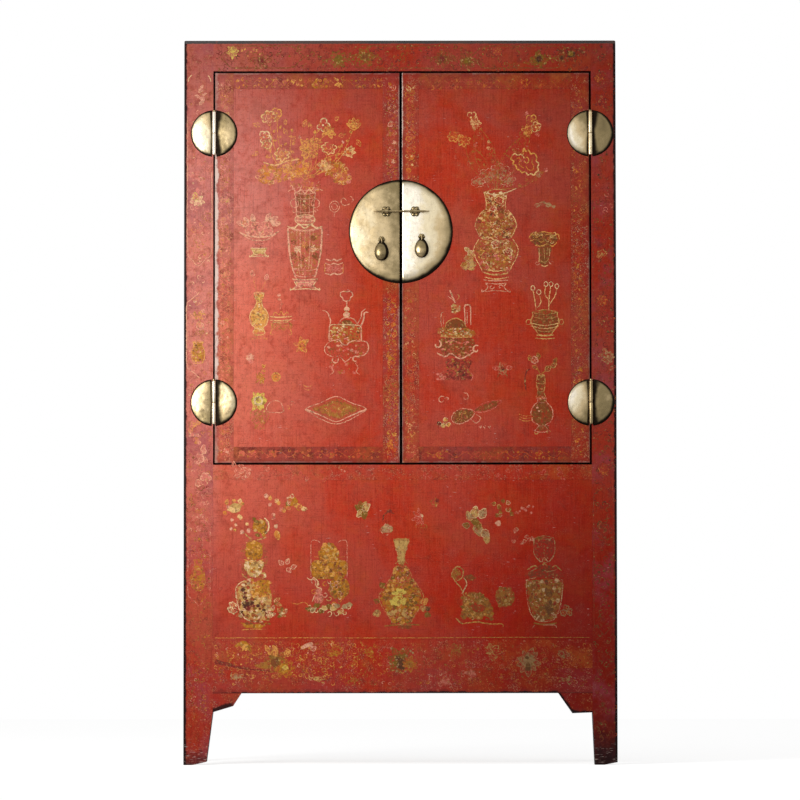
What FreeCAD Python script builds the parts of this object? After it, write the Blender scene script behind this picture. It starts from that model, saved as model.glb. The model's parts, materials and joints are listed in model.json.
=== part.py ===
import FreeCAD, Part
import Sketcher

import math
import os
import re

# A two-door lacquered wedding cabinet. Millimetres, +Z up, +X to the right of someone facing the
# doors, +Y away from them. The origin is on the floor, in the middle of the width and of the whole
# depth, hanging pulls included.

# Driving sizes: name, value, what it is
SIZES = (
    ("overall_width", 1080, "over the posts"),
    ("overall_depth", 520, "front faces of the posts to the back"),
    ("overall_height", 1810, "floor to the top board"),
    ("left_post_width", 73, "front left post, seen from the front"),
    ("right_post_width", 62, "front right post, seen from the front"),
    ("back_post_width", 60, "both back posts"),
    ("front_post_depth", 60, "front posts, front to back"),
    ("back_post_depth", 50, "back posts, front to back"),
    ("left_foot_width", 57, "front left leg at the floor"),
    ("right_foot_width", 56, "front right leg at the floor"),
    ("back_leg_width", 42, "back legs at the height of the brackets"),
    ("back_foot_width", 35, "back legs at the floor"),
    ("left_foot_wear", 8, "how far the worn corner of this foot is off the floor"),
    ("right_foot_wear", 6.5, "how far the worn corner of this foot is off the floor"),
    ("foot_flat_share", 0.4, "share of a worn foot's width that still stands"),
    ("post_arris_radius", 4, "rounding of the outer front edges"),
    ("rail_arris_radius", 1.5, "rounding round the door opening"),
    ("top_board_thickness", 8, "black edge above the front rail"),
    ("top_corner_radius", 6, "corners of the top board, seen from above"),
    ("top_edge_radius", 2.5, "upper edge of the top board"),
    ("front_rail_depth", 40, "front rails, front to back"),
    ("top_rail_height", 69, "rail above the doors"),
    ("sill_height", 747, "floor to the top of the rail under the doors"),
    ("sill_rail_height", 38, "rail under the doors"),
    ("stop_lip_height", 10, "step on the rails that stops the doors"),
    ("stop_lip_play", 0.6, "shut door to that step"),
    ("bottom_rail_top", 311, "floor to the gilt line"),
    ("apron_seam", 240, "floor to the joint of bottom rail and apron"),
    ("apron_bottom", 178, "floor to the lower edge of the apron"),
    ("apron_thickness", 24, "aprons and brackets"),
    ("bracket_length", 50, "flat foot of a bracket, along the apron"),
    ("left_bracket_inner_height", 131, "floor to this bracket beside the leg"),
    ("left_bracket_outer_height", 146, "floor to its free corner, worn away"),
    ("left_bracket_slope", 21, "length of its slanted end"),
    ("right_bracket_inner_height", 130, "floor to this bracket beside the leg"),
    ("right_bracket_outer_height", 128, "floor to its free corner"),
    ("right_bracket_slope", 35, "length of its slanted end"),
    ("side_rail_width", 36, "side and back rails, across"),
    ("side_top_rail_height", 60, "top rails at the sides and back"),
    ("low_rail_height", 60, "lowest rails at the sides and back"),
    ("tenon_length", 28, "front rails into the posts"),
    ("tenon_thickness", 12, "carcass tenons"),
    ("tenon_inset", 18, "face of a rail to its tenon"),
    ("side_tenon_length", 24, "side and back rails into the posts"),
    ("side_tenon_inset", 20, "outer face of a side or back rail to its tenon"),
    ("tenon_shoulder", 8, "top and bottom shoulders of a tenon"),
    ("joint_gap", 0.2, "play left in wood joints"),
    ("front_panel_thickness", 16, "panel under the sill"),
    ("panel_recess", 0.4, "flush panels lie this much behind their frame"),
    ("tongue_inset", 8, "face of a flush panel's frame to the tongue"),
    ("tongue_depth", 8, "panels and boards into their grooves"),
    ("side_panel_thickness", 12, "side panels and back boards"),
    ("side_panel_recess", 6, "outer face of a side to its panel"),
    ("board_gap", 1, "between neighbouring boards"),
    ("back_board_count", 5, "boards across the back"),
    ("floor_board_height", 250, "floor of the room to the cabinet's own bottom"),
    ("floor_board_thickness", 14, "bottom boards"),
    ("lid_thickness", 16, "boards over the well"),
    ("lid_play", 1, "round the loose boards"),
    ("ledge_height", 20, "strips that carry the loose boards"),
    ("ledge_width", 20, "strips that carry the loose boards"),
    ("finger_hole_radius", 12, "hole to lift a loose board by"),
    ("finger_hole_inset", 60, "front edge of a loose board to its hole"),
    ("shelf_height", 1235, "floor to the top of the shelf"),
    ("shelf_thickness", 18, "shelf"),
    ("cleat_height", 26, "strips that carry the shelf"),
    ("cleat_width", 30, "strips that carry the shelf"),
    ("hinge_gap", 4, "post to door"),
    ("meeting_gap", 6, "door to door"),
    ("meeting_line", 2, "how far the doors meet right of the middle"),
    ("door_gap", 4.5, "door to the rails above and below"),
    ("door_thickness", 28, "door frames"),
    ("door_rail_width", 40, "rails of a door"),
    ("hinge_stile_width", 47, "stile of a door on the hinge side"),
    ("lock_stile_width", 42, "stile of a door where the doors meet"),
    ("door_arris_radius", 4, "rounding of a door's outer edges"),
    ("door_panel_thickness", 13, "door panels"),
    ("door_tenon_length", 24, "door rails into the stiles"),
    ("door_tenon_thickness", 8, "door tenons"),
    ("door_tenon_inset", 17.5, "door face to its tenons"),
    ("door_tenon_shoulder", 6, "shoulders of a door tenon"),
    ("batten_height", 32, "strips across the back of a door panel"),
    ("batten_thickness", 12, "strips across the back of a door panel"),
    ("batten_stub", 8, "strips into the stiles"),
    ("low_batten_share", 0.25, "share of the door's height up to its lower strip"),
    ("high_batten_share", 0.76, "share of the door's height up to its upper strip"),
    ("upper_hinge_drop", 152.5, "top of a door to the middle of its upper hinge"),
    ("lower_hinge_rise", 150.5, "bottom of a door to the middle of its lower hinge"),
    ("hinge_plate_radius", 58.5, "round hinge plates"),
    ("hinge_crown", 4.5, "height of a hinge plate over the wood"),
    ("sheet_thickness", 1.5, "brass sheet"),
    ("plate_edge_radius", 1.2, "rolled edge of the brass plates"),
    ("barrel_radius", 5, "hinge knuckles"),
    ("barrel_standoff", 6, "door face to the middle of the hinge pin"),
    ("barrel_groove", 2, "knuckle to the edge of its leaf"),
    ("barrel_length", 108, "both knuckles of a hinge"),
    ("knuckle_play", 0.5, "between the knuckles"),
    ("web_lift", 0.3, "strap of a knuckle over the wood"),
    ("hinge_pin_radius", 2.5, "hinge pins"),
    ("hinge_pin_play", 0.05, "round a hinge pin"),
    ("pin_head_radius", 4, "head of a hinge pin"),
    ("pin_head_height", 3.5, "head of a hinge pin"),
    ("lock_plate_radius", 130, "round plate in the middle"),
    ("lock_plate_drop", 398.5, "top of a door to the middle of the round plate"),
    ("lock_crown", 5.5, "height of the round plate over the wood"),
    ("staple_standoff", 9.5, "round plate to the middle of the eyes"),
    ("shank_radius", 2, "shanks of the eyes"),
    ("shank_play", 0.3, "round a shank"),
    ("clinch_length", 11, "bent end of a shank behind the door"),
    ("clinch_radius", 1.6, "bent end of a shank, hammered thinner"),
    ("lock_eye_offset", 36, "where the doors meet to the eyes of the pin"),
    ("lock_eye_rise", 50, "middle of the round plate to the locking pin"),
    ("lock_eye_radius", 6, "outside of these eyes"),
    ("lock_eye_length", 9, "these eyes, along the pin"),
    ("lock_pin_radius", 2.2, "locking pin"),
    ("lock_pin_play", 0.4, "round the locking pin"),
    ("lock_pin_left", 68, "where the doors meet to the pin's left end"),
    ("lock_pin_right", 71.5, "where the doors meet to the pin's right end"),
    ("lock_pin_tip", 16, "tapered length at each end"),
    ("lock_pin_tip_radius", 1.1, "ends of the locking pin"),
    ("lock_rosette_radius", 12.5, "flower washers under the eyes of the pin"),
    ("pull_rosette_radius", 8.5, "flower washers under the eyes of the pulls"),
    ("rosette_thickness", 1.8, "flower washers"),
    ("rosette_petal_share", 0.46, "radius of a petal, of its washer's"),
    ("rosette_lift", 0.1, "washer over the crown of the plate"),
    ("ring_radius", 4.5, "middle line of the linked rings of a pull"),
    ("staple_wire_radius", 1.8, "ring on the door"),
    ("pull_wire_radius", 2.4, "ring on the pull"),
    ("left_pull_offset", 48, "where the doors meet to the left pull"),
    ("left_pull_drop", 21, "middle of the round plate to its eye"),
    ("right_pull_offset", 52, "where the doors meet to the right pull"),
    ("right_pull_drop", 14, "middle of the round plate to its eye"),
    ("pull_length", 51, "eye to the lowest point of a pull"),
    ("pull_width", 36, "pear-shaped pull"),
    ("pull_thickness", 16, "pear-shaped pull"),
    ("pull_body_height", 35, "rounded part of a pull"),
    ("pull_neck_share", 0.42, "share of a pull's thickness that its neck has where it starts"),
    ("overrun", 2, "how far cutters reach past what they cut"),
)

# Places worked out from the sizes: name, formula
PLACES = (
    ("left_edge", "-overall_width / 2"),
    ("right_edge", "overall_width / 2"),
    ("eye_depth", "lock_crown + staple_standoff"),
    ("projection", "eye_depth + pull_thickness / 2"),
    ("front_face", "(projection - overall_depth) / 2"),
    ("back_face", "front_face + overall_depth"),
    ("left_opening", "left_edge + left_post_width"),
    ("right_opening", "right_edge - right_post_width"),
    ("front_post_back", "front_face + front_post_depth"),
    ("back_post_front", "back_face - back_post_depth"),
    ("back_left_inner", "left_edge + back_post_width"),
    ("back_right_inner", "right_edge - back_post_width"),
    ("front_rail_back", "front_face + front_rail_depth"),
    ("back_rail_front", "back_face - side_rail_width"),
    ("left_rail_inner", "left_edge + side_rail_width"),
    ("right_rail_inner", "right_edge - side_rail_width"),
    ("post_top", "overall_height - top_board_thickness"),
    ("top_rail_bottom", "post_top - top_rail_height"),
    ("side_top_rail_bottom", "post_top - side_top_rail_height"),
    ("sill_rail_bottom", "sill_height - sill_rail_height"),
    ("low_rail_top", "apron_seam + low_rail_height"),
    ("door_bottom", "sill_height + door_gap"),
    ("door_top", "top_rail_bottom - door_gap"),
    ("door_back", "front_face + door_thickness"),
    ("door_panel_back", "front_face + panel_recess + door_panel_thickness"),
    ("lip_front", "door_back + stop_lip_play"),
    ("left_door_hinge_edge", "left_opening + hinge_gap"),
    ("left_door_free_edge", "meeting_line - meeting_gap / 2"),
    ("right_door_hinge_edge", "right_opening - hinge_gap"),
    ("right_door_free_edge", "meeting_line + meeting_gap / 2"),
    ("left_door_width", "left_door_free_edge - left_door_hinge_edge"),
    ("right_door_width", "right_door_hinge_edge - right_door_free_edge"),
    ("left_axis", "left_opening + hinge_gap / 2"),
    ("right_axis", "right_opening - hinge_gap / 2"),
    ("axis_depth", "front_face - barrel_standoff"),
    ("upper_hinge_height", "door_top - upper_hinge_drop"),
    ("lower_hinge_height", "door_bottom + lower_hinge_rise"),
    ("lock_plate_height", "door_top - lock_plate_drop"),
    ("lock_eye_height", "lock_plate_height + lock_eye_rise"),
    ("left_pull_height", "lock_plate_height - left_pull_drop"),
    ("right_pull_height", "lock_plate_height - right_pull_drop"),
    ("eye_line", "front_face - eye_depth"),
    ("leaf_edge", "barrel_radius + barrel_groove"),
    ("hinge_crown_face", "front_face - hinge_crown"),
    ("lock_crown_face", "front_face - lock_crown"),
    ("lid_bottom", "sill_height - lid_thickness"),
    ("ledge_bottom", "lid_bottom - ledge_height"),
    ("shelf_bottom", "shelf_height - shelf_thickness"),
    ("side_panel_inner", "side_panel_recess + side_panel_thickness"),
    ("interior_front", "front_post_back + lid_play"),
)

doc = FreeCAD.newDocument("wedding_cabinet")
size_sheet = doc.addObject("Spreadsheet::Sheet", "Sizes")
place_sheet = doc.addObject("Spreadsheet::Sheet", "Places")
SIZE_NAMES = {name for name, _, _ in SIZES}
PLACE_NAMES = {name for name, _ in PLACES}
TURNS = {
    "X": FreeCAD.Rotation(FreeCAD.Vector(0, 1, 0), 90),
    "Y": FreeCAD.Rotation(FreeCAD.Vector(1, 0, 0), -90),
    "Z": FreeCAD.Rotation(),
}
# How near two places have to be to count as the same one, when edges are picked
CLOSE = 0.01
nodes = {}


def fill_sheets():
    for row, (name, value, meaning) in enumerate(SIZES, 1):
        size_sheet.set(f"A{row}", name)
        size_sheet.set(f"B{row}", str(value))
        size_sheet.setAlias(f"B{row}", name)
        size_sheet.set(f"C{row}", meaning)
    doc.recompute()
    for row, (name, formula) in enumerate(PLACES, 1):
        place_sheet.set(f"A{row}", name)
        place_sheet.set(f"B{row}", "=" + spelled(formula, own="Places"))
        place_sheet.setAlias(f"B{row}", name)
    doc.recompute()


def spelled(text, own=None):
    """An expression with its sheet written before each name."""

    def with_sheet(found):
        word = found.group(0)
        if word in SIZE_NAMES:
            return "Sizes." + word
        if word in PLACE_NAMES and own != "Places":
            return "Places." + word
        return word

    return re.sub(r"[a-z_]+", with_sheet, text)


def worked_out(text):
    """The number that an expression gives now, in millimetres."""
    return float(size_sheet.evalExpression(spelled(text)))


def stepped(start, way, near, far):
    """The two ends of a stretch from near to far away from start, lower end first."""
    first = f"{start} + {way} * ({near})"
    second = f"{start} + {way} * ({far})"
    return (first, second) if way > 0 else (second, first)


def grown(stretch, more="joint_gap"):
    """A stretch made longer at both ends."""
    return f"{stretch[0]} - {more}", f"{stretch[1]} + {more}"


# Pieces of geometry, each bound to the sheets


def block(label, x, y, z):
    """A box between two corners, one stretch for each axis."""
    box = doc.addObject("Part::Box", label)
    for (low, high), side, way in zip((x, y, z), ("Length", "Width", "Height"), "xyz"):
        box.setExpression(side, spelled(f"({high}) - ({low})"))
        box.setExpression(f"Placement.Base.{way}", spelled(low))
    return box


def placed(thing, axis, x, y, z):
    """Turns a primitive's own Z to an axis and binds its place."""
    thing.Placement = FreeCAD.Placement(FreeCAD.Vector(), TURNS[axis])
    for way, text in zip("xyz", (x, y, z)):
        thing.setExpression(f"Placement.Base.{way}", spelled(text))
    return thing


def rod(label, axis, x, y, z, radius, length):
    """A cylinder that starts at x, y, z and runs along an axis."""
    cylinder = doc.addObject("Part::Cylinder", label)
    cylinder.setExpression("Radius", spelled(radius))
    cylinder.setExpression("Height", spelled(length))
    return placed(cylinder, axis, x, y, z)


def ring(label, axis, x, y, z, radius, wire):
    torus = doc.addObject("Part::Torus", label)
    torus.setExpression("Radius1", spelled(radius))
    torus.setExpression("Radius2", spelled(wire))
    return placed(torus, axis, x, y, z)


def joined(label, *pieces):
    fuse = doc.addObject("Part::MultiFuse", label)
    fuse.Shapes = list(pieces)
    fuse.Refine = True
    return fuse


def without(label, base, *tools):
    """base with the tools cut out of it."""
    cut = doc.addObject("Part::Cut", label)
    cut.Base = base
    cut.Tool = tools[0] if len(tools) == 1 else joined(label + "_tools", *tools)
    return cut


def common(label, *pieces):
    meet = doc.addObject("Part::MultiCommon", label)
    meet.Shapes = list(pieces)
    return meet


def gathered(label, *pieces):
    """Separate solids that share one node."""
    group = doc.addObject("Part::Compound", label)
    group.Links = list(pieces)
    return group


def softened(label, base, radius, *tests):
    """base with its edges rounded where all of an edge passes one of the tests."""
    doc.recompute()
    amount = worked_out(radius)
    fillet = doc.addObject("Part::Fillet", label)
    fillet.Base = base
    picked = []
    for number, edge in enumerate(base.Shape.Edges, 1):
        ends = edge.BoundBox
        if any(all(lies_on(ends, way, place) for way, place in test) for test in tests):
            picked.append((number, amount, amount))
    if not picked:
        raise ValueError(f"{label}: no edge to round")
    fillet.Edges = picked
    return fillet


def lies_on(ends, way, place):
    """True if a box is flat and lies where a named place says, along one axis."""
    at = worked_out(place)
    return all(math.isclose(getattr(ends, way + end), at, abs_tol=CLOSE) for end in ("Min", "Max"))


def outline(body, plane, points):
    """A closed sketch of straight lines. Each corner is a pair of expressions."""
    sketch = body.newObject("Sketcher::SketchObject", body.Name + "_outline")
    side = next(o for o in body.Origin.OriginFeatures if o.Role == plane)
    sketch.AttachmentSupport = [(side, "")]
    sketch.MapMode = "FlatFace"
    corners = [FreeCAD.Vector(worked_out(x), worked_out(y), 0) for x, y in points]
    following = corners[1:] + corners[:1]
    for start, end in zip(corners, following):
        sketch.addGeometry(Part.LineSegment(start, end))
    for number in range(len(points)):
        sketch.addConstraint(Sketcher.Constraint("Coincident", number, 2, (number + 1) % len(points), 1))
    for number, corner in enumerate(points):
        for kind, axis_line, text in zip(("DistanceX", "DistanceY"), (-2, -1), corner):
            if text == "0":
                sketch.addConstraint(Sketcher.Constraint("PointOnObject", number, 1, axis_line))
                continue
            index = sketch.addConstraint(Sketcher.Constraint(kind, -1, 1, number, 1, worked_out(text)))
            sketch.setExpression(f"Constraints[{index}]", spelled(text))
    return sketch


def cut_board(label, plane, points, thickness, x, y, z):
    """A board sawn to an outline. It stands on a plane, and thickness runs along +Y or +X."""
    body = doc.addObject("PartDesign::Body", label)
    pad = body.newObject("PartDesign::Pad", label + "_pad")
    pad.Profile = outline(body, plane, points)
    pad.setExpression("Length", spelled(thickness))
    pad.Reversed = plane == "XZ_Plane"
    body.Tip = pad
    for way, text in zip("xyz", (x, y, z)):
        body.setExpression(f"Placement.Base.{way}", spelled(text))
    return body


def keep(label, thing):
    """Names a finished sub-part."""
    thing.Label = label
    nodes[label] = thing
    return thing


def shrunk(stretch):
    """A stretch made shorter at both ends by the play of a wood joint."""
    return f"{stretch[0]} + joint_gap", f"{stretch[1]} - joint_gap"


def let_in(label, base, *males):
    """base with a pocket for each tenon or tongue that goes into it."""
    pockets = [block(f"{label}_pocket{n}", *(grown(way) for way in male)) for n, male in enumerate(males)]
    return without(label + "_cut", base, *pockets)


def deep(near, far):
    """A stretch measured back from the front face."""
    return f"front_face + {near}", f"front_face + {far}"


# Tenons and tongues. Each is one box that reaches into the pieces at both its ends, so that the
# pockets there are cut from the same values.

FRONT_TENON = deep("tenon_inset", "tenon_inset + tenon_thickness")
BACK_TENON = ("back_face - side_tenon_inset - tenon_thickness", "back_face - side_tenon_inset")
SIDE_TENONS = {
    "left": ("left_edge + side_tenon_inset", "left_edge + side_tenon_inset + tenon_thickness"),
    "right": ("right_edge - side_tenon_inset - tenon_thickness", "right_edge - side_tenon_inset"),
}
ACROSS_FRONT = ("left_opening - tenon_length", "right_opening + tenon_length")
ACROSS_BACK = ("back_left_inner - side_tenon_length", "back_right_inner + side_tenon_length")
ALONG_SIDE = ("front_post_back - side_tenon_length", "back_post_front + side_tenon_length")

TOP_SPAN = ("top_rail_bottom", "post_top")
SIDE_TOP_SPAN = ("side_top_rail_bottom", "post_top")
SILL_SPAN = ("sill_rail_bottom", "sill_height")
FRONT_LOW_SPAN = ("apron_seam", "bottom_rail_top")
LOW_SPAN = ("apron_seam", "low_rail_top")
APRON_SPAN = ("apron_bottom", "apron_seam")
UPPER_GAP = ("sill_height", "side_top_rail_bottom")
LOWER_GAP = ("low_rail_top", "sill_rail_bottom")


def shouldered(span):
    return f"{span[0]} + tenon_shoulder", f"{span[1]} - tenon_shoulder"


FRONT_TENONS = {
    span: (ACROSS_FRONT, FRONT_TENON, shouldered(span)) for span in (TOP_SPAN, SILL_SPAN, FRONT_LOW_SPAN)
}
APRON_TONGUE = (
    grown(("left_opening", "right_opening"), "tongue_depth"),
    deep("tongue_inset", "apron_thickness - tongue_inset"),
    shouldered(APRON_SPAN),
)
PANEL_TONGUE = (
    grown(("left_opening", "right_opening"), "tongue_depth"),
    deep("tongue_inset", "panel_recess + front_panel_thickness"),
    grown(("bottom_rail_top", "sill_rail_bottom"), "tongue_depth"),
)
SIDE_TENON_BARS = {
    (side, span): (SIDE_TENONS[side], ALONG_SIDE, shouldered(span))
    for side in SIDE_TENONS
    for span in (SIDE_TOP_SPAN, SILL_SPAN, LOW_SPAN)
}
BACK_TENON_BARS = {
    span: (ACROSS_BACK, BACK_TENON, shouldered(span)) for span in (SIDE_TOP_SPAN, SILL_SPAN, LOW_SPAN)
}
SIDE_BOARDS = {
    "left": ("left_edge + side_panel_recess", "left_edge + side_panel_inner"),
    "right": ("right_edge - side_panel_inner", "right_edge - side_panel_recess"),
}
SIDE_PANELS = {
    (side, gap): (
        SIDE_BOARDS[side],
        grown(("front_post_back", "back_post_front"), "tongue_depth"),
        grown(gap, "tongue_depth"),
    )
    for side in SIDE_BOARDS
    for gap in (UPPER_GAP, LOWER_GAP)
}
BACK_BOARDS = {
    gap: (
        grown(("back_left_inner", "back_right_inner"), "tongue_depth"),
        ("back_face - side_panel_inner", "back_face - side_panel_recess"),
        grown(gap, "tongue_depth"),
    )
    for gap in (UPPER_GAP, LOWER_GAP)
}
FLOOR_BOARD = (
    grown(("left_rail_inner", "right_rail_inner"), "tongue_depth"),
    grown(("front_rail_back", "back_rail_front"), "tongue_depth"),
    ("floor_board_height", "floor_board_height + floor_board_thickness"),
)
POST_PLACES = {
    "front_left": (("left_edge", "left_opening"), ("front_face", "front_post_back")),
    "front_right": (("right_opening", "right_edge"), ("front_face", "front_post_back")),
    "back_left": (("left_edge", "back_left_inner"), ("back_post_front", "back_face")),
    "back_right": (("back_right_inner", "right_edge"), ("back_post_front", "back_face")),
}


# Carcass


def posts():
    """Four corner posts that taper inwards to the feet. The front feet have each worn on one corner."""
    left_shape = (
        ("0", "0"),
        ("left_foot_width * foot_flat_share", "0"),
        ("left_foot_width", "left_foot_wear"),
        ("left_post_width", "left_bracket_inner_height"),
        ("left_post_width", "post_top"),
        ("0", "post_top"),
    )
    right_shape = (
        ("0", "right_bracket_inner_height"),
        ("right_post_width - right_foot_width", "0"),
        ("right_post_width - right_foot_width * (1 - foot_flat_share)", "0"),
        ("right_post_width", "right_foot_wear"),
        ("right_post_width", "post_top"),
        ("0", "post_top"),
    )
    back_left_shape = (
        ("0", "0"),
        ("back_foot_width", "0"),
        ("back_leg_width", "right_bracket_inner_height"),
        ("back_post_width", "apron_seam"),
        ("back_post_width", "post_top"),
        ("0", "post_top"),
    )
    back_right_shape = (
        ("0", "apron_seam"),
        ("back_post_width - back_leg_width", "right_bracket_inner_height"),
        ("back_post_width - back_foot_width", "0"),
        ("back_post_width", "0"),
        ("back_post_width", "post_top"),
        ("0", "post_top"),
    )
    shapes = {
        "front_left": (left_shape, "left_edge", "front_post_depth"),
        "front_right": (right_shape, "right_edge", "front_post_depth"),
        "back_left": (back_left_shape, "left_edge", "back_post_depth"),
        "back_right": (back_right_shape, "right_edge", "back_post_depth"),
    }
    for place, (shape, outer_edge, depth) in shapes.items():
        (low_x, _), (low_y, _) = POST_PLACES[place]
        label = "post_" + place
        post = cut_board(label + "_board", "XZ_Plane", shape, depth, low_x, low_y, "0")
        row, side = place.split("_")
        if row == "front":
            arris = (("X", outer_edge), ("Y", "front_face"))
            post = softened(label + "_arris", post, "post_arris_radius", arris)
            males = [*FRONT_TENONS.values(), APRON_TONGUE, PANEL_TONGUE]
        else:
            males = [*BACK_TENON_BARS.values(), *BACK_BOARDS.values()]
        males += [bar for (at, _), bar in SIDE_TENON_BARS.items() if at == side]
        males += [panel for (at, _), panel in SIDE_PANELS.items() if at == side]
        keep(label, let_in(label, post, *males))


def top_board():
    across = ("left_edge", "right_edge")
    depth = ("front_face", "back_face")
    board = block("top_board_slab", across, depth, ("post_top", "overall_height"))
    corners = [(("X", x), ("Y", y)) for x in across for y in depth]
    rounded = softened("top_board_corners", board, "top_corner_radius", *corners)
    keep("top_board", softened("top_board_edge", rounded, "top_edge_radius", (("Z", "overall_height"),)))


def front_rails():
    """The rails round the doors. A step behind each stops the shut doors."""
    across = ("left_opening", "right_opening")
    whole = ("front_face", "front_rail_back")
    lip = ("lip_front", "front_rail_back")
    top = softened(
        "front_top_rail_arris",
        block("front_top_rail_bar", across, whole, TOP_SPAN),
        "rail_arris_radius",
        (("Z", "top_rail_bottom"), ("Y", "front_face")),
    )
    top_lip_z = ("top_rail_bottom - stop_lip_height", "top_rail_bottom")
    top_lip = block("front_top_rail_lip", across, lip, top_lip_z)
    top_tenons = block("front_top_rail_tenons", *FRONT_TENONS[TOP_SPAN])
    keep("front_top_rail", joined("front_top_rail_whole", top, top_lip, top_tenons))

    sill = softened(
        "front_sill_rail_arris",
        block("front_sill_rail_bar", across, whole, SILL_SPAN),
        "rail_arris_radius",
        (("Z", "sill_height"), ("Y", "front_face")),
    )
    sill_lip = block("front_sill_rail_lip", across, lip, ("sill_height", "sill_height + stop_lip_height"))
    sill_tenons = block("front_sill_rail_tenons", *FRONT_TENONS[SILL_SPAN])
    sill_rail = joined("front_sill_rail_whole", sill, sill_lip, sill_tenons)
    keep("front_sill_rail", let_in("front_sill_rail", sill_rail, PANEL_TONGUE))

    low = block("front_bottom_rail_bar", across, whole, FRONT_LOW_SPAN)
    low_tenons = block("front_bottom_rail_tenons", *FRONT_TENONS[FRONT_LOW_SPAN])
    low_rail = joined("front_bottom_rail_whole", low, low_tenons)
    keep("front_bottom_rail", let_in("front_bottom_rail", low_rail, PANEL_TONGUE, FLOOR_BOARD))


def front_panel():
    """The flush panel under the doors, its tongue loose in the grooves of its frame."""
    face = block(
        "front_panel_face",
        shrunk(("left_opening", "right_opening")),
        deep("panel_recess", "panel_recess + front_panel_thickness"),
        shrunk(("bottom_rail_top", "sill_rail_bottom")),
    )
    keep("front_panel", joined("front_panel_whole", face, block("front_panel_tongue", *PANEL_TONGUE)))


def apron():
    depth = ("front_face", "front_face + apron_thickness")
    board = block("front_apron_board", ("left_opening", "right_opening"), depth, APRON_SPAN)
    keep("front_apron", joined("front_apron_whole", board, block("front_apron_tongue", *APRON_TONGUE)))
    left_shape = (
        ("0", "left_bracket_inner_height"),
        ("bracket_length", "left_bracket_outer_height"),
        ("bracket_length + left_bracket_slope", "apron_bottom"),
        ("0", "apron_bottom"),
    )
    right_shape = (
        ("0", "apron_bottom"),
        ("right_bracket_slope", "right_bracket_outer_height"),
        ("right_bracket_slope + bracket_length", "right_bracket_inner_height"),
        ("right_bracket_slope + bracket_length", "apron_bottom"),
    )
    right_start = "right_opening - bracket_length - right_bracket_slope"
    for side, shape, start in (("left", left_shape, "left_opening"), ("right", right_shape, right_start)):
        label = f"apron_bracket_{side}"
        board = cut_board(label + "_board", "XZ_Plane", shape, "apron_thickness", start, "front_face", "0")
        keep(label, board)


def side_frames():
    """Rails and recessed panels between the front and back posts."""
    rails = {"left": ("left_edge", "left_rail_inner"), "right": ("right_rail_inner", "right_edge")}
    along = ("front_post_back", "back_post_front")
    for side, x in rails.items():
        uses = {
            "top_rail": (SIDE_TOP_SPAN, [SIDE_PANELS[side, UPPER_GAP]]),
            "sill_rail": (SILL_SPAN, [SIDE_PANELS[side, UPPER_GAP], SIDE_PANELS[side, LOWER_GAP]]),
            "low_rail": (LOW_SPAN, [SIDE_PANELS[side, LOWER_GAP], FLOOR_BOARD]),
        }
        for name, (span, males) in uses.items():
            label = f"side_{name}_{side}"
            bar = block(label + "_bar", x, along, span)
            tenons = block(label + "_tenons", *SIDE_TENON_BARS[side, span])
            keep(label, let_in(label, joined(label + "_whole", bar, tenons), *males))
        for name, gap in (("upper", UPPER_GAP), ("lower", LOWER_GAP)):
            label = f"side_panel_{name}_{side}"
            keep(label, block(label + "_board", *SIDE_PANELS[side, gap]))


def back_frame():
    """Rails across the back with upright boards between them."""
    across = ("back_left_inner", "back_right_inner")
    depth = ("back_rail_front", "back_face")
    uses = {
        "top_rail": (SIDE_TOP_SPAN, [BACK_BOARDS[UPPER_GAP]]),
        "sill_rail": (SILL_SPAN, [BACK_BOARDS[UPPER_GAP], BACK_BOARDS[LOWER_GAP]]),
        "low_rail": (LOW_SPAN, [BACK_BOARDS[LOWER_GAP], FLOOR_BOARD]),
    }
    for name, (span, males) in uses.items():
        label = f"back_{name}"
        bar = block(label + "_bar", across, depth, span)
        tenons = block(label + "_tenons", *BACK_TENON_BARS[span])
        keep(label, let_in(label, joined(label + "_whole", bar, tenons), *males))
    count = int(worked_out("back_board_count"))
    for name, gap in (("upper", UPPER_GAP), ("lower", LOWER_GAP)):
        (low, high), y, z = BACK_BOARDS[gap]
        pitch = f"({high} - ({low}) + board_gap) / back_board_count"
        boards = []
        for n in range(count):
            board_x = (f"{low} + {pitch} * {n}", f"{low} + {pitch} * {n + 1} - board_gap")
            boards.append(block(f"back_{name}_board{n}", board_x, y, z))
        keep(f"back_boards_{name}", gathered(f"back_boards_{name}_group", *boards))


def post_cutters(label, z, gap):
    """The corners that a board leaves free for the posts."""
    return [block(f"{label}_{name}", grown(x, gap), grown(y, gap), z) for name, (x, y) in POST_PLACES.items()]


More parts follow.
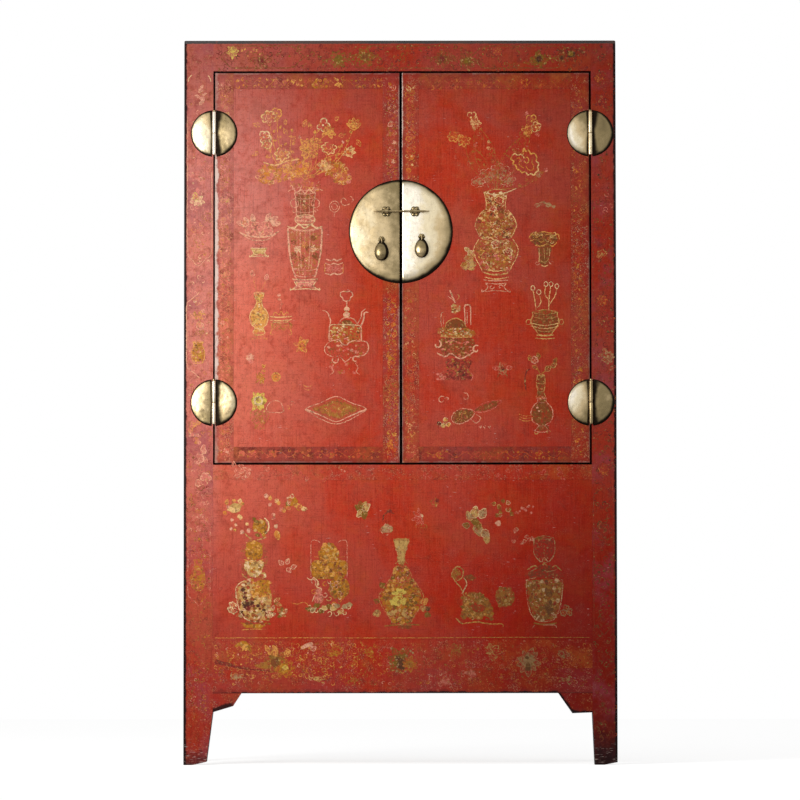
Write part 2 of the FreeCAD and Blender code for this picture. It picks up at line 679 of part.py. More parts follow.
def floor_and_well():
    """The bottom, and over it the loose boards that close the storage well."""
    cutter_z = grown(FLOOR_BOARD[2], "overrun")
    slab = block("bottom_board_slab", *FLOOR_BOARD)
    cutters = post_cutters("bottom_board", cutter_z, "joint_gap")
    keep("bottom_board", without("bottom_board_cut", slab, *cutters))

    ledge_z = ("ledge_bottom", "lid_bottom")
    between_posts = ("front_post_back", "back_post_front")
    left_ledge = ("left_rail_inner", "left_rail_inner + ledge_width")
    right_ledge = ("right_rail_inner - ledge_width", "right_rail_inner")
    keep("lid_ledge_left", block("lid_ledge_left_strip", left_ledge, between_posts, ledge_z))
    keep("lid_ledge_right", block("lid_ledge_right_strip", right_ledge, between_posts, ledge_z))
    middle = ("-ledge_width / 2", "ledge_width / 2")
    keep("lid_bearer", block("lid_bearer_strip", middle, ("front_rail_back", "back_rail_front"), ledge_z))

    lids = {
        "left": ("left_rail_inner + lid_play", "-lid_play / 2"),
        "right": ("lid_play / 2", "right_rail_inner - lid_play"),
    }
    lid_y = ("front_rail_back + lid_play", "back_rail_front - lid_play")
    for side, (low, high) in lids.items():
        label = f"well_lid_{side}"
        slab = block(label + "_slab", (low, high), lid_y, ("lid_bottom", "sill_height"))
        cutters = post_cutters(label, grown(("lid_bottom", "sill_height"), "overrun"), "lid_play")
        hole = rod(
            label + "_hole",
            "Z",
            f"({low} + {high}) / 2",
            f"{lid_y[0]} + finger_hole_inset",
            "lid_bottom - overrun",
            "finger_hole_radius",
            "lid_thickness + 2 * overrun",
        )
        keep(label, without(label + "_cut", slab, hole, *cutters))


def shelf():
    inner = ("left_edge + side_panel_inner", "right_edge - side_panel_inner")
    shelf_z = ("shelf_bottom", "shelf_height")
    slab = block("shelf_slab", inner, ("interior_front", "back_face - side_panel_inner"), shelf_z)
    cutters = post_cutters("shelf", grown(shelf_z, "overrun"), "joint_gap")
    keep("shelf", without("shelf_cut", slab, *cutters))
    cleat_z = ("shelf_bottom - cleat_height", "shelf_bottom")
    along = ("front_post_back", "back_post_front")
    left = block("shelf_cleat_left", (inner[0], f"{inner[0]} + cleat_width"), along, cleat_z)
    right = block("shelf_cleat_right", (f"{inner[1]} - cleat_width", inner[1]), along, cleat_z)
    keep("shelf_cleats", gathered("shelf_cleats_group", left, right))


# Brass


def half_plate(label, x, z, radius, crown, crown_face, near, far):
    """A stretch of a round, hollow sheet-brass plate, from near to far across it."""
    round_plate = rod(label + "_round", "Y", x, crown_face, z, radius, crown)
    rolled = softened(label + "_rolled", round_plate, "plate_edge_radius", (("Y", crown_face),))
    reach = (f"{z} - {radius} - overrun", f"{z} + {radius} + overrun")
    kept = block(label + "_kept", (near, far), (f"{crown_face} - overrun", "front_face"), reach)
    hollow = rod(
        label + "_hollow",
        "Y",
        x,
        f"{crown_face} + sheet_thickness",
        z,
        f"{radius} - sheet_thickness",
        f"{crown} + overrun",
    )
    inside = block(
        label + "_inside",
        (f"{near} + sheet_thickness", f"{far} - sheet_thickness"),
        (crown_face, "front_face + 2 * overrun"),
        reach,
    )
    half = common(label + "_half", rolled, kept)
    return without(label + "_shell", half, common(label + "_room", hollow, inside))


def hinge_leaf(label, axis, way, middle, low, high):
    """One leaf with its knuckle. way points from the pin to the leaf."""
    near, far = stepped(axis, way, "leaf_edge", "hinge_plate_radius + overrun")
    shell = half_plate(
        label,
        axis,
        middle,
        "hinge_plate_radius",
        "hinge_crown",
        "hinge_crown_face",
        near,
        far,
    )
    strap = block(
        label + "_strap",
        stepped(axis, way, "0", "leaf_edge + sheet_thickness"),
        ("front_face - web_lift - sheet_thickness", "front_face - web_lift"),
        (low, high),
    )
    knuckle = rod(label + "_knuckle", "Z", axis, "axis_depth", low, "barrel_radius", f"{high} - ({low})")
    bore = rod(
        label + "_bore",
        "Z",
        axis,
        "axis_depth",
        f"{low} - overrun",
        "hinge_pin_radius + hinge_pin_play",
        f"{high} - ({low}) + 2 * overrun",
    )
    return without(label, joined(label + "_whole", shell, strap, knuckle), bore)


def hinges():
    """Two round hinges at each side. The upper knuckle turns with the door, the lower stays."""
    fixed = []
    pins = []
    for side, way in (("left", 1), ("right", -1)):
        axis = f"{side}_axis"
        turning = []
        for level in ("upper", "lower"):
            middle = f"{level}_hinge_height"
            name = f"{side}_{level}"
            bottom = f"{middle} - barrel_length / 2"
            top = f"{middle} + barrel_length / 2"
            meet_low = f"{middle} - knuckle_play / 2"
            meet_high = f"{middle} + knuckle_play / 2"
            fixed.append(hinge_leaf(f"post_leaf_{name}", axis, -way, middle, bottom, meet_low))
            turning.append(hinge_leaf(f"door_leaf_{name}", axis, way, middle, meet_high, top))
            stem = rod(
                f"pin_stem_{name}",
                "Z",
                axis,
                "axis_depth",
                bottom,
                "hinge_pin_radius",
                "barrel_length + knuckle_play",
            )
            head = rod(
                f"pin_head_{name}",
                "Z",
                axis,
                "axis_depth",
                f"{top} + knuckle_play",
                "pin_head_radius",
                "pin_head_height",
            )
            pins.append(joined(f"pin_{name}", stem, head))
        keep(f"door_{side}_hinge_leaves", gathered(f"door_leaves_{side}", *turning))
    keep("hinge_post_leaves", gathered("post_leaves", *fixed))
    keep("hinge_pins", gathered("pins", *pins))


def shank(label, x, z, start, back, radius):
    """The straight stem of an eye, up to the bend behind the door."""
    length = f"{back} + joint_gap + clinch_radius + shank_radius - ({start})"
    return rod(label, "Y", x, start, z, radius, length)


def eye_places(side, way):
    """Where a door's two eyes are: name, x, z, what they are clinched behind."""
    return (
        ("lock", f"meeting_line - {way} * lock_eye_offset", "lock_eye_height", "door_back"),
        ("pull", f"meeting_line - {way} * {side}_pull_offset", f"{side}_pull_height", "door_panel_back"),
    )


def shank_holes(label, side, way):
    return [
        shank(f"{label}_{name}_hole", x, z, "eye_line", back, "shank_radius + shank_play")
        for name, x, z, back in eye_places(side, way)
    ]


def clinched(label, x, z, start, back):
    """A stem with its bent end flat against the back of the wood."""
    stem = shank(label + "_shank", x, z, start, back, "shank_radius")
    bend = rod(
        label + "_bend",
        "Z",
        x,
        f"{back} + joint_gap + clinch_radius",
        z,
        "clinch_radius",
        "clinch_length",
    )
    return [stem, bend]


def rosette(label, x, z, radius):
    """A flower-shaped washer."""
    front = "lock_crown_face - rosette_lift - rosette_thickness"
    petals = []
    count = 8
    for n in range(count):
        angle = math.tau * n / count
        petal = rod(
            f"{label}_petal{n}",
            "Y",
            f"{x} + {radius} * (1 - rosette_petal_share) * {math.cos(angle):.6f}",
            front,
            f"{z} + {radius} * (1 - rosette_petal_share) * {math.sin(angle):.6f}",
            f"{radius} * rosette_petal_share",
            "rosette_thickness",
        )
        petals.append(petal)
    hole = rod(
        label + "_hole",
        "Y",
        x,
        f"{front} - overrun",
        z,
        "shank_radius + shank_play",
        "rosette_thickness + 2 * overrun",
    )
    return without(label, joined(label + "_flower", *petals), hole)


def door_brass(side, way):
    """The half plate, the eyes and their washers of one door."""
    free = f"{side}_door_free_edge"
    near, far = (free, "meeting_line + lock_plate_radius + overrun")
    if way > 0:
        near, far = ("meeting_line - lock_plate_radius - overrun", free)
    plate = half_plate(
        f"lock_plate_{side}",
        "meeting_line",
        "lock_plate_height",
        "lock_plate_radius",
        "lock_crown",
        "lock_crown_face",
        near,
        far,
    )
    holes = shank_holes(f"plate_{side}", side, way)
    keep(f"door_{side}_lock_plate", without(f"lock_plate_{side}_pierced", plate, *holes))

    (_, lock_x, lock_z, lock_back), (_, pull_x, pull_z, pull_back) = eye_places(side, way)
    label = f"lock_eye_{side}"
    eye = rod(
        label + "_round",
        "X",
        f"{lock_x} - lock_eye_length / 2",
        "eye_line",
        lock_z,
        "lock_eye_radius",
        "lock_eye_length",
    )
    eye_hole = rod(
        label + "_hole",
        "X",
        f"{lock_x} - lock_eye_length / 2 - overrun",
        "eye_line",
        lock_z,
        "lock_pin_radius + lock_pin_play",
        "lock_eye_length + 2 * overrun",
    )
    wall_middle = "eye_line + (lock_eye_radius + lock_pin_radius + lock_pin_play) / 2"
    stem = clinched(label, lock_x, lock_z, wall_middle, lock_back)
    lock_eye = joined(label, without(label + "_tube", eye, eye_hole), *stem)
    label = f"pull_staple_{side}"
    loop = ring(label + "_loop", "X", pull_x, "eye_line", pull_z, "ring_radius", "staple_wire_radius")
    stem = clinched(label, pull_x, pull_z, "eye_line + ring_radius", pull_back)
    keep(f"door_{side}_eyes", gathered(f"eyes_{side}", lock_eye, joined(label, loop, *stem)))
    washers = (
        rosette(f"lock_rosette_{side}", lock_x, lock_z, "lock_rosette_radius"),
        rosette(f"pull_rosette_{side}", pull_x, pull_z, "pull_rosette_radius"),
    )
    keep(f"door_{side}_rosettes", gathered(f"rosettes_{side}", *washers))
    pull(side, pull_x, pull_z)


def pull(side, x, z):
    """A pear-shaped pull that hangs from the staple by its own ring."""
    label = f"pull_{side}"
    eye = ring(label + "_ring", "Y", x, "eye_line", f"{z} - ring_radius", "ring_radius", "pull_wire_radius")
    centre = f"{z} - pull_length + pull_body_height / 2"
    pear = doc.addObject("Part::Ellipsoid", label + "_pear")
    for prop, text in (
        ("Radius1", "pull_body_height / 2"),
        ("Radius2", "pull_width / 2"),
        ("Radius3", "pull_thickness / 2"),
    ):
        pear.setExpression(prop, spelled(text))
    placed(pear, "Z", x, "eye_line", centre)
    neck = doc.addObject("Part::Cone", label + "_neck")
    neck_start = f"{centre} + pull_body_height / 4"
    neck.setExpression("Radius1", spelled("pull_thickness * pull_neck_share"))
    neck.setExpression("Radius2", spelled("pull_wire_radius"))
    neck.setExpression("Height", spelled(f"{z} - 2 * ring_radius - ({neck_start})"))
    placed(neck, "Z", x, "eye_line", neck_start)
    keep(label, joined(label + "_whole", eye, pear, neck))


def lock_pin():
    """The rod through the four eyes, tapered at both ends."""
    left = "meeting_line - lock_pin_left"
    right = "meeting_line + lock_pin_right"
    length = "lock_pin_left + lock_pin_right - 2 * lock_pin_tip"
    middle = rod(
        "lock_pin_rod",
        "X",
        f"{left} + lock_pin_tip",
        "eye_line",
        "lock_eye_height",
        "lock_pin_radius",
        length,
    )
    tips = []
    for name, start, first, last in (
        ("left", left, "lock_pin_tip_radius", "lock_pin_radius"),
        ("right", f"{right} - lock_pin_tip", "lock_pin_radius", "lock_pin_tip_radius"),
    ):
        tip = doc.addObject("Part::Cone", f"lock_pin_{name}_tip")
        tip.setExpression("Radius1", spelled(first))
        tip.setExpression("Radius2", spelled(last))
        tip.setExpression("Height", spelled("lock_pin_tip"))
        tips.append(placed(tip, "X", start, "eye_line", "lock_eye_height"))
    keep("lock_pin", joined("lock_pin_whole", middle, *tips))


# Doors


def door(side, way):
    """A framed door with a flush panel and two strips across its back."""
    edge = f"{side}_door_hinge_edge"
    free = f"{side}_door_free_edge"
    width = f"{side}_door_width"
    label = f"door_{side}"
    depth = ("front_face", "door_back")
    height = ("door_bottom", "door_top")
    field = stepped(edge, way, "hinge_stile_width", f"{width} - lock_stile_width")
    field_z = ("door_bottom + door_rail_width", "door_top - door_rail_width")
    tongue = (
        grown(field, "tongue_depth"),
        ("front_face + tongue_inset", "door_panel_back"),
        grown(field_z, "tongue_depth"),
    )
    tenon_y = deep("door_tenon_inset", "door_tenon_inset + door_tenon_thickness")
    tenon_x = grown(field, "door_tenon_length")
    rails = {
        "top_rail": ("door_top - door_rail_width", "door_top"),
        "bottom_rail": ("door_bottom", "door_bottom + door_rail_width"),
    }
    tenons = {
        name: (tenon_x, tenon_y, (f"{low} + door_tenon_shoulder", f"{high} - door_tenon_shoulder"))
        for name, (low, high) in rails.items()
    }
    battens = []
    for share in ("low_batten_share", "high_batten_share"):
        middle = f"door_bottom + (door_top - door_bottom) * {share}"
        batten_z = (f"{middle} - batten_height / 2", f"{middle} + batten_height / 2")
        batten_y = ("door_panel_back", "door_panel_back + batten_thickness")
        battens.append((grown(field, "batten_stub"), batten_y, batten_z))
    pockets = [tongue, *tenons.values(), *battens]

    hinge_stile = softened(
        label + "_hinge_arris",
        block(label + "_hinge_bar", stepped(edge, way, "0", "hinge_stile_width"), depth, height),
        "door_arris_radius",
        (("X", edge), ("Y", "front_face")),
    )
    keep(label + "_hinge_stile", let_in(label + "_hinge_stile", hinge_stile, *pockets))
    lock_stile = softened(
        label + "_lock_arris",
        block(label + "_lock_bar", stepped(edge, way, f"{width} - lock_stile_width", width), depth, height),
        "rail_arris_radius",
        (("X", free), ("Y", "front_face")),
    )
    lock_stile = let_in(label + "_lock_stile", lock_stile, *pockets)
    holes = shank_holes(label + "_stile", side, way)
    keep(label + "_lock_stile", without(label + "_lock_stile_drilled", lock_stile, *holes))
    for name, (low, high) in rails.items():
        outer = "door_top" if name == "top_rail" else "door_bottom"
        bar = softened(
            f"{label}_{name}_arris",
            block(f"{label}_{name}_bar", field, depth, (low, high)),
            "rail_arris_radius",
            (("Z", outer), ("Y", "front_face")),
        )
        whole = joined(f"{label}_{name}_whole", bar, block(f"{label}_{name}_tenons", *tenons[name]))
        keep(f"{label}_{name}", let_in(f"{label}_{name}", whole, tongue))
    face_y = ("front_face + panel_recess", "door_panel_back")
    face = block(label + "_panel_face", shrunk(field), face_y, shrunk(field_z))
    panel = joined(label + "_panel_whole", face, block(label + "_panel_tongue", *tongue))
    holes = shank_holes(label + "_panel", side, way)
    keep(label + "_panel", without(label + "_panel_drilled", panel, *holes))
    strips = [block(f"{label}_batten{n}", *batten) for n, batten in enumerate(battens)]
    keep(label + "_battens", gathered(label + "_battens_group", *strips))


def write_out():
    """Checks every object and shape, then writes one STEP file for each sub-part."""
    doc.recompute()
    for thing in doc.Objects:
        if {"Invalid", "Error"} & set(thing.State):
            raise ValueError(f"{thing.Name} failed: {thing.State}")
    for label, thing in nodes.items():
        shape = thing.Shape
        if shape.isNull() or not shape.isValid() or not shape.Solids:
            raise ValueError(f"{label} has no valid shape")
    os.makedirs("parts", exist_ok=True)
    for label, thing in nodes.items():
        thing.Shape.exportStep(f"parts/{label}.step")
        print(f"{label}: {len(thing.Shape.Solids)} solid(s), {thing.Shape.Volume / 1000:.1f} cm3")
    print(len(nodes), "sub-parts")


fill_sheets()
posts()
top_board()
front_rails()
front_panel()
apron()
side_frames()
back_frame()
floor_and_well()
shelf()
hinges()
for door_side, door_way in (("left", 1), ("right", -1)):
    door(door_side, door_way)
    door_brass(door_side, door_way)
lock_pin()
write_out()
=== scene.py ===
import json
import math
import random

import bpy
import numpy as np
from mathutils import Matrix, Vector, noise


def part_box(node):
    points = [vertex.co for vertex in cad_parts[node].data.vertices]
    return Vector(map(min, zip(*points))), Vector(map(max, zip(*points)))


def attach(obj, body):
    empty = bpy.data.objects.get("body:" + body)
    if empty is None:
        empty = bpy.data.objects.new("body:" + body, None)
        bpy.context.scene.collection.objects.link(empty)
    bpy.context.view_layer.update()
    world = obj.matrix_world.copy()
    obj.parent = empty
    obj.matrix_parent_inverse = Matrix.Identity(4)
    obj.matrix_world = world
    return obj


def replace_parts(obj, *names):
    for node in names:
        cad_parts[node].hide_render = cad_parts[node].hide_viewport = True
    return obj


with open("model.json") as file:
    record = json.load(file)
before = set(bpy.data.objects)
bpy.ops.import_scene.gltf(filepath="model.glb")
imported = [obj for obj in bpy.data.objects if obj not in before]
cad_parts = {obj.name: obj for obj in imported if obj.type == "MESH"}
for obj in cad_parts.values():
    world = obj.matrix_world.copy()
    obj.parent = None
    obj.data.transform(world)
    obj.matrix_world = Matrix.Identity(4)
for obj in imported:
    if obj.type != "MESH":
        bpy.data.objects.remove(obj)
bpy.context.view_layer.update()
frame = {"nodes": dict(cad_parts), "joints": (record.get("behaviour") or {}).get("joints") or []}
mm = 0.001
print("frame loaded:", len(frame["nodes"]), "nodes")

# where the cabinet's faces are, in metres
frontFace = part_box("front_top_rail")[0].y
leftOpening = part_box("post_front_left")[1].x
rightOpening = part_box("post_front_right")[0].x
meetingLine = (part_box("door_left_panel")[1].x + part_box("door_right_panel")[0].x) / 2
jointAt = {j["name"]: Vector(j["pos_m"]) for j in frame["joints"] if "pos_m" in j}

camera = {
    "distance": 12.0,       # from the front of the cabinet
    "aimX": -0.001,         # the point on the front in the middle of the picture
    "aimHeight": 0.9083,
    "tiltUp": 3.0,          # degrees
    "roll": 0.05,           # degrees
    "widthInView": 1.9934,  # of the front, over the whole picture
    "pictureSize": 800,
    "sensor": 36,           # mm
}


def makeCamera():
    data = bpy.data.cameras.new("camera")
    data.sensor_width = camera["sensor"]
    data.lens = camera["sensor"] * camera["distance"] / camera["widthInView"]
    cam = bpy.data.objects.new("camera", data)
    bpy.context.scene.collection.objects.link(cam)
    drop = camera["distance"] * math.tan(math.radians(camera["tiltUp"]))
    cam.location = (camera["aimX"], frontFace - camera["distance"], camera["aimHeight"] - drop)
    cam.rotation_euler = (math.radians(90 + camera["tiltUp"]), math.radians(camera["roll"]), 0)
    bpy.context.scene.camera = cam
    bpy.context.view_layer.update()
    return cam


cam = makeCamera()
viewRight = cam.matrix_world.to_3x3() @ Vector((1, 0, 0))
viewUp = cam.matrix_world.to_3x3() @ Vector((0, 1, 0))
viewAhead = cam.matrix_world.to_3x3() @ Vector((0, 0, -1))


# the x and z on the front that show at a pixel of the 800 by 800 picture
def onFront(px, py):
    half = camera["pictureSize"] / 2
    step = camera["widthInView"] / camera["pictureSize"] / camera["distance"]
    ray = viewAhead + viewRight * ((px - half) * step) + viewUp * ((half - py) * step)
    t = (frontFace - cam.location.y) / ray.y
    return cam.location.x + ray.x * t, cam.location.z + ray.z * t


print("camera set")

drawnIn = {}    # the node tree that the functions below add to


def newMaterial(name):
    material = bpy.data.materials.new(name)
    material.use_nodes = True
    material.node_tree.nodes.clear()
    drawnIn["tree"] = material.node_tree
    return material


def node(kind, inputs=None, **settings):
    tree = drawnIn["tree"]
    made = tree.nodes.new("ShaderNode" + kind)
    for key, value in settings.items():
        setattr(made, key, value)
    for key, value in (inputs or {}).items():
        if isinstance(value, bpy.types.NodeSocket):
            tree.links.new(value, made.inputs[key])
        else:
            made.inputs[key].default_value = value
    return made


def calc(operation, a, b):
    return node("Math", {0: a, 1: b, 2: 0.0}, operation=operation).outputs[0]


def plus(a, b):
    return calc("ADD", a, b)


def minus(a, b):
    return calc("SUBTRACT", a, b)


def times(a, b):
    return calc("MULTIPLY", a, b)


def smaller(a, b):
    return calc("MINIMUM", a, b)


def larger(a, b):
    return calc("MAXIMUM", a, b)


def fade(value, start, end, low=0.0, high=1.0):
    inputs = {0: value, 1: start, 2: end, 3: low, 4: high}
    return node("MapRange", inputs, interpolation_type="SMOOTHSTEP").outputs[0]


def mixed(share, a, b, blend="MIX"):
    inputs = {0: share, 6: (*a, 1) if isinstance(a, tuple) else a,
              7: (*b, 1) if isinstance(b, tuple) else b}
    return node("Mix", inputs, data_type="RGBA", blend_type=blend, clamp_factor=True).outputs[2]


def objectPlace():
    where = node("TexCoord").outputs["Object"]
    return where, node("SeparateXYZ", {0: where}).outputs


def mottle(where, scale, detail=3.0, rough=0.55, stretch=None, shift=0.0, distortion=0.0):
    if stretch is not None or shift:
        where = node("Mapping", {0: where, 1: (shift, shift * 0.7, -shift * 1.3),
                                 3: stretch or (1, 1, 1)}).outputs[0]
    made = node("TexNoise", {"Vector": where, "Scale": scale, "Detail": detail, "Roughness": rough,
                             "Distortion": distortion})
    return made.outputs[0]


def finishMaterial(material, colour, roughness, bump, bumpHeight, bumpStrength, metallic=0.0, specular=0.5):
    lifted = node("Bump", {"Height": bump, "Distance": bumpHeight, "Strength": bumpStrength}).outputs[0]
    shader = node("BsdfPrincipled", {"Base Color": colour, "Roughness": roughness, "Metallic": metallic,
                                     "Specular IOR Level": specular, "Normal": lifted})
    node("OutputMaterial", {0: shader.outputs[0]})
    return material


redTones = {
    "brick": (0.520, 0.036, 0.012),
    "rose": (0.480, 0.066, 0.040),
    "deep": (0.120, 0.007, 0.004),
    "orange": (0.520, 0.070, 0.020),
    "cloth": (0.64, 0.125, 0.065),
    "sheenRedLow": (0.84, 0.220, 0.142),
    "sheenRedHigh": (0.77, 0.305, 0.250),
    "pure": (1.0, 0.40, 0.28),
}
sheenShadeAndTone = {
    # painted sheen of the lamp's reflection: paler to the left, most at this height, and pinker higher up
    # and on the left post
    "sheenFrom": -0.06, "sheenTo": -0.50, "sheenShare": 0.94,       # paler to the left
    "sheenLow": 0.10, "sheenMiddle": 1.15, "sheenHigh": 2.30,       # and most at this height
    "paleLow": 1.12, "paleHigh": 1.48, "postPink": 0.65,        # pinker higher up and on the left post
    # painted shade of the light's falloff: darker to the right and to the floor, most so low down on the
    # right, and more saturated there
    "darkFrom": 0.10, "darkTo": 0.56, "darkShare": 0.38,        # darker to the right
    "footTop": 0.80, "footBottom": 0.02, "footShare": 0.34,     # and to the floor
    "cornerShare": 0.80,                                        # most so low down on the right
    "lowTop": 1.05, "lowBottom": 0.30, "lowShare": 0.27,        # and purer low down
    # darker towards the top
    "headBottom": 1.50, "headTop": 1.80, "headShare": 0.28,
}


def makeLacquerGround():
    tree = bpy.data.node_groups.new("lacquerGround", "ShaderNodeTree")
    drawnIn["tree"] = tree
    tree.interface.new_socket("Vector", in_out="INPUT", socket_type="NodeSocketVector")
    for name, kind in (("Color", "Color"), ("Rough", "Float"), ("Height", "Float")):
        tree.interface.new_socket(name, in_out="OUTPUT", socket_type="NodeSocket" + kind)
    where = tree.nodes.new("NodeGroupInput").outputs[0]
    place = node("SeparateXYZ", {0: where}).outputs
    broad = mottle(where, 4.2, 4, 0.62, distortion=0.5)
    middle = mottle(where, 20, 4, 0.62, shift=3.1)
    small = mottle(where, 75, 4, 0.65, shift=5.3)
    fine = mottle(where, 330, 3, 0.65, shift=7.7)
    upright = mottle(where, 1, 3, 0.6, stretch=(380, 380, 16))
    level = mottle(where, 1, 3, 0.6, stretch=(16, 380, 380), shift=1.9)
    colour = mixed(fade(broad, 0.40, 0.60), redTones["brick"], redTones["rose"])
    colour = mixed(fade(middle, 0.52, 0.72, 0, 0.6), colour, redTones["orange"])
    # painted sheen: the lamp's glossy reflection laid in as a pale rosy wash, strongest on the left at
    # mid-height and on the left post
    left = fade(place[0], sheenShadeAndTone["sheenFrom"], sheenShadeAndTone["sheenTo"])
    rising = fade(place[2], sheenShadeAndTone["sheenLow"], sheenShadeAndTone["sheenMiddle"])
    falling = fade(place[2], sheenShadeAndTone["sheenHigh"], sheenShadeAndTone["sheenMiddle"])
    pale = times(left, times(rising, falling))
    pale = times(pale, fade(small, 0.25, 0.6, sheenShadeAndTone["sheenShare"] * 0.6, sheenShadeAndTone["sheenShare"]))
    pinker = larger(fade(place[2], sheenShadeAndTone["paleLow"], sheenShadeAndTone["paleHigh"]),
                    fade(place[0], -0.44, -0.47, 0, sheenShadeAndTone["postPink"]))
    sheenTone = mixed(pinker, redTones["sheenRedLow"], redTones["sheenRedHigh"])
    colour = mixed(pale, colour, sheenTone)
    cloth = larger(fade(upright, 0.50, 0.72), fade(level, 0.52, 0.74))
    dark = larger(fade(upright, 0.48, 0.26), fade(level, 0.46, 0.26))
    colour = mixed(times(cloth, 0.26), colour, redTones["cloth"])
    colour = mixed(times(dark, 0.34), colour, redTones["deep"])
    colour = mixed(fade(middle, 0.46, 0.26, 0, 0.24), colour, redTones["deep"])
    colour = mixed(fade(small, 0.47, 0.27, 0, 0.22), colour, redTones["deep"])
    colour = mixed(fade(fine, 0.52, 0.72, 0, 0.46), colour, redTones["deep"])
    colour = mixed(fade(fine, 0.46, 0.28, 0, 0.34), colour, redTones["cloth"])
    # painted shade: darker to the right and towards the floor; and darker towards the top
    for axis, start, end, share in ((0, "darkFrom", "darkTo", "darkShare"),
                                    (2, "footTop", "footBottom", "footShare"),
                                    (2, "headBottom", "headTop", "headShare")):
        shade = fade(place[axis], sheenShadeAndTone[start], sheenShadeAndTone[end], 0, sheenShadeAndTone[share])
        colour = mixed(shade, colour, redTones["deep"])
    # painted shade, deepest and most saturated low down on the right, and more saturated all along the lower
    # part
    corner = times(fade(place[0], -0.1, 0.5), fade(place[2], 0.95, 0.15, 0, sheenShadeAndTone["cornerShare"]))
    colour = mixed(corner, colour, redTones["pure"], "MULTIPLY")
    low = fade(place[2], sheenShadeAndTone["lowTop"], sheenShadeAndTone["lowBottom"], 0, sheenShadeAndTone["lowShare"])
    colour = mixed(low, colour, redTones["pure"], "MULTIPLY")
    colour = mixed(times(corner, 0.75), colour, redTones["deep"])
    rough = fade(middle, 0.3, 0.7, 0.36, 0.50)
    height = plus(times(cloth, 0.5), fine)
    out = tree.nodes.new("NodeGroupOutput")
    for index, value in enumerate((colour, rough, height)):
        tree.links.new(value, out.inputs[index])
    return tree


lacquerGround = makeLacquerGround()


def groundOf(where):
    made = drawnIn["tree"].nodes.new("ShaderNodeGroup")
    made.node_tree = lacquerGround
    drawnIn["tree"].links.new(where, made.inputs[0])
    return list(made.outputs)


# how far each stain or wear goes on each kind of red piece, 0 to 1
redLooks = {
    "panel": {"ochre": 0.08, "umber": 0.24, "violet": 0.06, "gilt": 0.08, "endWear": 0.0,
              "edgeDark": 0.35, "band": 0.0},
    "stileLeft": {"ochre": 0.34, "umber": 0.66, "violet": 0.30, "gilt": 0.70, "endWear": 0.2,
                  "edgeDark": 0.6, "band": 0.34},
    "stileRight": {"ochre": 0.30, "umber": 0.66, "violet": 0.08, "gilt": 0.60, "endWear": 0.1,
                   "edgeDark": 0.6, "band": 0.30},
    "doorRail": {"ochre": 0.42, "umber": 0.84, "violet": 0.10, "gilt": 0.26, "endWear": 0.20,
                 "edgeDark": 0.6, "band": 0.40},
    "post": {"ochre": 0.10, "umber": 0.66, "violet": 0.50, "gilt": 0.35, "endWear": 0.2,
             "edgeDark": 0.9, "band": 0.10},
    "rail": {"ochre": 0.16, "umber": 0.74, "violet": 0.18, "gilt": 0.12, "endWear": 0.35,
             "edgeDark": 0.6, "band": 0.12},
    "postRight": {"ochre": 0.04, "umber": 0.72, "violet": 0.52, "gilt": 0.10, "endWear": 0.2,
                  "edgeDark": 0.9, "band": 0.10},
    "doorFoot": {"ochre": 0.50, "umber": 1.00, "violet": 0.12, "gilt": 0.16, "endWear": 0.14,
                 "edgeDark": 0.7, "band": 0.66},
    "low": {"ochre": 0.25, "umber": 0.60, "violet": 0.10, "gilt": 0.40, "endWear": 0.18, "edgeDark": 0.8,
            "band": 0.05},
    "apron": {"ochre": 0.12, "umber": 0.74, "violet": 0.16, "gilt": 0.34, "endWear": 0.0, "edgeDark": 0.9,
              "band": 0.10},
}
# how pale the long edges of these are, how far in, and between which heights: worn lacquer, and on the left
# door's hinge stile a painted highlight along its rounded edge
edgeWearAndHighlight = {
    "door_left_hinge_stile": (1.0, 0.0100, 0.97, 1.53),
    "door_left_lock_stile": (0.30, 0.0035, 0.78, 1.70),
    "door_right_lock_stile": (0.85, 0.0030, 1.44, 1.73),
    "door_right_hinge_stile": (0.15, 0.0040, 0.80, 1.30),
    "post_front_left": (0.30, 0.0045, 1.00, 1.45),
    "post_front_right": (0.60, 0.0050, 1.02, 1.53),
}
stainTones = {
    "ochre": (0.47, 0.150, 0.028),
    "umber": (0.165, 0.024, 0.018),
    "violet": (0.26, 0.060, 0.085),
    "gilt": (0.66, 0.30, 0.09),
    "paleGilt": (0.74, 0.42, 0.24),
    "worn": (0.76, 0.56, 0.48),
    "nearBlack": (0.012, 0.008, 0.008),
}

# black along these lower edges, for each red piece: both ends of the line, and how far up the black goes
blackLowerEdges = {
    "red_apron_bracket_left": [(onFront(211, 712.0), onFront(232, 705.6), 0.0115)],
    "red_apron_bracket_right": [(onFront(557, 692), onFront(572.5, 712.5), 0.0065),
                                (onFront(572.5, 712.5), onFront(595, 712.5), 0.0050)],
    "red_front_apron": [(onFront(225, 693.9), onFront(557, 692.4), 0.0042)],
}


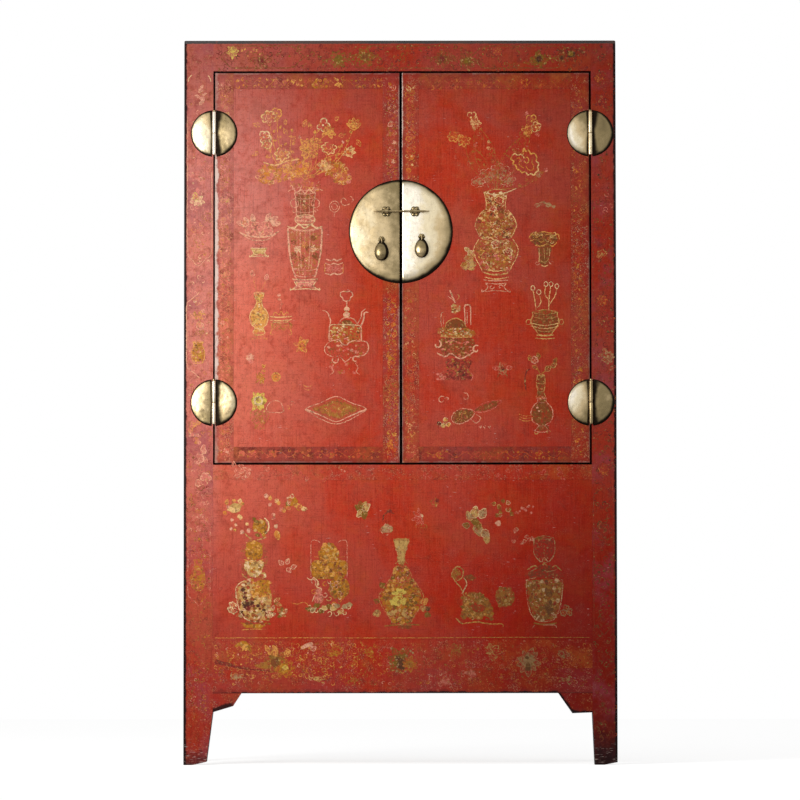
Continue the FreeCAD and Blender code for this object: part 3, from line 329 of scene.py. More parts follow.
def redLacquer(name, face, kind, outerX=None, paleSides=None):
    look = redLooks[kind]
    x0, x1, z0, z1 = face
    material = newMaterial(name)
    where, split = objectPlace()
    colour, rough, height = groundOf(where)
    sides = smaller(minus(split[0], x0), minus(x1, split[0]))
    ends = smaller(minus(split[2], z0), minus(z1, split[2]))
    edge = smaller(sides, ends)
    patches = mottle(where, 9, 4, 0.65, shift=x0 * 7 + z0 * 3 + 11)
    blotches = mottle(where, 48, 4, 0.7, shift=z1 * 5 + 2)
    specks = mottle(where, 420, 2, 0.6, shift=5.5)
    scratches = mottle(where, 1, 2, 0.5, stretch=(60, 60, 520), shift=4.4)
    colour = mixed(fade(blotches, 0.30, 0.62, look["band"] * 0.5, look["band"]), colour,
                   stainTones["umber"])
    for tone, source, start, end in (("violet", patches, 0.46, 0.70), ("ochre", patches, 0.52, 0.30),
                                     ("umber", blotches, 0.50, 0.72)):
        share = fade(source, start, end, 0, look[tone])
        colour = mixed(share, colour, stainTones[tone])
    gilt = times(fade(specks, 0.53, 0.66), fade(blotches, 0.42, 0.60, 0, look["gilt"]))
    giltTone = mixed(fade(patches, 0.42, 0.58), stainTones["gilt"], stainTones["paleGilt"])
    colour = mixed(gilt, colour, giltTone)
    # darker towards the free edges, and a near-black line at the very edge that paints the shade in the gaps
    # between parts; the very edge is worn pale here and there
    roughEdge = plus(edge, fade(blotches, 0.3, 0.7, -0.006, 0.006))
    colour = mixed(fade(roughEdge, 0.011, 0.001, 0, look["edgeDark"] * 0.7), colour, stainTones["umber"])
    spotty = times(fade(blotches, 0.34, 0.56, 0, look["endWear"]), fade(patches, 0.40, 0.54, 0.15, 1))
    colour = mixed(times(fade(ends, 0.0046, 0.0030), spotty), colour, stainTones["worn"])
    colour = mixed(fade(edge, 0.0016, 0.0004, 0, look["edgeDark"]), colour, stainTones["nearBlack"])
    # pale lines along the long edges: wear, and a painted highlight on the rounded edge of the left door's
    # hinge stile
    if paleSides is not None:
        most, reach, bottom, top = paleSides
        within = times(fade(split[2], bottom - 0.05, bottom + 0.03), fade(split[2], top + 0.05, top - 0.03))
        spotty = times(fade(blotches, 0.28, 0.54, most * 0.25, most), fade(within, 0.0, 1.0, 0.22, 1.0))
        inward = plus(sides, fade(blotches, 0.3, 0.7, reach * 0.3, -reach * 0.3))
        worn = times(fade(inward, reach, reach * 0.45), spotty)
        colour = mixed(worn, colour, stainTones["worn"])
    nick = times(fade(scratches, 0.70, 0.76), fade(patches, 0.5, 0.6, 0, 0.6))
    colour = mixed(nick, colour, stainTones["worn"])
    # surfaces more than 1.5 mm behind the front face, the joints and the backs, are nearly black: in the
    # gaps between parts this is painted shade, and on the posts it is the black lacquer of their sides
    behind = fade(split[1], frontFace + 0.0015, frontFace + 0.0045, 0, 0.96)
    hidden = stainTones["nearBlack"]
    if outerX is not None:
        hidden = mixed(fade(patches, 0.45, 0.72, 0, 0.65), blackLook["black"], blackLook["brown"])
        hidden = mixed(fade(blotches, 0.58, 0.78, 0, 0.5), hidden, blackLook["rust"])
    colour = mixed(behind, colour, hidden)
    if outerX is not None:
        # the lacquer of the sides turns the corner, and the foot is blackened
        inward = calc("ABSOLUTE", minus(split[0], outerX), 0.0)
        corner = plus(inward, fade(blotches, 0.3, 0.7, -0.0012, 0.0012))
        turnedIn = fade(split[1], frontFace + 0.012, frontFace + 0.004)
        sideCoat = times(fade(corner, 0.0078, 0.0052, 0, 0.96), turnedIn)
        colour = mixed(sideCoat, colour, stainTones["nearBlack"])
        foot = plus(split[2], fade(blotches, 0.3, 0.7, -0.02, 0.02))
        reach, most = (0.045, 0.62) if outerX < 0 else (0.150, 0.94)
        colour = mixed(fade(foot, reach, 0.004, 0, most), colour, stainTones["nearBlack"])
        scuffs = times(fade(scratches, 0.60, 0.70), fade(foot, 0.07, 0.01, 0, 0.55))
        colour = mixed(scuffs, colour, stainTones["worn"])
    if name in blackLowerEdges:
        for (xa, za), (xb, zb), reach in blackLowerEdges[name]:
            size = math.hypot(xb - xa, zb - za)
            across = [(za - zb) / size, (xb - xa) / size]
            away = plus(times(minus(split[0], xa), across[0]), times(minus(split[2], za), across[1]))
            away = plus(away, fade(blotches, 0.3, 0.7, -0.002, 0.002))
            along = plus(times(minus(split[0], xa), across[1]), times(minus(split[2], za), -across[0]))
            within = times(fade(along, -0.012, 0.004), fade(along, size + 0.012, size - 0.004))
            black = times(fade(away, reach, reach * 0.45, 0, 0.93), within)
            colour = mixed(black, colour, stainTones["nearBlack"])
    return finishMaterial(material, colour, rough, bump=height, bumpHeight=0.00025, bumpStrength=0.35,
                          specular=0.04)


blackLook = {"black": (0.022, 0.015, 0.013), "brown": (0.105, 0.038, 0.020), "dust": (0.10, 0.085, 0.075),
             "rust": (0.30, 0.055, 0.030)}


def blackLacquer(name, face):
    low, high = face
    material = newMaterial(name)
    where, split = objectPlace()
    near = [smaller(minus(split[i], low[i]), minus(high[i], split[i])) for i in range(3)]
    # the second smallest of the three distances is small only along an edge
    least = smaller(smaller(near[0], near[1]), near[2])
    most = larger(larger(near[0], near[1]), near[2])
    total = plus(plus(near[0], near[1]), near[2])
    edge = minus(minus(total, least), most)
    patches = mottle(where, 7, 4, 0.6, shift=high[0] * 5 + 1)
    blotches = mottle(where, 60, 4, 0.7, shift=low[2] * 4 + 3)
    upright = mottle(where, 1, 3, 0.6, stretch=(300, 300, 10))
    colour = mixed(fade(patches, 0.45, 0.72, 0, 0.65), blackLook["black"], blackLook["brown"])
    colour = mixed(fade(blotches, 0.58, 0.78, 0, 0.5), colour, blackLook["rust"])
    colour = mixed(fade(upright, 0.56, 0.78, 0, 0.30), colour, blackLook["dust"])
    thin = min(high[i] - low[i] for i in range(3))
    reach = min(0.006, thin * 0.15)
    worn = times(fade(edge, reach, reach * 0.2), fade(blotches, 0.48, 0.64, 0, 0.8))
    colour = mixed(worn, colour, blackLook["rust"])
    rough = fade(patches, 0.3, 0.7, 0.34, 0.58)
    return finishMaterial(material, colour, rough, bump=upright, bumpHeight=0.0003, bumpStrength=0.3,
                          specular=0.4)


woodLook = {"pale": (0.36, 0.205, 0.105), "brown": (0.20, 0.098, 0.045), "dark": (0.070, 0.032, 0.016),
            "grey": (0.25, 0.19, 0.14)}


def bareWood(name, low, high):
    material = newMaterial(name)
    where = node("TexCoord").outputs["Object"]
    size = high - low
    along = 2 if "back_boards" in name else max(range(3), key=lambda i: size[i])
    stretch = [170.0] * 3
    stretch[along] = 5.0
    wide = [26.0] * 3
    wide[along] = 1.6
    grain = mottle(where, 1, 4, 0.62, stretch=tuple(stretch), shift=low[0] * 9 + low[2] * 3, distortion=0.6)
    bands = mottle(where, 1, 3, 0.6, stretch=tuple(wide), shift=high[2] * 6 + 4, distortion=0.8)
    stains = mottle(where, 6, 4, 0.65, shift=high[0] * 3 + 8)
    colour = mixed(fade(bands, 0.34, 0.66), woodLook["pale"], woodLook["brown"])
    colour = mixed(fade(grain, 0.50, 0.72, 0, 0.75), colour, woodLook["dark"])
    colour = mixed(fade(stains, 0.52, 0.74, 0, 0.5), colour, woodLook["dark"])
    colour = mixed(fade(stains, 0.46, 0.28, 0, 0.5), colour, woodLook["grey"])
    rough = fade(grain, 0.3, 0.7, 0.62, 0.82)
    return finishMaterial(material, colour, rough, bump=grain, bumpHeight=0.0006, bumpStrength=0.5,
                          specular=0.3)


brassTones = {"white": (0.82, 0.76, 0.66), "pale": (0.72, 0.61, 0.41), "tan": (0.56, 0.425, 0.235),
              "olive": (0.22, 0.165, 0.080), "dark": (0.009, 0.006, 0.004)}


def brass(name, toneShift=0.0, roughness=0.30, darkReach=9.0, grime=0.5, rimmed=True):
    # the rim attribute is the distance from the rim in mm, the darkness attribute goes from 0, bright, to 1,
    # dark: tarnish together with painted reflections, highlights and shade
    material = newMaterial(name)
    where = node("TexCoord").outputs["Object"]
    rim = node("Attribute", attribute_name="rim").outputs["Fac"] if rimmed else None
    darkness = node("Attribute", attribute_name="darkness").outputs["Fac"] if rimmed else 0.75
    patches = mottle(where, 26, 4, 0.6, shift=2.2)
    blotches = mottle(where, 120, 4, 0.65, shift=6.1)
    brushed = mottle(where, 1, 3, 0.6, stretch=(500, 500, 24))
    scratched = mottle(where, 1, 2, 0.5, stretch=(40, 500, 620), shift=9.3)
    tarnish = plus(fade(patches, 0.30, 0.72, -0.16, 0.22), darkness)
    tarnish = plus(tarnish, toneShift)
    colour = mixed(fade(tarnish, 0.05, 0.42), brassTones["pale"], brassTones["tan"])
    # the brightest parts turn to a painted white highlight
    colour = mixed(fade(tarnish, 0.02, -0.36, 0, 0.75), colour, brassTones["white"])
    colour = mixed(fade(tarnish, 0.38, 0.95), colour, brassTones["olive"])
    colour = mixed(fade(tarnish, 0.95, 1.70, 0, 0.9), colour, brassTones["dark"])
    colour = mixed(fade(brushed, 0.50, 0.75, 0, 0.22), colour, brassTones["olive"])
    colour = mixed(fade(blotches, 0.60, 0.78, 0, grime), colour, brassTones["olive"])
    colour = mixed(fade(scratched, 0.72, 0.78, 0, 0.4), colour, brassTones["dark"])
    rough = fade(blotches, 0.3, 0.7, roughness - 0.05, roughness + 0.10)
    if rimmed:
        # dark towards the rim: patina in the turned-down rim, with the painted shade that the rim attribute
        # carries, wider on the right and below
        reach = plus(rim, fade(patches, 0.3, 0.7, darkReach * 0.06, -darkReach * 0.06))
        colour = mixed(fade(reach, darkReach, darkReach * 0.20, 0, 0.85), colour, brassTones["olive"])
        colour = mixed(fade(reach, darkReach * 0.42, darkReach * 0.14, 0, 0.99), colour, brassTones["dark"])
        rough = plus(rough, fade(reach, darkReach * 0.6, 0.0, 0, 0.2))
    height = plus(times(brushed, 0.4), patches)
    return finishMaterial(material, colour, rough, metallic=1.0, bump=height, bumpHeight=0.0004,
                          bumpStrength=0.25)


def makePiece(name, verts, faces, body, material, smooth=True, attributes=None):
    mesh = bpy.data.meshes.new(name)
    mesh.from_pydata([tuple(v) for v in verts], [], faces)
    mesh.validate(clean_customdata=False)
    for key, values in (attributes or {}).items():
        mesh.attributes.new(key, "FLOAT", "POINT").data.foreach_set("value", values)
    mesh.materials.append(material)
    if smooth:
        mesh.polygons.foreach_set("use_smooth", [True] * len(mesh.polygons))
    mesh.update()
    piece = bpy.data.objects.new(name, mesh)
    bpy.context.scene.collection.objects.link(piece)
    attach(piece, body)
    return piece


class Shape:
    # the vertices and faces of one piece, with each vertex's distance from the rim and its darkness, which
    # holds tarnish and painted light
    def __init__(self):
        self.verts = []
        self.faces = []
        self.rim = []
        self.darkness = []

    def grid(self, rows, rims, darknessLevels, closeAcross=False, closeAlong=False):
        start = len(self.verts)
        count = len(rows[0])
        for row, rim, darkness in zip(rows, rims, darknessLevels):
            self.verts.extend(row)
            self.rim.extend(rim)
            self.darkness.extend(darkness)
        for i in range(len(rows) if closeAlong else len(rows) - 1):
            for j in range(count if closeAcross else count - 1):
                a = start + i * count + j
                b = start + i * count + (j + 1) % count
                c = start + (i + 1) % len(rows) * count + (j + 1) % count
                d = start + (i + 1) % len(rows) * count + j
                self.faces.append((a, b, c, d))

    def fan(self, ring, middle, rim, darkness, flip=False):
        start = len(self.verts)
        self.verts.extend(ring)
        self.verts.append(middle)
        self.rim.extend([rim] * (len(ring) + 1))
        self.darkness.extend([darkness] * (len(ring) + 1))
        for j in range(len(ring)):
            a, b = start + j, start + (j + 1) % len(ring)
            self.faces.append((b, a, start + len(ring)) if flip else (a, b, start + len(ring)))

    def build(self, name, body, slot, material):
        verts, faces, keep = welded(self.verts, self.faces)
        attributes = {"rim": [self.rim[i] for i in keep], "darkness": [self.darkness[i] for i in keep]}
        return makePiece(name, verts, faces, body, material, attributes=attributes)


def welded(verts, faces):
    # vertices at the same place become one, and faces without area go
    seen, index, keep = {}, [], []
    for i, v in enumerate(verts):
        key = tuple(round(c * 1e6) for c in v)
        if key not in seen:
            seen[key] = len(keep)
            keep.append(i)
        index.append(seen[key])
    kept = []
    for face in faces:
        ring = []
        for i in face:
            if index[i] not in ring:
                ring.append(index[i])
        if len(ring) > 2:
            kept.append(tuple(ring))
    return [verts[i] for i in keep], kept, keep


def rise(t, power=2.2, root=0.5):
    t = min(max(t, 0.0), 1.0)
    return (1 - (1 - t) ** power) ** root


def pillow(shape, centreX, centreZ, radius, edgeX, side, crown, darkness, dents=0.25, rows=72, columns=40,
           darkEdge=0.0, bend=0.85):
    # half a round plate beside x = edgeX, domed and turned down all round; side is 1 or -1
    reach = math.sqrt(radius ** 2 - (edgeX - centreX) ** 2)
    fronts, backs, rims, darknessLevels = [], [], [], []
    for i in range(rows + 1):
        z = -reach * math.cos(math.pi * i / rows)
        width = max(math.sqrt(max(radius ** 2 - z * z, 0)) - abs(edgeX - centreX), 0)
        front, back, rimRow, darknessRow = [], [], [], []
        for j in range(columns + 1):
            share = 0.5 - 0.5 * math.cos(math.pi * j / columns)
            x = abs(edgeX - centreX) + width * share
            fromRim = radius - math.hypot(x, z)
            fromEdge = width * share
            lift = (0.45 * rise(fromRim / (radius * 0.09)) * rise(fromEdge / (radius * 0.035))
                    + 0.55 * rise(fromRim / (radius * 0.8), 2, 1) * rise(fromEdge / (radius * bend), 2, 1))
            spot = Vector((centreX + side * x, 3.1, centreZ + z)) * (7 / radius)
            dent = noise.noise(spot) * dents * rise(min(fromRim, fromEdge) / (radius * 0.2))
            y = frontFace / mm - max(crown * lift + dent, 0)
            if j in (0, columns) or i in (0, rows):
                y = frontFace / mm
            place = (centreX + side * x, centreZ + z)
            front.append((place[0] * mm, y * mm, place[1] * mm))
            back.append((place[0] * mm, frontFace, place[1] * mm))
            # the light comes from the left, so the rim is darker on the right
            shaded = (1 + 1.5 * max(-side * x / radius - 0.25, 0)) * (1 + 0.3 * z / radius)
            # darkEdge paints the barrel's shadow, with some patina, on the leaf beside it
            barrelShadeAndPatina = fromEdge * darkEdge * (1.5 - abs(z) / radius) if darkEdge else radius
            rimRow.append(max(min(fromRim * shaded, barrelShadeAndPatina), 0))
            # how dark the plate is, from its straight edge to its rim and up: tarnish with a painted
            # reflection
            darknessRow.append(darkness[0] + (darkness[1] - darkness[0]) * min(x / radius, 1) ** 1.1 + 0.22 * (z / radius) ** 2
                          + darkness[2] * z / radius)
        if side > 0:
            front.reverse()
            back.reverse()
            rimRow.reverse()
            darknessRow.reverse()
        fronts.append(front)
        backs.append(back[::-1])
        rims.append(rimRow)
        darknessLevels.append(darknessRow)
    shape.grid(fronts, rims, darknessLevels)
    shape.grid(backs, [row[::-1] for row in rims], [row[::-1] for row in darknessLevels])


def turned(shape, axis, at, profile, darkness, rim=20.0, segments=40, squashY=1.0, outline=None):
    # the profile is (radius, height) in mm from one end to the other, with both ends at radius 0
    rows = []
    for radius, height in profile:
        row = []
        for j in range(segments):
            angle = 2 * math.pi * j / segments
            reach = radius * (outline(angle) if outline else 1)
            a, b = reach * math.cos(angle), reach * math.sin(angle)
            if axis == "Z":
                p = (a, b * squashY, height)
            elif axis == "Y":
                p = (a, -height, b)
            else:
                p = (height, a, b)
            row.append(tuple((at[k] + p[k]) * mm for k in range(3)))
        rows.append(row)
    shape.grid(rows, [[rim] * segments] * len(rows), [[darkness] * segments] * len(rows), closeAcross=True)


hinge = {
    "plateRadius": 58.5, "edgeFromAxis": 5.3, "crown": 4.4, "barrelRadius": 5.0, "barrelLength": 108,
    "knucklePlay": 0.4, "strapThickness": 1.3, "strapTo": 13.0, "pinHead": 3.5,
    # to the left of a barrel, -1, and to the right, 1
    # darkEdge and the strap tones paint the barrel's shadow beside it, wider and darker to its right
    "darkEdge": {-1: 1.7, 1: 0.56}, "strapDarkness": {-1: 0.6, 1: 1.6},
    # how dark each leaf is beside its barrel, at its far rim, and how much more so at its top: tarnish
    # together with painted reflections and shade
    "darknessLevels": {"postUpperLeft": (0.20, -0.25, 0.22), "postLowerLeft": (0.74, 0.36, -0.26),
             "doorUpperLeft": (0.75, 0.30, 0.10), "doorLowerLeft": (0.40, 0.12, -0.18),
             "doorUpperRight": (0.85, -0.60, 0.50), "doorLowerRight": (0.70, -0.30, -0.42),
             "postUpperRight": (1.00, 0.86, 0.20), "postLowerRight": (0.95, 0.70, -0.15)},
    # painted highlights and shade on the barrels: near white on the left hinges, dark on the lower right
    "barrelDarkness": {"UpperLeft": -0.45, "LowerLeft": -0.20, "UpperRight": 0.20, "LowerRight": 0.80},
}


def knuckle(shape, x, y, z0, z1, darkness):
    r = hinge["barrelRadius"]
    profile = [(0, z0), (r * 0.8, z0), (r * 0.96, z0 + 0.5), (r, z0 + 1.4), (r * 1.02, (z0 + z1) / 2),
               (r, z1 - 1.4), (r * 0.96, z1 - 0.5), (r * 0.8, z1), (0, z1)]
    turned(shape, "Z", (x, y, 0), profile, darkness, rim=60, segments=32)


def strap(shape, x, y, z0, z1, side, darkness):
    # the plate's tongue that is rolled up into the knuckle
    r = hinge["barrelRadius"]
    t = hinge["strapThickness"]
    wood = frontFace / mm
    outline = [(x, wood - 0.2), (x + side * hinge["strapTo"], wood - 0.2),
               (x + side * hinge["strapTo"], wood - 0.2 - t), (x + side * r * 0.9, wood - 0.4 - t),
               (x + side * r * 0.6, y + r * 0.6), (x, y + r * 0.7)]
    rings = []
    for z in (z0, z0 + 0.4, (z0 + z1) / 2, z1 - 0.4, z1):
        ring = [(a * mm, b * mm, z * mm) for a, b in outline]
        rings.append(ring if side < 0 else ring[::-1])
    shape.grid(rings, [[3.0] * 6] * 5, [[darkness] * 6] * 5, closeAcross=True)
    for ring, flip in ((rings[0], True), (rings[-1], False)):
        middle = tuple(sum(p[k] for p in ring) / 6 for k in range(3))
        shape.fan(ring, middle, 3.0, darkness, flip=flip)


def makeHinges(plateBrass):
    low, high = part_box("hinge_pins")
    upper = high.z / mm - hinge["pinHead"] - hinge["barrelLength"] / 2
    lower = low.z / mm + hinge["barrelLength"] / 2
    print("hinge heights", round(upper, 1), round(lower, 1))
    leaves = {"post": Shape(), "left": Shape(), "right": Shape()}
    for side, joint, outward in (("Left", "door_left_swing", -1), ("Right", "door_right_swing", 1)):
        x, y = jointAt[joint].x / mm, jointAt[joint].y / mm
        for level, z in (("Upper", upper), ("Lower", lower)):
            half, play = hinge["barrelLength"] / 2, hinge["knucklePlay"] / 2
            for owner, way, z0, z1 in (("post", outward, z - half, z - play),
                                       ("door", -outward, z + play, z + half)):
                darkness = hinge["darknessLevels"][owner + level + side]
                shape = leaves["post" if owner == "post" else side.lower()]
                edge = x + way * hinge["edgeFromAxis"]
                pillow(shape, x, z, hinge["plateRadius"], edge, way, hinge["crown"], darkness,
                       darkEdge=hinge["darkEdge"][way])
                knuckle(shape, x, y, z0, z1, hinge["barrelDarkness"][level + side])
                strap(shape, x, y, z0 + 2, z1 - 2, way, hinge["strapDarkness"][way])
    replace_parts(leaves["post"].build("hingeLeavesPosts", "carcass", "plate_brass", plateBrass),
                "hinge_post_leaves")
    for side in ("left", "right"):
        piece = leaves[side].build("hingeLeavesDoor" + side.title(), "door_" + side, "plate_brass",
                                   plateBrass)
        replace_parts(piece, f"door_{side}_hinge_leaves")


# how dark each half is at the meeting line, at its far rim, and towards its top: tarnish with painted
# reflections, bright at the left rim of the left half and beside the meeting line on the right half
lock = {"radius": 130, "crown": 5.4, "darknessLevels": {"left": (0.68, 0.06, 0.08), "right": (-0.60, 0.62, -0.08)}}


def makeLockPlate(lockBrass):
    low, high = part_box("door_left_lock_plate")
    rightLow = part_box("door_right_lock_plate")[0]
    z = (low.z + high.z) / 2 / mm
    x = meetingLine / mm
    print("lock plate", round(x, 1), round(z, 1), "gap edges", round(high.x / mm, 2),
          round(rightLow.x / mm, 2))
    for side, way, edge in (("left", -1, high.x / mm), ("right", 1, rightLow.x / mm)):
        shape = Shape()
        pillow(shape, x, z, lock["radius"], edge, way, lock["crown"], lock["darknessLevels"][side],
               dents=0.35, rows=110, columns=64, bend=0.60)
        piece = shape.build("lockPlate" + side.title(), "door_" + side, "plate_brass", lockBrass)
        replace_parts(piece, f"door_{side}_lock_plate")


rosette = {
    "petals": 6, "lockRadius": 13.5, "pullRadius": 9.0, "height": 3.0, "waist": 0.20,
    "proud": 5.0,       # mm, how far the washers stand out from the front
    "sunk": 1.2,        # mm, how far their backs reach into the plate
    "eyeX": {"left": -34.0, "right": 38.0},
}


def flowerWasher(shape, x, z, radius, height, darkness):
    # petals with a groove between them and a raised middle
    base = frontFace / mm - rosette["proud"]
    rows, rims, darknessLevels = [], [], []
    steps = [0.0, 0.16, 0.30, 0.42, 0.54, 0.66, 0.78, 0.88, 0.95, 1.0, 1.0]
    segments = 72
    for index, share in enumerate(steps):
        row, rimRow = [], []
        for j in range(segments):
            angle = 2 * math.pi * j / segments
            petal = abs(math.cos(angle * rosette["petals"] / 2))
            outline = 1 - rosette["waist"] * (1 - petal) ** 1.6
            r = radius * share * outline
            boss = max(0.0, 1 - (share / 0.34) ** 2) * 0.35
            swell = math.sin(math.pi * min(max((share - 0.22) / 0.78, 0), 1)) ** 0.7 if share < 1 else 0.0
            lift = height * 0.12
            if share < 1:
                lift = height * (0.22 + boss + 0.62 * swell * (0.45 + 0.55 * petal))
            if index == len(steps) - 1:
                lift = -rosette["sunk"]
            row.append(((x + r * math.cos(angle)) * mm, (base - lift) * mm, (z + r * math.sin(angle)) * mm))
            rimRow.append(0.6 + 6.5 * petal * swell)
        rows.append(row)
        rims.append(rimRow)
        darknessLevels.append([darkness] * segments)
    shape.grid(rows, rims, darknessLevels, closeAcross=True)
    shape.fan(rows[-1], (x * mm, (base + rosette["sunk"]) * mm, z * mm), 3.0, darkness)


def makeFittings(fittingBrass):
    pinZ = (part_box("lock_pin")[0].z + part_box("lock_pin")[1].z) / 2 / mm
    for side in ("left", "right"):
        shape = Shape()
        pull = jointAt[f"pull_{side}_swing"] / mm
        flowerWasher(shape, rosette["eyeX"][side], pinZ, rosette["lockRadius"], rosette["height"], 1.15)
        flowerWasher(shape, pull.x, pull.z, rosette["pullRadius"], rosette["height"] * 0.7, 1.05)
        piece = shape.build("rosettes" + side.title(), "door_" + side, "fitting_brass", fittingBrass)
        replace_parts(piece, f"door_{side}_rosettes")


pull = {
    "widest": 17.8, "flat": 0.46, "bottom": -53.0, "bodyTop": -3.0, "neck": 5.0, "fullest": 0.42,
    "ringDrop": 4.6, "ringRadius": 4.6, "ringWire": 1.7, "darknessLevels": {"left": 0.72, "right": 0.55},
}


def makePulls(fittingBrass):
    for side in ("left", "right"):
        at = jointAt[f"pull_{side}_swing"] / mm
        shape = Shape()
        profile = [(0, pull["bottom"])]
        length = pull["bodyTop"] - pull["bottom"]
        for k in range(1, 31):
            # an egg with its full end down
            t = k / 30
            if t > pull["fullest"]:
                away = (t - pull["fullest"]) / (1 - pull["fullest"])
                width = math.cos(away * math.pi / 2) ** 0.62
            else:
                away = 1 - t / pull["fullest"]
                width = math.sqrt(max(1 - away ** 2, 0))
            profile.append((max(pull["widest"] * width, pull["neck"]), pull["bottom"] + length * t))
        profile.append((0, pull["bodyTop"] + 1.0))
        start = len(shape.verts)
        turned(shape, "Z", (at.x, at.y, at.z), profile, 0.30, rim=30, segments=48, squashY=pull["flat"])
        for k in range(start, len(shape.verts)):
            # painted shade: darker above, with a dark outline round the body, wider on the right and above
            x, z = shape.verts[k][0] / mm - at.x, shape.verts[k][2] / mm - at.z
            shape.darkness[k] = pull["darknessLevels"][side] + 2.2 * max((z - pull["bottom"]) / length - 0.45, 0)
            away = math.hypot(x + 3, (z + 31) * 0.68) / pull["widest"]
            shape.rim[k] = min(30.0, 0.3 + 15 * max(0.92 - away, 0))
        ringAt = (at.x, at.y, at.z - pull["ringDrop"])
        ring = []
        for i in range(36):
            angle = 2 * math.pi * i / 36
            row = []
            for j in range(14):
                turn = 2 * math.pi * j / 14
                r = pull["ringRadius"] + pull["ringWire"] * math.cos(turn)
                row.append(((ringAt[0] + pull["ringWire"] * math.sin(turn)) * mm,
                            (ringAt[1] + r * math.sin(angle)) * mm,
                            (ringAt[2] + r * math.cos(angle)) * mm))
            ring.append(row)
        shape.grid(ring, [[6.0] * 14] * 36, [[0.5] * 14] * 36, closeAcross=True, closeAlong=True)
        piece = shape.build("pull" + side.title(), "pull_" + side, "fitting_brass", fittingBrass)
        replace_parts(piece, "pull_" + side)


plateBrass = brass("plateBrass", darkReach=20.0)
lockBrass = brass("lockBrass", darkReach=26.0)
fittingBrass = brass("fittingBrass", toneShift=0.1, roughness=0.26, darkReach=9.0, grime=0.6)
plainBrass = brass("plainBrass", roughness=0.30, grime=0.6, rimmed=False)
makeHinges(plateBrass)
makeLockPlate(lockBrass)
makeFittings(fittingBrass)
makePulls(fittingBrass)
print("brass made")


farOff = 1.0    # metres, for a side of a piece that is no free edge


def redFaces():
    # where each red piece has a free edge: x from, x to, z from, z to, and its look
    found = {}
    box = {name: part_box(name) for name in frame["nodes"]}
    top = box["post_front_left"][1].z
    low, high = box["post_front_left"]
    found["post_front_left"] = (low.x, high.x + farOff, low.z, top + farOff, "post")
    low, high = box["post_front_right"]
    found["post_front_right"] = (low.x - farOff, high.x, low.z, top + farOff, "postRight")
    low, high = box["front_top_rail"]
    found["front_top_rail"] = (leftOpening - farOff, rightOpening + farOff, low.z, high.z + farOff, "rail")
    low, high = box["front_sill_rail"]
    found["front_sill_rail"] = (leftOpening - farOff, rightOpening + farOff, low.z - farOff, high.z, "low")
    found["front_panel"] = (-farOff, farOff, -farOff, 2 * farOff, "panel")
    found["front_bottom_rail"] = (-farOff, farOff, -farOff, 2 * farOff, "low")
    low, high = box["front_apron"]
    found["front_apron"] = (-farOff, farOff, low.z, 2 * farOff, "apron")
    for name in ("apron_bracket_left", "apron_bracket_right"):
        low, high = box[name]
        found[name] = (-farOff, farOff, low.z, high.z + farOff, "apron")
    for side, inward in (("left", 1), ("right", -1)):
        outer = box[f"door_{side}_hinge_stile"]
        free = box[f"door_{side}_lock_stile"]
        bottom, head = outer[0].z, outer[1].z
        hingeSide = (outer[0].x, outer[1].x + farOff) if inward > 0 else (outer[0].x - farOff, outer[1].x)
        freeSide = (free[0].x - farOff, free[1].x) if inward > 0 else (free[0].x, free[1].x + farOff)
        found[f"door_{side}_hinge_stile"] = (*hingeSide, bottom, head, "stile" + side.title())
        found[f"door_{side}_lock_stile"] = (*freeSide, bottom, head, "stile" + side.title())
        found[f"door_{side}_top_rail"] = (-farOff, farOff, bottom - farOff, head, "doorRail")
        found[f"door_{side}_bottom_rail"] = (-farOff, farOff, bottom, head + farOff, "doorFoot")
        found[f"door_{side}_panel"] = (-farOff, farOff, -farOff, 2 * farOff, "panel")
    return found


def dress():
    red = redFaces()
    count = 0
    for name, piece in frame["nodes"].items():
        if piece.hide_render:
            continue
        first = piece.data.materials[0].name if piece.data.materials else ""
        count += 1
        low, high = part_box(name)
        if name in red:
            *face, look = red[name]
            outerX = {"post_front_left": low.x, "post_front_right": high.x}.get(name)
            material = redLacquer("red_" + name, face, look, outerX, edgeWearAndHighlight.get(name))
        elif "black" in first:
            material = blackLacquer("black_" + name, (low, high))
        elif "wood" in first or "bare" in first:
            material = bareWood("wood_" + name, low, high)
        elif "red" in first:
            material = redLacquer("red_" + name, (low.x, high.x, low.z, high.z), "low")
        else:
            material = plainBrass
        for index in range(len(piece.material_slots)):
            piece.material_slots[index].material = material
    print("dressed", count, "nodes")


dress()

# the painting: thin lines and washes of colour laid on the lacquer
tones = {
    "gold": (0.78, 0.37, 0.075), "paleGold": (0.88, 0.55, 0.22), "cream": (0.88, 0.62, 0.33),
    "blush": (0.84, 0.42, 0.27), "orange": (0.68, 0.235, 0.030), "ochre": (0.50, 0.205, 0.012),
    "lemon": (0.76, 0.58, 0.10), "olive": (0.190, 0.110, 0.010), "brown": (0.200, 0.064, 0.014),
    "dark": (0.055, 0.022, 0.012), "grey": (0.42, 0.275, 0.125), "rosy": (0.74, 0.22, 0.16),
    "bronze": (0.38, 0.160, 0.022), "wine": (0.17, 0.018, 0.016), "straw": (0.62, 0.38, 0.115),
}
drawing = {
    "unit": 2.5,        # mm to one unit of the drawings below
    "line": 3.0,        # mm, a line's width
    "lift": 0.10,       # mm, how thick the first stroke of a motif lies
    "fieldLift": 0.05,  # mm, the same for the scrolls behind the motifs
    "step": 0.0012,     # mm, how much higher each later stroke lies
    "sink": 0.03,       # mm, how far the colour reaches into the lacquer
    "spacing": 2.3,     # mm between the points of a line
    "shake": 0.65,      # mm, how unsteady the hand is
}


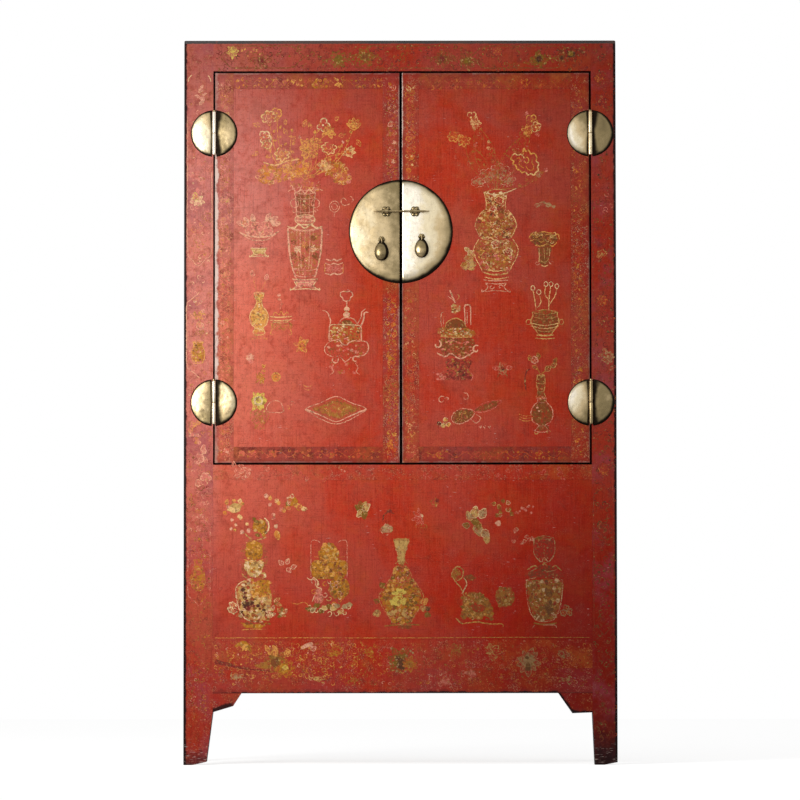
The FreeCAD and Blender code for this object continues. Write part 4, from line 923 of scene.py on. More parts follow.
def curved(points, closed, spacing):
    # a smooth line through the points
    count = len(points)
    made = []
    for i in range(count if closed else count - 1):
        p0 = points[i - 1] if i or closed else points[0]
        p1, p2 = points[i], points[(i + 1) % count]
        p3 = points[(i + 2) % count] if i + 2 < count or closed else points[-1]
        steps = max(1, round(math.dist(p1, p2) / spacing))
        for k in range(steps):
            t = k / steps
            made.append(tuple(
                0.5 * (2 * b + (c - a) * t + (2 * a - 5 * b + 4 * c - d) * t * t
                       + (3 * b - a - 3 * c + d) * t ** 3)
                for a, b, c, d in zip(p0, p1, p2, p3)))
    if not closed:
        made.append(tuple(points[-1]))
    return made


def haloOf(colour):
    # the outer side of a stroke is thinner and darker
    return (colour[0] * 0.82, colour[1] * 0.62, colour[2] * 0.45, colour[3] - 0.16)


class Painting:
    # the lines and washes of one painted area
    def __init__(self, seed, fields):
        self.fields = fields    # x from, x to, z from, z to in mm; nothing is painted outside these
        self.verts = []
        self.faces = []
        self.paint = []
        self.chance = random.Random(seed)

    def inside(self, line):
        return any(all(x0 < x < x1 and z0 < z < z1 for x, z in line) for x0, x1, z0, z1 in self.fields)

    def ribbon(self, line, widths, colour, closed, base, lift):
        if not self.inside(line):
            return
        start, count = len(self.verts), len(line)
        halo = haloOf(colour)
        for i, (x, z) in enumerate(line):
            before = line[i - 1] if i or closed else line[0]
            after = line[(i + 1) % count] if i < count - 1 or closed else line[-1]
            dx, dz = after[0] - before[0], after[1] - before[1]
            size = math.hypot(dx, dz) or 1
            for share, up in ((-1, -drawing["sink"]), (-0.35, lift), (0.35, lift), (1, -drawing["sink"])):
                w = widths[i] / 2 * share
                self.verts.append(((x - dz / size * w) * mm, (base - up) * mm, (z + dx / size * w) * mm))
                self.paint.append(colour if abs(share) < 1 else halo)
        for i in range(count if closed else count - 1):
            a, b = start + 4 * i, start + 4 * ((i + 1) % count)
            for j in range(4):
                k = (j + 1) % 4
                self.faces.append((a + j, b + j, b + k, a + k))
        if not closed:
            self.faces.append((start, start + 1, start + 2, start + 3))
            end = start + 4 * (count - 1)
            self.faces.append((end + 3, end + 2, end + 1, end))

    def patch(self, outline, colour, base, lift):
        if not self.inside(outline):
            return
        start, count = len(self.verts), len(outline)
        middleX = sum(p[0] for p in outline) / count
        middleZ = sum(p[1] for p in outline) / count
        for size, up, own in ((0.74, lift, colour), (1.0, -drawing["sink"], haloOf(colour))):
            for x, z in outline:
                self.verts.append(((middleX + (x - middleX) * size) * mm, (base - up) * mm,
                                   (middleZ + (z - middleZ) * size) * mm))
                self.paint.append(own)
        self.faces.append(tuple(range(start, start + count)))
        self.faces.append(tuple(range(start + 2 * count - 1, start + count - 1, -1)))
        for i in range(count):
            k = (i + 1) % count
            self.faces.append((start + k, start + i, start + count + i, start + count + k))

    def build(self, name, body, material):
        piece = makePiece(name, self.verts, self.faces, body, material, smooth=False)
        mesh = piece.data
        mesh.attributes.new("paint", "FLOAT_COLOR", "POINT").data.foreach_set(
            "color", [c for colour in self.paint for c in colour])
        places = np.array(self.verts)[:, (0, 2)]
        low = places.min(0)
        size = (places.max(0) - low).max()
        flat = ((places - low) / size * 0.98 + 0.01).astype(np.float32)
        corners = np.zeros(len(mesh.loops), np.int32)
        mesh.loops.foreach_get("vertex_index", corners)
        mesh.uv_layers.new(name="OFBake").data.foreach_set("uv", flat[corners].ravel())
        print(name, len(mesh.polygons), "faces")
        return piece


class Brush:
    # draws round a spot of the front, in the units of the drawings
    def __init__(self, painting, at, scale=1.0, turn=0.0, flip=1, tone="gold", cover=0.62, depth=0.0):
        self.painting, self.chance = painting, painting.chance
        x, z = onFront(*at)
        self.x, self.z = x / mm, z / mm
        self.size = drawing["unit"] * scale
        self.turn, self.flip = math.radians(turn), flip
        self.tone, self.cover = tone, cover
        self.base = frontFace / mm + depth
        self.lift, self.layers, self.strokes = drawing["lift"], 300, 0

    def nextLift(self):
        self.strokes += 1
        return self.lift + drawing["step"] * (self.strokes % self.layers)

    def place(self, spot):
        u, v = spot[0] * self.flip, spot[1]
        c, s = math.cos(self.turn), math.sin(self.turn)
        return self.x + (u * c - v * s) * self.size, self.z + (u * s + v * c) * self.size

    def shaken(self, path, by):
        return [(x + self.between(-by, by), z + self.between(-by, by)) for x, z in path]

    def line(self, points, tone=None, cover=None, width=1.0, closed=False, taper=0.45):
        path = self.shaken(curved([self.place(p) for p in points], closed, drawing["spacing"]),
                           drawing["shake"])
        last = max(len(path) - 1, 1)
        wide = drawing["line"] * width * self.between(0.85, 1.15)
        widths = []
        for i in range(len(path)):
            swell = 1 if closed else taper + (1 - taper) * math.sqrt(max(math.sin(math.pi * i / last), 0))
            widths.append(wide * swell * self.between(0.85, 1.15))
        share = self.cover if cover is None else cover
        self.painting.ribbon(path, widths, (*tones[tone or self.tone], share), closed, self.base,
                             self.nextLift())

    def wash(self, points, tone=None, cover=None):
        path = curved([self.place(p) for p in points], True, drawing["spacing"] * 2)
        shake = min(drawing["shake"] * 2.4, 0.06 * math.dist(path[0], path[len(path) // 2]))
        path = self.shaken(path, shake)
        share = self.cover * 0.7 if cover is None else cover
        self.painting.patch(path, (*tones[tone or self.tone], share), self.base, self.nextLift())

    def between(self, low, high):
        return self.chance.uniform(low, high)

    def near(self, value, share=0.2):
        return value * self.between(1 - share, 1 + share)

    def pick(self, words):
        # one of the words, and no draw where there is only one
        options = words.split()
        return self.chance.choice(options) if len(options) > 1 else words

    def side(self):
        return self.chance.choice((-1, 1))

    def spot(self, across, upwards):
        return self.between(*across), self.between(*upwards)


def roundOf(u, v, r, squash=1.0, count=10):
    return [(u + r * math.cos(2 * math.pi * k / count), v + r * squash * math.sin(2 * math.pi * k / count))
            for k in range(count)]


def lobed(u, v, r, lobes, depth=0.25, squash=1.0, turn=0.0):
    steps = lobes * 4
    return [(u + r * (1 - depth + depth * abs(math.sin(lobes * a / 2))) * math.cos(a + turn),
             v + r * squash * (1 - depth + depth * abs(math.sin(lobes * a / 2))) * math.sin(a + turn))
            for a in (2 * math.pi * k / steps for k in range(steps))]


def ragged(b, u, v, r, squash=1.0, depth=0.3, count=14):
    return [(u + r * b.between(1 - depth, 1) * math.cos(2 * math.pi * k / count),
             v + r * squash * b.between(1 - depth, 1) * math.sin(2 * math.pi * k / count))
            for k in range(count)]


def scroll(b, u, v, r, turn=0.0, spin=1, tone=None, cover=None, width=0.9, turns=0.8):
    points = []
    for k in range(9):
        t = k / 8
        angle = turn + spin * turns * 2 * math.pi * t
        points.append((u + r * (1 - 0.72 * t) * math.cos(angle), v + r * (1 - 0.72 * t) * math.sin(angle)))
    b.line(points, tone, cover, width)


def leaf(b, u, v, length, angle, wide=0.30, tone=None, cover=None, fill=None):
    c, s = math.cos(math.radians(angle)), math.sin(math.radians(angle))

    def spot(along, across):
        return (u + length * (along * c - across * s), v + length * (along * s + across * c))
    edge = [spot(0, 0), spot(0.3, wide), spot(0.66, wide * 0.8), spot(1, 0), spot(0.66, -wide * 0.7),
            spot(0.3, -wide)]
    own = b.cover if cover is None else cover
    b.wash(edge, fill or tone, own if fill else own * 0.55)
    b.line(edge, tone, cover, 0.75, closed=True)
    b.line([spot(0.05, 0), spot(0.5, wide * 0.12), spot(0.92, 0)], tone, cover, 0.6)


def plum(b, u, v, r, tone=None, cover=None, fill=None, petals=5):
    turn = b.between(0, 6)
    b.wash(ragged(b, u, v, r * 0.95, 0.9, 0.3, 10), fill or "orange", 0.30)
    for k in range(petals):
        a = turn + 2 * math.pi * k / petals + b.between(-0.2, 0.2)
        reach = r * b.between(0.48, 0.66)
        spot = (u + reach * math.cos(a), v + reach * math.sin(a))
        size = r * b.between(0.34, 0.52)
        if fill:
            b.wash(ragged(b, *spot, size, count=8), fill, cover)
        if b.chance.random() < 0.85:
            # the outer edge of the petal, open towards the heart
            b.line([(spot[0] + size * math.cos(a + t), spot[1] + size * math.sin(a + t)) for t in
                    (-2.2, -1.4, -0.6, 0.1, 0.8, 1.5, 2.2)], tone, cover, 1.2)
    b.wash(ragged(b, u, v, r * 0.26, count=7), fill or tone, 0.9)


def peony(b, u, v, r, tone=None, cover=None, fill=None, lobes=7):
    turn = b.between(0, 6)
    b.wash(lobed(u, v, r, lobes, 0.2, turn=turn), fill or "orange", 0.34)
    edge = [(u + (p - u) * b.between(0.86, 1.12), v + (q - v) * b.between(0.78, 1.02))
            for p, q in lobed(u, v, r, lobes, 0.30, turn=turn)]
    gap = b.chance.randrange(len(edge))
    edge = edge[gap:] + edge[:gap]
    b.line(edge[:-3], tone, cover, 1.45)
    inner = lobed(u + r * 0.08, v - r * 0.05, r * 0.60, lobes - 2, 0.30, turn=turn + 1)
    b.line(inner[: len(inner) * 2 // 3], tone, cover, 0.9)
    b.line([(u - r * 0.35, v + r * 0.1), (u - r * 0.1, v - r * 0.2), (u + r * 0.3, v + r * 0.05),
            (u + r * 0.1, v + r * 0.3)], tone, cover, 0.8)


def lotus(b, u, v, r, tone=None, cover=None, fill=None):
    for angle, size in ((90, 1.0), (58, 0.95), (122, 0.95), (28, 0.85), (152, 0.85), (76, 0.6), (104, 0.6)):
        leaf(b, u, v, r * size, angle, 0.26, tone, cover, fill if size > 0.9 else None)
    b.line([(u - r * 0.5, v), (u, v - r * 0.28), (u + r * 0.5, v)], tone, cover)


def daisy(b, u, v, r, tone=None, cover=None, fill=None, petals=11):
    b.wash(ragged(b, u, v, r * 0.75, 0.85, 0.35), fill or "orange", 0.36)
    for k in range(petals):
        a = 2 * math.pi * (k + b.between(-0.3, 0.3)) / petals
        reach = b.near(r, 0.3)
        if r > 5:
            leaf(b, u + r * 0.2 * math.cos(a), v + r * 0.2 * math.sin(a), reach * 0.85, math.degrees(a),
                 0.26, tone, cover)
        else:
            b.line([(u + r * 0.2 * math.cos(a), v + r * 0.2 * math.sin(a)),
                    (u + reach * 0.7 * math.cos(a + 0.2), v + reach * 0.7 * math.sin(a + 0.2)),
                    (u + reach * math.cos(a), v + reach * math.sin(a))], tone, cover, 1.3)
    b.wash(ragged(b, u, v, r * 0.26, count=7), tone, cover)


def specks(b, count, across, upwards, r, tonesOf, cover, squash=1.0, depth=0.3, points=14, spread=0):
    for k in range(count):
        path = ragged(b, *b.spot(across, upwards), b.near(r, spread) if spread else r, squash, depth,
                      points)
        b.wash(path, b.pick(tonesOf), cover)


def leaves(b, count, across, upwards, length, wide, tonesOf, cover, angles=(0, 360), fills=None, spread=0):
    for k in range(count):
        leaf(b, *b.spot(across, upwards), b.near(length, spread) if spread else length, b.between(*angles),
             wide, b.pick(tonesOf), cover, b.pick(fills) if fills else None)


def scrolls(b, count, across, upwards, r, tonesOf, cover, turned=False, bothWays=False, spread=0):
    for k in range(count):
        scroll(b, *b.spot(across, upwards), b.near(r, spread) if spread else r,
               b.between(0, 6) if turned else k, b.side() if bothWays else 1, b.pick(tonesOf), cover)


def bud(b, u, v, r, tone=None, cover=None):
    b.wash(ragged(b, u, v, r * 1.15, 1.1, 0.4, 8), tone, cover)


flowers = {"plum": plum, "peony": peony, "lotus": lotus, "daisy": daisy}


def stem(b, start, end, bend=0.15, leaves=3, tone=None, cover=None, leafSize=3.2, fill=None):
    du, dv = end[0] - start[0], end[1] - start[1]
    side = b.side() * bend
    middle = (start[0] + du * 0.5 - dv * side, start[1] + dv * 0.5 + du * side)
    b.line([start, middle, end], tone, cover, 0.7)
    heading = math.degrees(math.atan2(dv, du))
    for k in range(leaves):
        t = (k + 0.8) / (leaves + 0.6)
        spot = (start[0] + du * t - dv * side * 4 * t * (1 - t) * 0.5,
                start[1] + dv * t + du * side * 4 * t * (1 - t) * 0.5)
        way = heading + (55 if k % 2 else -55) + b.between(-15, 15)
        leaf(b, *spot, b.near(leafSize), way, 0.28, tone, cover, fill)


def spray(b, base, ends, cover=None, leafTone=None, fill=None):
    # ends: u, v, kind of flower, its radius, its tone
    for u, v, kind, r, own in ends:
        stem(b, base, (u, v), leaves=max(1, round(math.dist(base, (u, v)) / 9)), tone=leafTone, cover=cover)
        if kind == "bud":
            bud(b, u, v, r, own, cover)
        else:
            flowers[kind](b, u, v, r, own, b.cover if cover is None else min(cover * 1.25, 0.95), fill)


def widthAt(profile, height):
    for (w0, h0), (w1, h1) in zip(profile, profile[1:]):
        if h0 <= height <= h1:
            return w0 + (w1 - w0) * (height - h0) / max(h1 - h0, 1e-6)
    return profile[-1][0]


def vessel(b, u, v, profile, tone=None, cover=None, fill=None, fillCover=None, bands=(), flutes=0, marks=0,
           markTones="", sag=0.18, rim=True):
    # the profile is (half width, height) from the foot to the lip
    right = [(u + w, v + h) for w, h in profile]
    left = [(u - w, v + h) for w, h in profile]
    if fill:
        b.wash(silhouette(profile, u, v), fill, fillCover)
    b.line(right, tone, cover, 1.0, taper=0.8)
    b.line(left, tone, cover, 1.0, taper=0.8)
    foot, lip = profile[0], profile[-1]
    heights = [foot[1], *bands, *([lip[1]] if rim else [])]
    for height in heights:
        w = widthAt(profile, height)
        b.line([(u - w, v + height), (u - w * 0.5, v + height - w * sag * 0.8), (u, v + height - w * sag),
                (u + w * 0.5, v + height - w * sag * 0.8), (u + w, v + height)], tone, cover, 0.85,
                taper=0.8)
    if rim and lip[0] > 2:
        b.line([(u - lip[0], v + lip[1]), (u, v + lip[1] + lip[0] * sag), (u + lip[0], v + lip[1])], tone,
               cover, 0.7)
    for k in range(flutes):
        share = (k + 1) / (flutes + 1) * 2 - 1
        inner = [(u + w * share, v + h) for w, h in profile if h >= profile[0][1]]
        b.line(inner, tone, cover, 0.7, taper=0.8)
    for k in range(marks):
        height = foot[1] + (lip[1] - foot[1]) * b.between(0.06, 0.94)
        w = widthAt(profile, height) * 0.82
        spot = (u + b.between(-w, w), v + height)
        own = b.pick(markTones)
        if b.chance.random() < 0.55:
            scroll(b, *spot, b.near(1.7, 0.35), b.between(0, 6), b.side(), own, cover, 0.8)
        else:
            b.wash(ragged(b, *spot, b.near(1.5, 0.4), 0.8, count=7), own, cover)


def stand(b, u, v, w, h, tone=None, cover=None, fill=None):
    # a low carved stand: two boards, curled feet and a scroll between them
    if fill:
        b.wash([(u - w, v), (u - w * 0.7, v + h * 0.5), (u - w * 0.9, v + h), (u + w * 0.9, v + h),
                (u + w * 0.7, v + h * 0.5), (u + w, v), (u, v + h * 0.35)], fill, cover)
    for height, wide in ((h, 0.95), (h * 0.74, 0.8)):
        b.line([(u - w * wide, v + height), (u, v + height - h * 0.06), (u + w * wide, v + height)], tone,
               cover, 1.0, taper=0.8)
    for side in (-1, 1):
        b.line([(u + side * w * 0.78, v + h * 0.72), (u + side * w * 0.62, v + h * 0.4),
                (u + side * w * 0.88, v + h * 0.1), (u + side * w * 1.1, v),
                (u + side * w * 1.05, v + h * 0.22)], tone, cover, 1.1, taper=0.7)
        scroll(b, u + side * w * 0.35, v + h * 0.42, h * 0.22, 0, side, tone, cover)
    b.line([(u - w * 0.85, v + h * 0.02), (u, v + h * 0.12), (u + w * 0.85, v + h * 0.02)], tone, cover,
           0.8)


def leftCenser(b):
    # a lidded incense burner with flared handles and curled legs
    b.wash([(-17, 32), (-17, 50), (14.5, 50), (14.5, 32)], "bronze", 0.45)
    b.wash([(-17, 32), (-21.5, 28), (-20.5, 21), (-12, 18), (11, 18), (20, 21.5), (21.5, 30), (14.5, 33)],
           "brown", 0.34)
    b.wash([(-8.5, 49), (-5, 54), (-0.5, 56), (5, 54), (8, 49)], "brown", 0.75)
    for k in range(90):
        u, v = b.between(-16, 13.5), b.between(33, 49)
        own = "cream straw straw grey" if v > 43 else "straw brown bronze rosy blush"
        b.wash(ragged(b, u, v, b.near(1.7, 0.4), 0.7, 0.4, 7), b.pick(own), 0.72)
    specks(b, 26, (-18, 18), (20, 31), 2.2, "rosy bronze blush", 0.45, 0.7, spread=0.4)
    b.line([(-9, 50), (-3.5, 56.6), (6, 56.6), (12, 50)], "blush", 0.8, 1.0)
    b.line([(-17, 50), (-6, 50.6), (14.5, 49.6)], "cream", 0.8, 1.2)
    b.line([(-17, 49), (-17.4, 34)], "blush", 0.85, 1.3)
    b.line([(14.5, 49), (14.8, 34)], "blush", 0.75, 1.2)
    b.line([(-16.5, 34), (-8, 35), (-4, 31), (0, 30), (5, 34), (14, 34)], "blush", 0.8, 1.4)
    b.line([(-17, 33), (-21.5, 28.5), (-20.6, 21.5), (-13, 18.4), (-6, 20)], "blush", 0.6, 1.0)
    b.line([(15, 34), (20.5, 32.5), (22, 27), (19, 21), (11, 18.4)], "blush", 0.75, 1.2)
    b.line([(-17, 48), (-16, 55), (-19.5, 63), (-24, 64.4)], "blush", 0.7, 1.2)
    b.line([(13.5, 48), (17, 55), (18, 62), (22, 63)], "blush", 0.8, 1.4)
    b.line([(11, 51), (14.5, 58), (15.4, 63), (19, 66)], "blush", 0.7, 1.0)
    for v, r in ((66, 2.6), (60.4, 3.0)):
        b.wash(roundOf(0.2, v, r, 0.8), "blush", 0.85)
        b.line(roundOf(0.2, v, r, 0.8), "cream", 0.7, 0.7, closed=True)
    b.line(lobed(0, 79.4, 6.6, 3, 0.28, 0.85, 1.57), "blush", 0.9, 1.1, closed=True)
    b.line([(0, 74), (0.4, 70), (0, 68)], "blush", 0.8, 1.2)
    for side, u in ((-1, -12), (1, 9)):
        scroll(b, u, 15.4, 4.2, 0.4, side, "blush", 0.9, 1.5)
        b.line([(u, 12), (u + side * 2.4, 7), (u + side * 0.8, 3), (u + side * 4, 0.6)], "blush", 0.6, 1.0)
    specks(b, 22, (-16, 14), (2, 17), 2.4, "bronze brown rosy", 0.4, 0.8, spread=0.4)
    b.line([(-6, 18), (-1, 13.6), (5, 18)], "blush", 0.7, 1.1)


def rightCenser(b):
    # its fellow, with tall upright handles and a dark stand
    b.wash([(-16, 30), (-17, 46), (16, 46), (17, 34), (8, 26), (-8, 28)], "brown", 0.62)
    b.wash([(-11.6, 56), (-9, 62), (-1, 65.3), (6, 62), (9.4, 56)], "brown", 0.80)
    b.wash([(-17.4, 57), (16.3, 55), (16, 47), (-17, 49)], "bronze", 0.62)
    b.wash([(-12, 25), (15, 25), (12, 12), (15, 4), (-13, 4), (-9, 13)], "wine", 0.55)
    specks(b, 80, (-16.5, 15.6), (48, 56), 1.6, "straw grey cream olive", 0.66, 0.7, 0.4, 7, spread=0.4)
    specks(b, 46, (-15, 15), (27, 46), 1.9, "brown straw wine rosy", 0.55, 0.7, 0.4, 7, spread=0.4)
    specks(b, 40, (-12, 14), (4, 24), 1.9, "dark brown wine bronze", 0.55, 0.7, 0.4, 7, spread=0.4)
    b.line([(-11.6, 57), (-9.6, 62), (-1, 66), (6.4, 62), (9.4, 57)], "straw", 0.72, 1.1)
    b.line([(-17, 47.6), (0, 46.6), (16.4, 47)], "straw", 0.66, 1.1)
    b.line([(-15.6, 58), (-15.6, 70), (-12.8, 72)], "blush", 0.62, 0.9)
    b.line([(-13.4, 58), (-13.4, 68)], "blush", 0.45, 0.7)
    b.line([(8.4, 59), (7.8, 77), (10.4, 79), (13.4, 77.4), (14, 59)], "blush", 0.80, 1.2)
    b.line([(10.2, 60), (10.2, 74)], "blush", 0.55, 0.8)
    b.wash(roundOf(-1.1, 75.6, 5.0, 1.0), "straw", 0.55)
    specks(b, 12, (-5, 3), (72, 79.4), 1.5, "cream brown straw", 0.75, 0.9)
    b.line([(-7, 94), (-5.4, 90), (-3.6, 86), (-1.6, 81)], "blush", 0.75, 1.6)
    b.line([(-9, 88), (-5, 85), (-2, 82)], "blush", 0.5, 1.0)
    b.line([(-1, 82), (2, 87), (1, 90)], "straw", 0.5, 0.9)
    for side in (-1, 1):
        scroll(b, side * 19.6, 37 - side * 2.4, 4.4, 1.2, side, "blush", 0.85, 1.5)
    b.line([(-20, 31), (-12, 27.5), (-6, 30.5), (2, 25.6), (10, 28), (17, 32.5)], "blush", 0.80, 1.5)
    b.line([(-12, 41), (-4, 43.6), (3, 40.6), (10, 42.4)], "rosy", 0.60, 1.0)
    specks(b, 9, (-19, -12), (4, 12), 2.2, "rosy", 0.55, 0.8)
    b.line([(-13, 13), (-17, 9), (-14, 4)], "blush", 0.5, 0.9)
    b.line([(13, 12), (16, 8), (14, 3)], "rosy", 0.5, 0.9)


def cloud(b, u, v, w, tone=None, cover=None, fill=None):
    for du, dv, r in ((-0.55, 0, 0.36), (-0.1, 0.16, 0.40), (0.38, 0.02, 0.36), (0.78, -0.12, 0.22)):
        if fill:
            b.wash(ragged(b, u + du * w, v + dv * w, r * w, 0.72, 0.3, 9), fill, cover)
        scroll(b, u + du * w, v + dv * w, r * w * 0.7, b.between(0, 6), 1, tone, cover)


def pot(b, u, v, w, h, tone=None, cover=None, fill=None, ring=True):
    profile = [(w * 0.5, 0), (w * 0.56, h * 0.10), (w * 0.86, h * 0.34), (w, h * 0.62),
               (w * 0.86, h * 0.84), (w * 0.92, h)]
    vessel(b, u, v, profile, tone, cover, fill, cover, bands=(h * 0.20, h * 0.80))
    if ring:
        for side in (-1, 1):
            b.line(roundOf(u + side * w * 1.18, v + h * 0.55, w * 0.16, 1.2, 7), tone, cover, 0.75,
                   closed=True)


def lozenge(b, u, v, w, h, tone=None, cover=None, fill=None, shift=2.4):
    outline = [(u - w, v), (u - w * 0.5, v + h * 0.5), (u, v + h), (u + w * 0.5, v + h * 0.5), (u + w, v),
               (u + w * 0.5, v - h * 0.5), (u, v - h), (u - w * 0.5, v - h * 0.5)]
    if fill:
        b.wash([(u + (p - u) * 0.82, v + (q - v) * 0.82) for p, q in outline], fill, cover)
    b.line(outline, tone, cover, 0.9, closed=True)
    b.line([(u - w, v), (u - w * 0.95, v - shift), (u, v - h - shift), (u + w * 0.95, v - shift),
            (u + w, v)], tone, cover, 0.8)


def silhouette(profile, u=0, v=0):
    return [(u + w, v + h) for w, h in profile] + [(u - w, v + h) for w, h in profile[::-1]]


def mottled(b, u, v, profile, tonesOf, count, cover=0.7, size=1.7, under=None):
    # a silhouette filled with flakes of several tones
    if under:
        b.wash(silhouette(profile, u, v), *under)
    top = profile[-1][1]
    for k in range(count):
        height = profile[0][1] + (top - profile[0][1]) * b.chance.random()
        w = widthAt(profile, height)
        spot = (u + b.between(-w, w) * 0.9, v + height)
        b.wash(ragged(b, *spot, b.near(size, 0.5), b.between(0.6, 1.1), 0.45, 7), b.pick(tonesOf),
               b.near(cover, 0.25))


def runningScroll(b, length, width, tonesOf, cover=0.5, step=4.2, upright=True, vine=True, flowerShare=0.2):
    # a band of scrolls and small flowers to both sides of a waving vine, upwards from the brush's spot
    def turned(along, across):
        return (across, along) if upright else (along, across)
    count = max(2, round(length / step))
    if vine:
        points = [turned(length * k / count, width * 0.28 * math.sin(k * 1.5)) for k in range(count + 1)]
        b.line(points, tonesOf.split()[0], cover * 0.8, 0.7)
    for k in range(count):
        along = length * (k + 0.5) / count + b.between(-1, 1)
        across = width * 0.30 * (1 if k % 2 else -1) + b.between(-0.6, 0.6)
        own = b.pick(tonesOf)
        fresh = max(0.2, b.near(cover, 0.45))
        if b.chance.random() < flowerShare:
            flowers[b.pick("plum daisy")](b, *turned(along, across * 0.5), b.near(2.6), own, fresh)
        else:
            scroll(b, *turned(along, across), b.near(width * 0.17, 0.3), b.between(0, 6),
                   b.side(), own, fresh, 0.85)
        if b.chance.random() < 0.6:
            leaf(b, *turned(along, -across * 0.8), b.near(2.5), b.between(0, 360), 0.35, own, fresh)


def scrollField(b, width, height, count, tonesOf, cover=0.45, size=1.7):
    b.lift, b.layers = drawing["fieldLift"], 40
    for k in range(count):
        spot = (b.between(-width, width) / 2, b.between(-height, height) / 2)
        own = b.pick(tonesOf)
        fresh = b.near(cover, 0.4)
        if b.chance.random() < 0.7:
            scroll(b, *spot, b.near(size, 0.4), b.between(0, 6), b.side(), own, fresh, 0.8)
        else:
            b.wash(ragged(b, *spot, b.near(size * 0.5, 0.5), count=6), own, fresh)


def bloom(b, u, v, r, core, edge, cover=0.8):
    # a full flower gone blotchy, petals round a dark or worn heart
    b.wash(ragged(b, u, v, r * 0.9, 0.9, 0.35), core, cover)
    for k in range(9):
        a = 2 * math.pi * k / 9 + b.between(-0.2, 0.2)
        leaf(b, u + r * 0.35 * math.cos(a), v + r * 0.35 * math.sin(a), b.near(r * 0.75), math.degrees(a),
             0.3, edge, cover * 0.9)
    for k in range(5):
        a = b.between(0, 6.3)
        bud(b, u + r * 0.5 * math.cos(a), v + r * 0.5 * math.sin(a), r * 0.2, edge, cover)


def cartouche(b, w, h, point, tone=None, cover=None, width=0.8):
    # an upright field with ogee ends
    for side in (-1, 1):
        b.line([(0, h / 2), (side * w * 0.18, h / 2 - point * 0.32),
                (side * w * 0.40, h / 2 - point * 0.62), (side * w / 2, h / 2 - point), (side * w / 2, 0),
                (side * w / 2, -h / 2 + point), (side * w * 0.40, -h / 2 + point * 0.62),
                (side * w * 0.18, -h / 2 + point * 0.32), (0, -h / 2)], tone, cover, width, taper=0.9)


paintStainsAndShade = {"shade": (0.115, 0.050, 0.014), "glint": (0.80, 0.52, 0.17)}


def paintMaterial():
    material = newMaterial("painting")
    where, place = objectPlace()
    ground = groundOf(where)[0]
    paint = node("Attribute", attribute_name="paint")
    flakes = mottle(where, 210, 4, 0.7, shift=4.1)
    patches = mottle(where, 38, 3, 0.6, shift=8.3)
    worn = mottle(where, 620, 3, 0.7, shift=2.6)
    wear = plus(fade(flakes, 0.28, 0.72, 0.02, 0.58), times(patches, 0.42))
    wear = plus(wear, fade(worn, 0.3, 0.7, -0.20, 0.20))
    left = minus(paint.outputs["Alpha"], wear)
    share = fade(left, -0.26, 0.20, 0, 0.96)
    stains = mottle(where, 120, 4, 0.7, shift=6.6)
    glints = mottle(where, 150, 4, 0.7, shift=1.7)
    tint = mixed(fade(stains, 0.50, 0.64, 0, 0.72), paint.outputs["Color"], paintStainsAndShade["shade"])
    tint = mixed(fade(glints, 0.54, 0.70, 0, 0.62), tint, paintStainsAndShade["glint"])
    tint = mixed(fade(flakes, 0.50, 0.70, 0, 0.55), tint, stainTones["umber"])
    tint = mixed(fade(worn, 0.54, 0.72, 0, 0.45), tint, stainTones["umber"])
    # painted shade: the painting darkens low down and towards the right
    low = times(fade(place[2], 0.80, 0.40), fade(place[0], -0.30, 0.42, 0.05, 0.62))
    tint = mixed(low, tint, paintStainsAndShade["shade"])
    colour = mixed(share, ground, tint)
    rough = fade(flakes, 0.3, 0.7, 0.40, 0.6)
    return finishMaterial(material, colour, rough, bump=flakes, bumpHeight=0.0003, bumpStrength=0.4,
                          specular=0.1)


# places on the front, in pixels of the 800 by 800 picture
leftDoorSpots = {"vase": (305, 290), "bouquet": (305, 186), "fruitBowl": (259, 257), "coil": (340, 204),
                 "box": (334, 276), "smallVase": (259, 334), "casket": (281, 334), "sprig": (302, 345),
                 "blot": (250, 357), "censer": (346.5, 375), "twig": (262, 378), "ring": (276, 377),
                 "yellowFlower": (258.6, 400.7), "fadedVase": (259.5, 428), "fan": (275, 408),
                 "cup": (308, 389), "tray": (336, 409), "hingeBand": (224.5, 459),
                 "lockBandLow": (392, 458), "lockBandHigh": (392, 181), "topBand": (236, 83),
                 "bottomBand": (236, 454),}


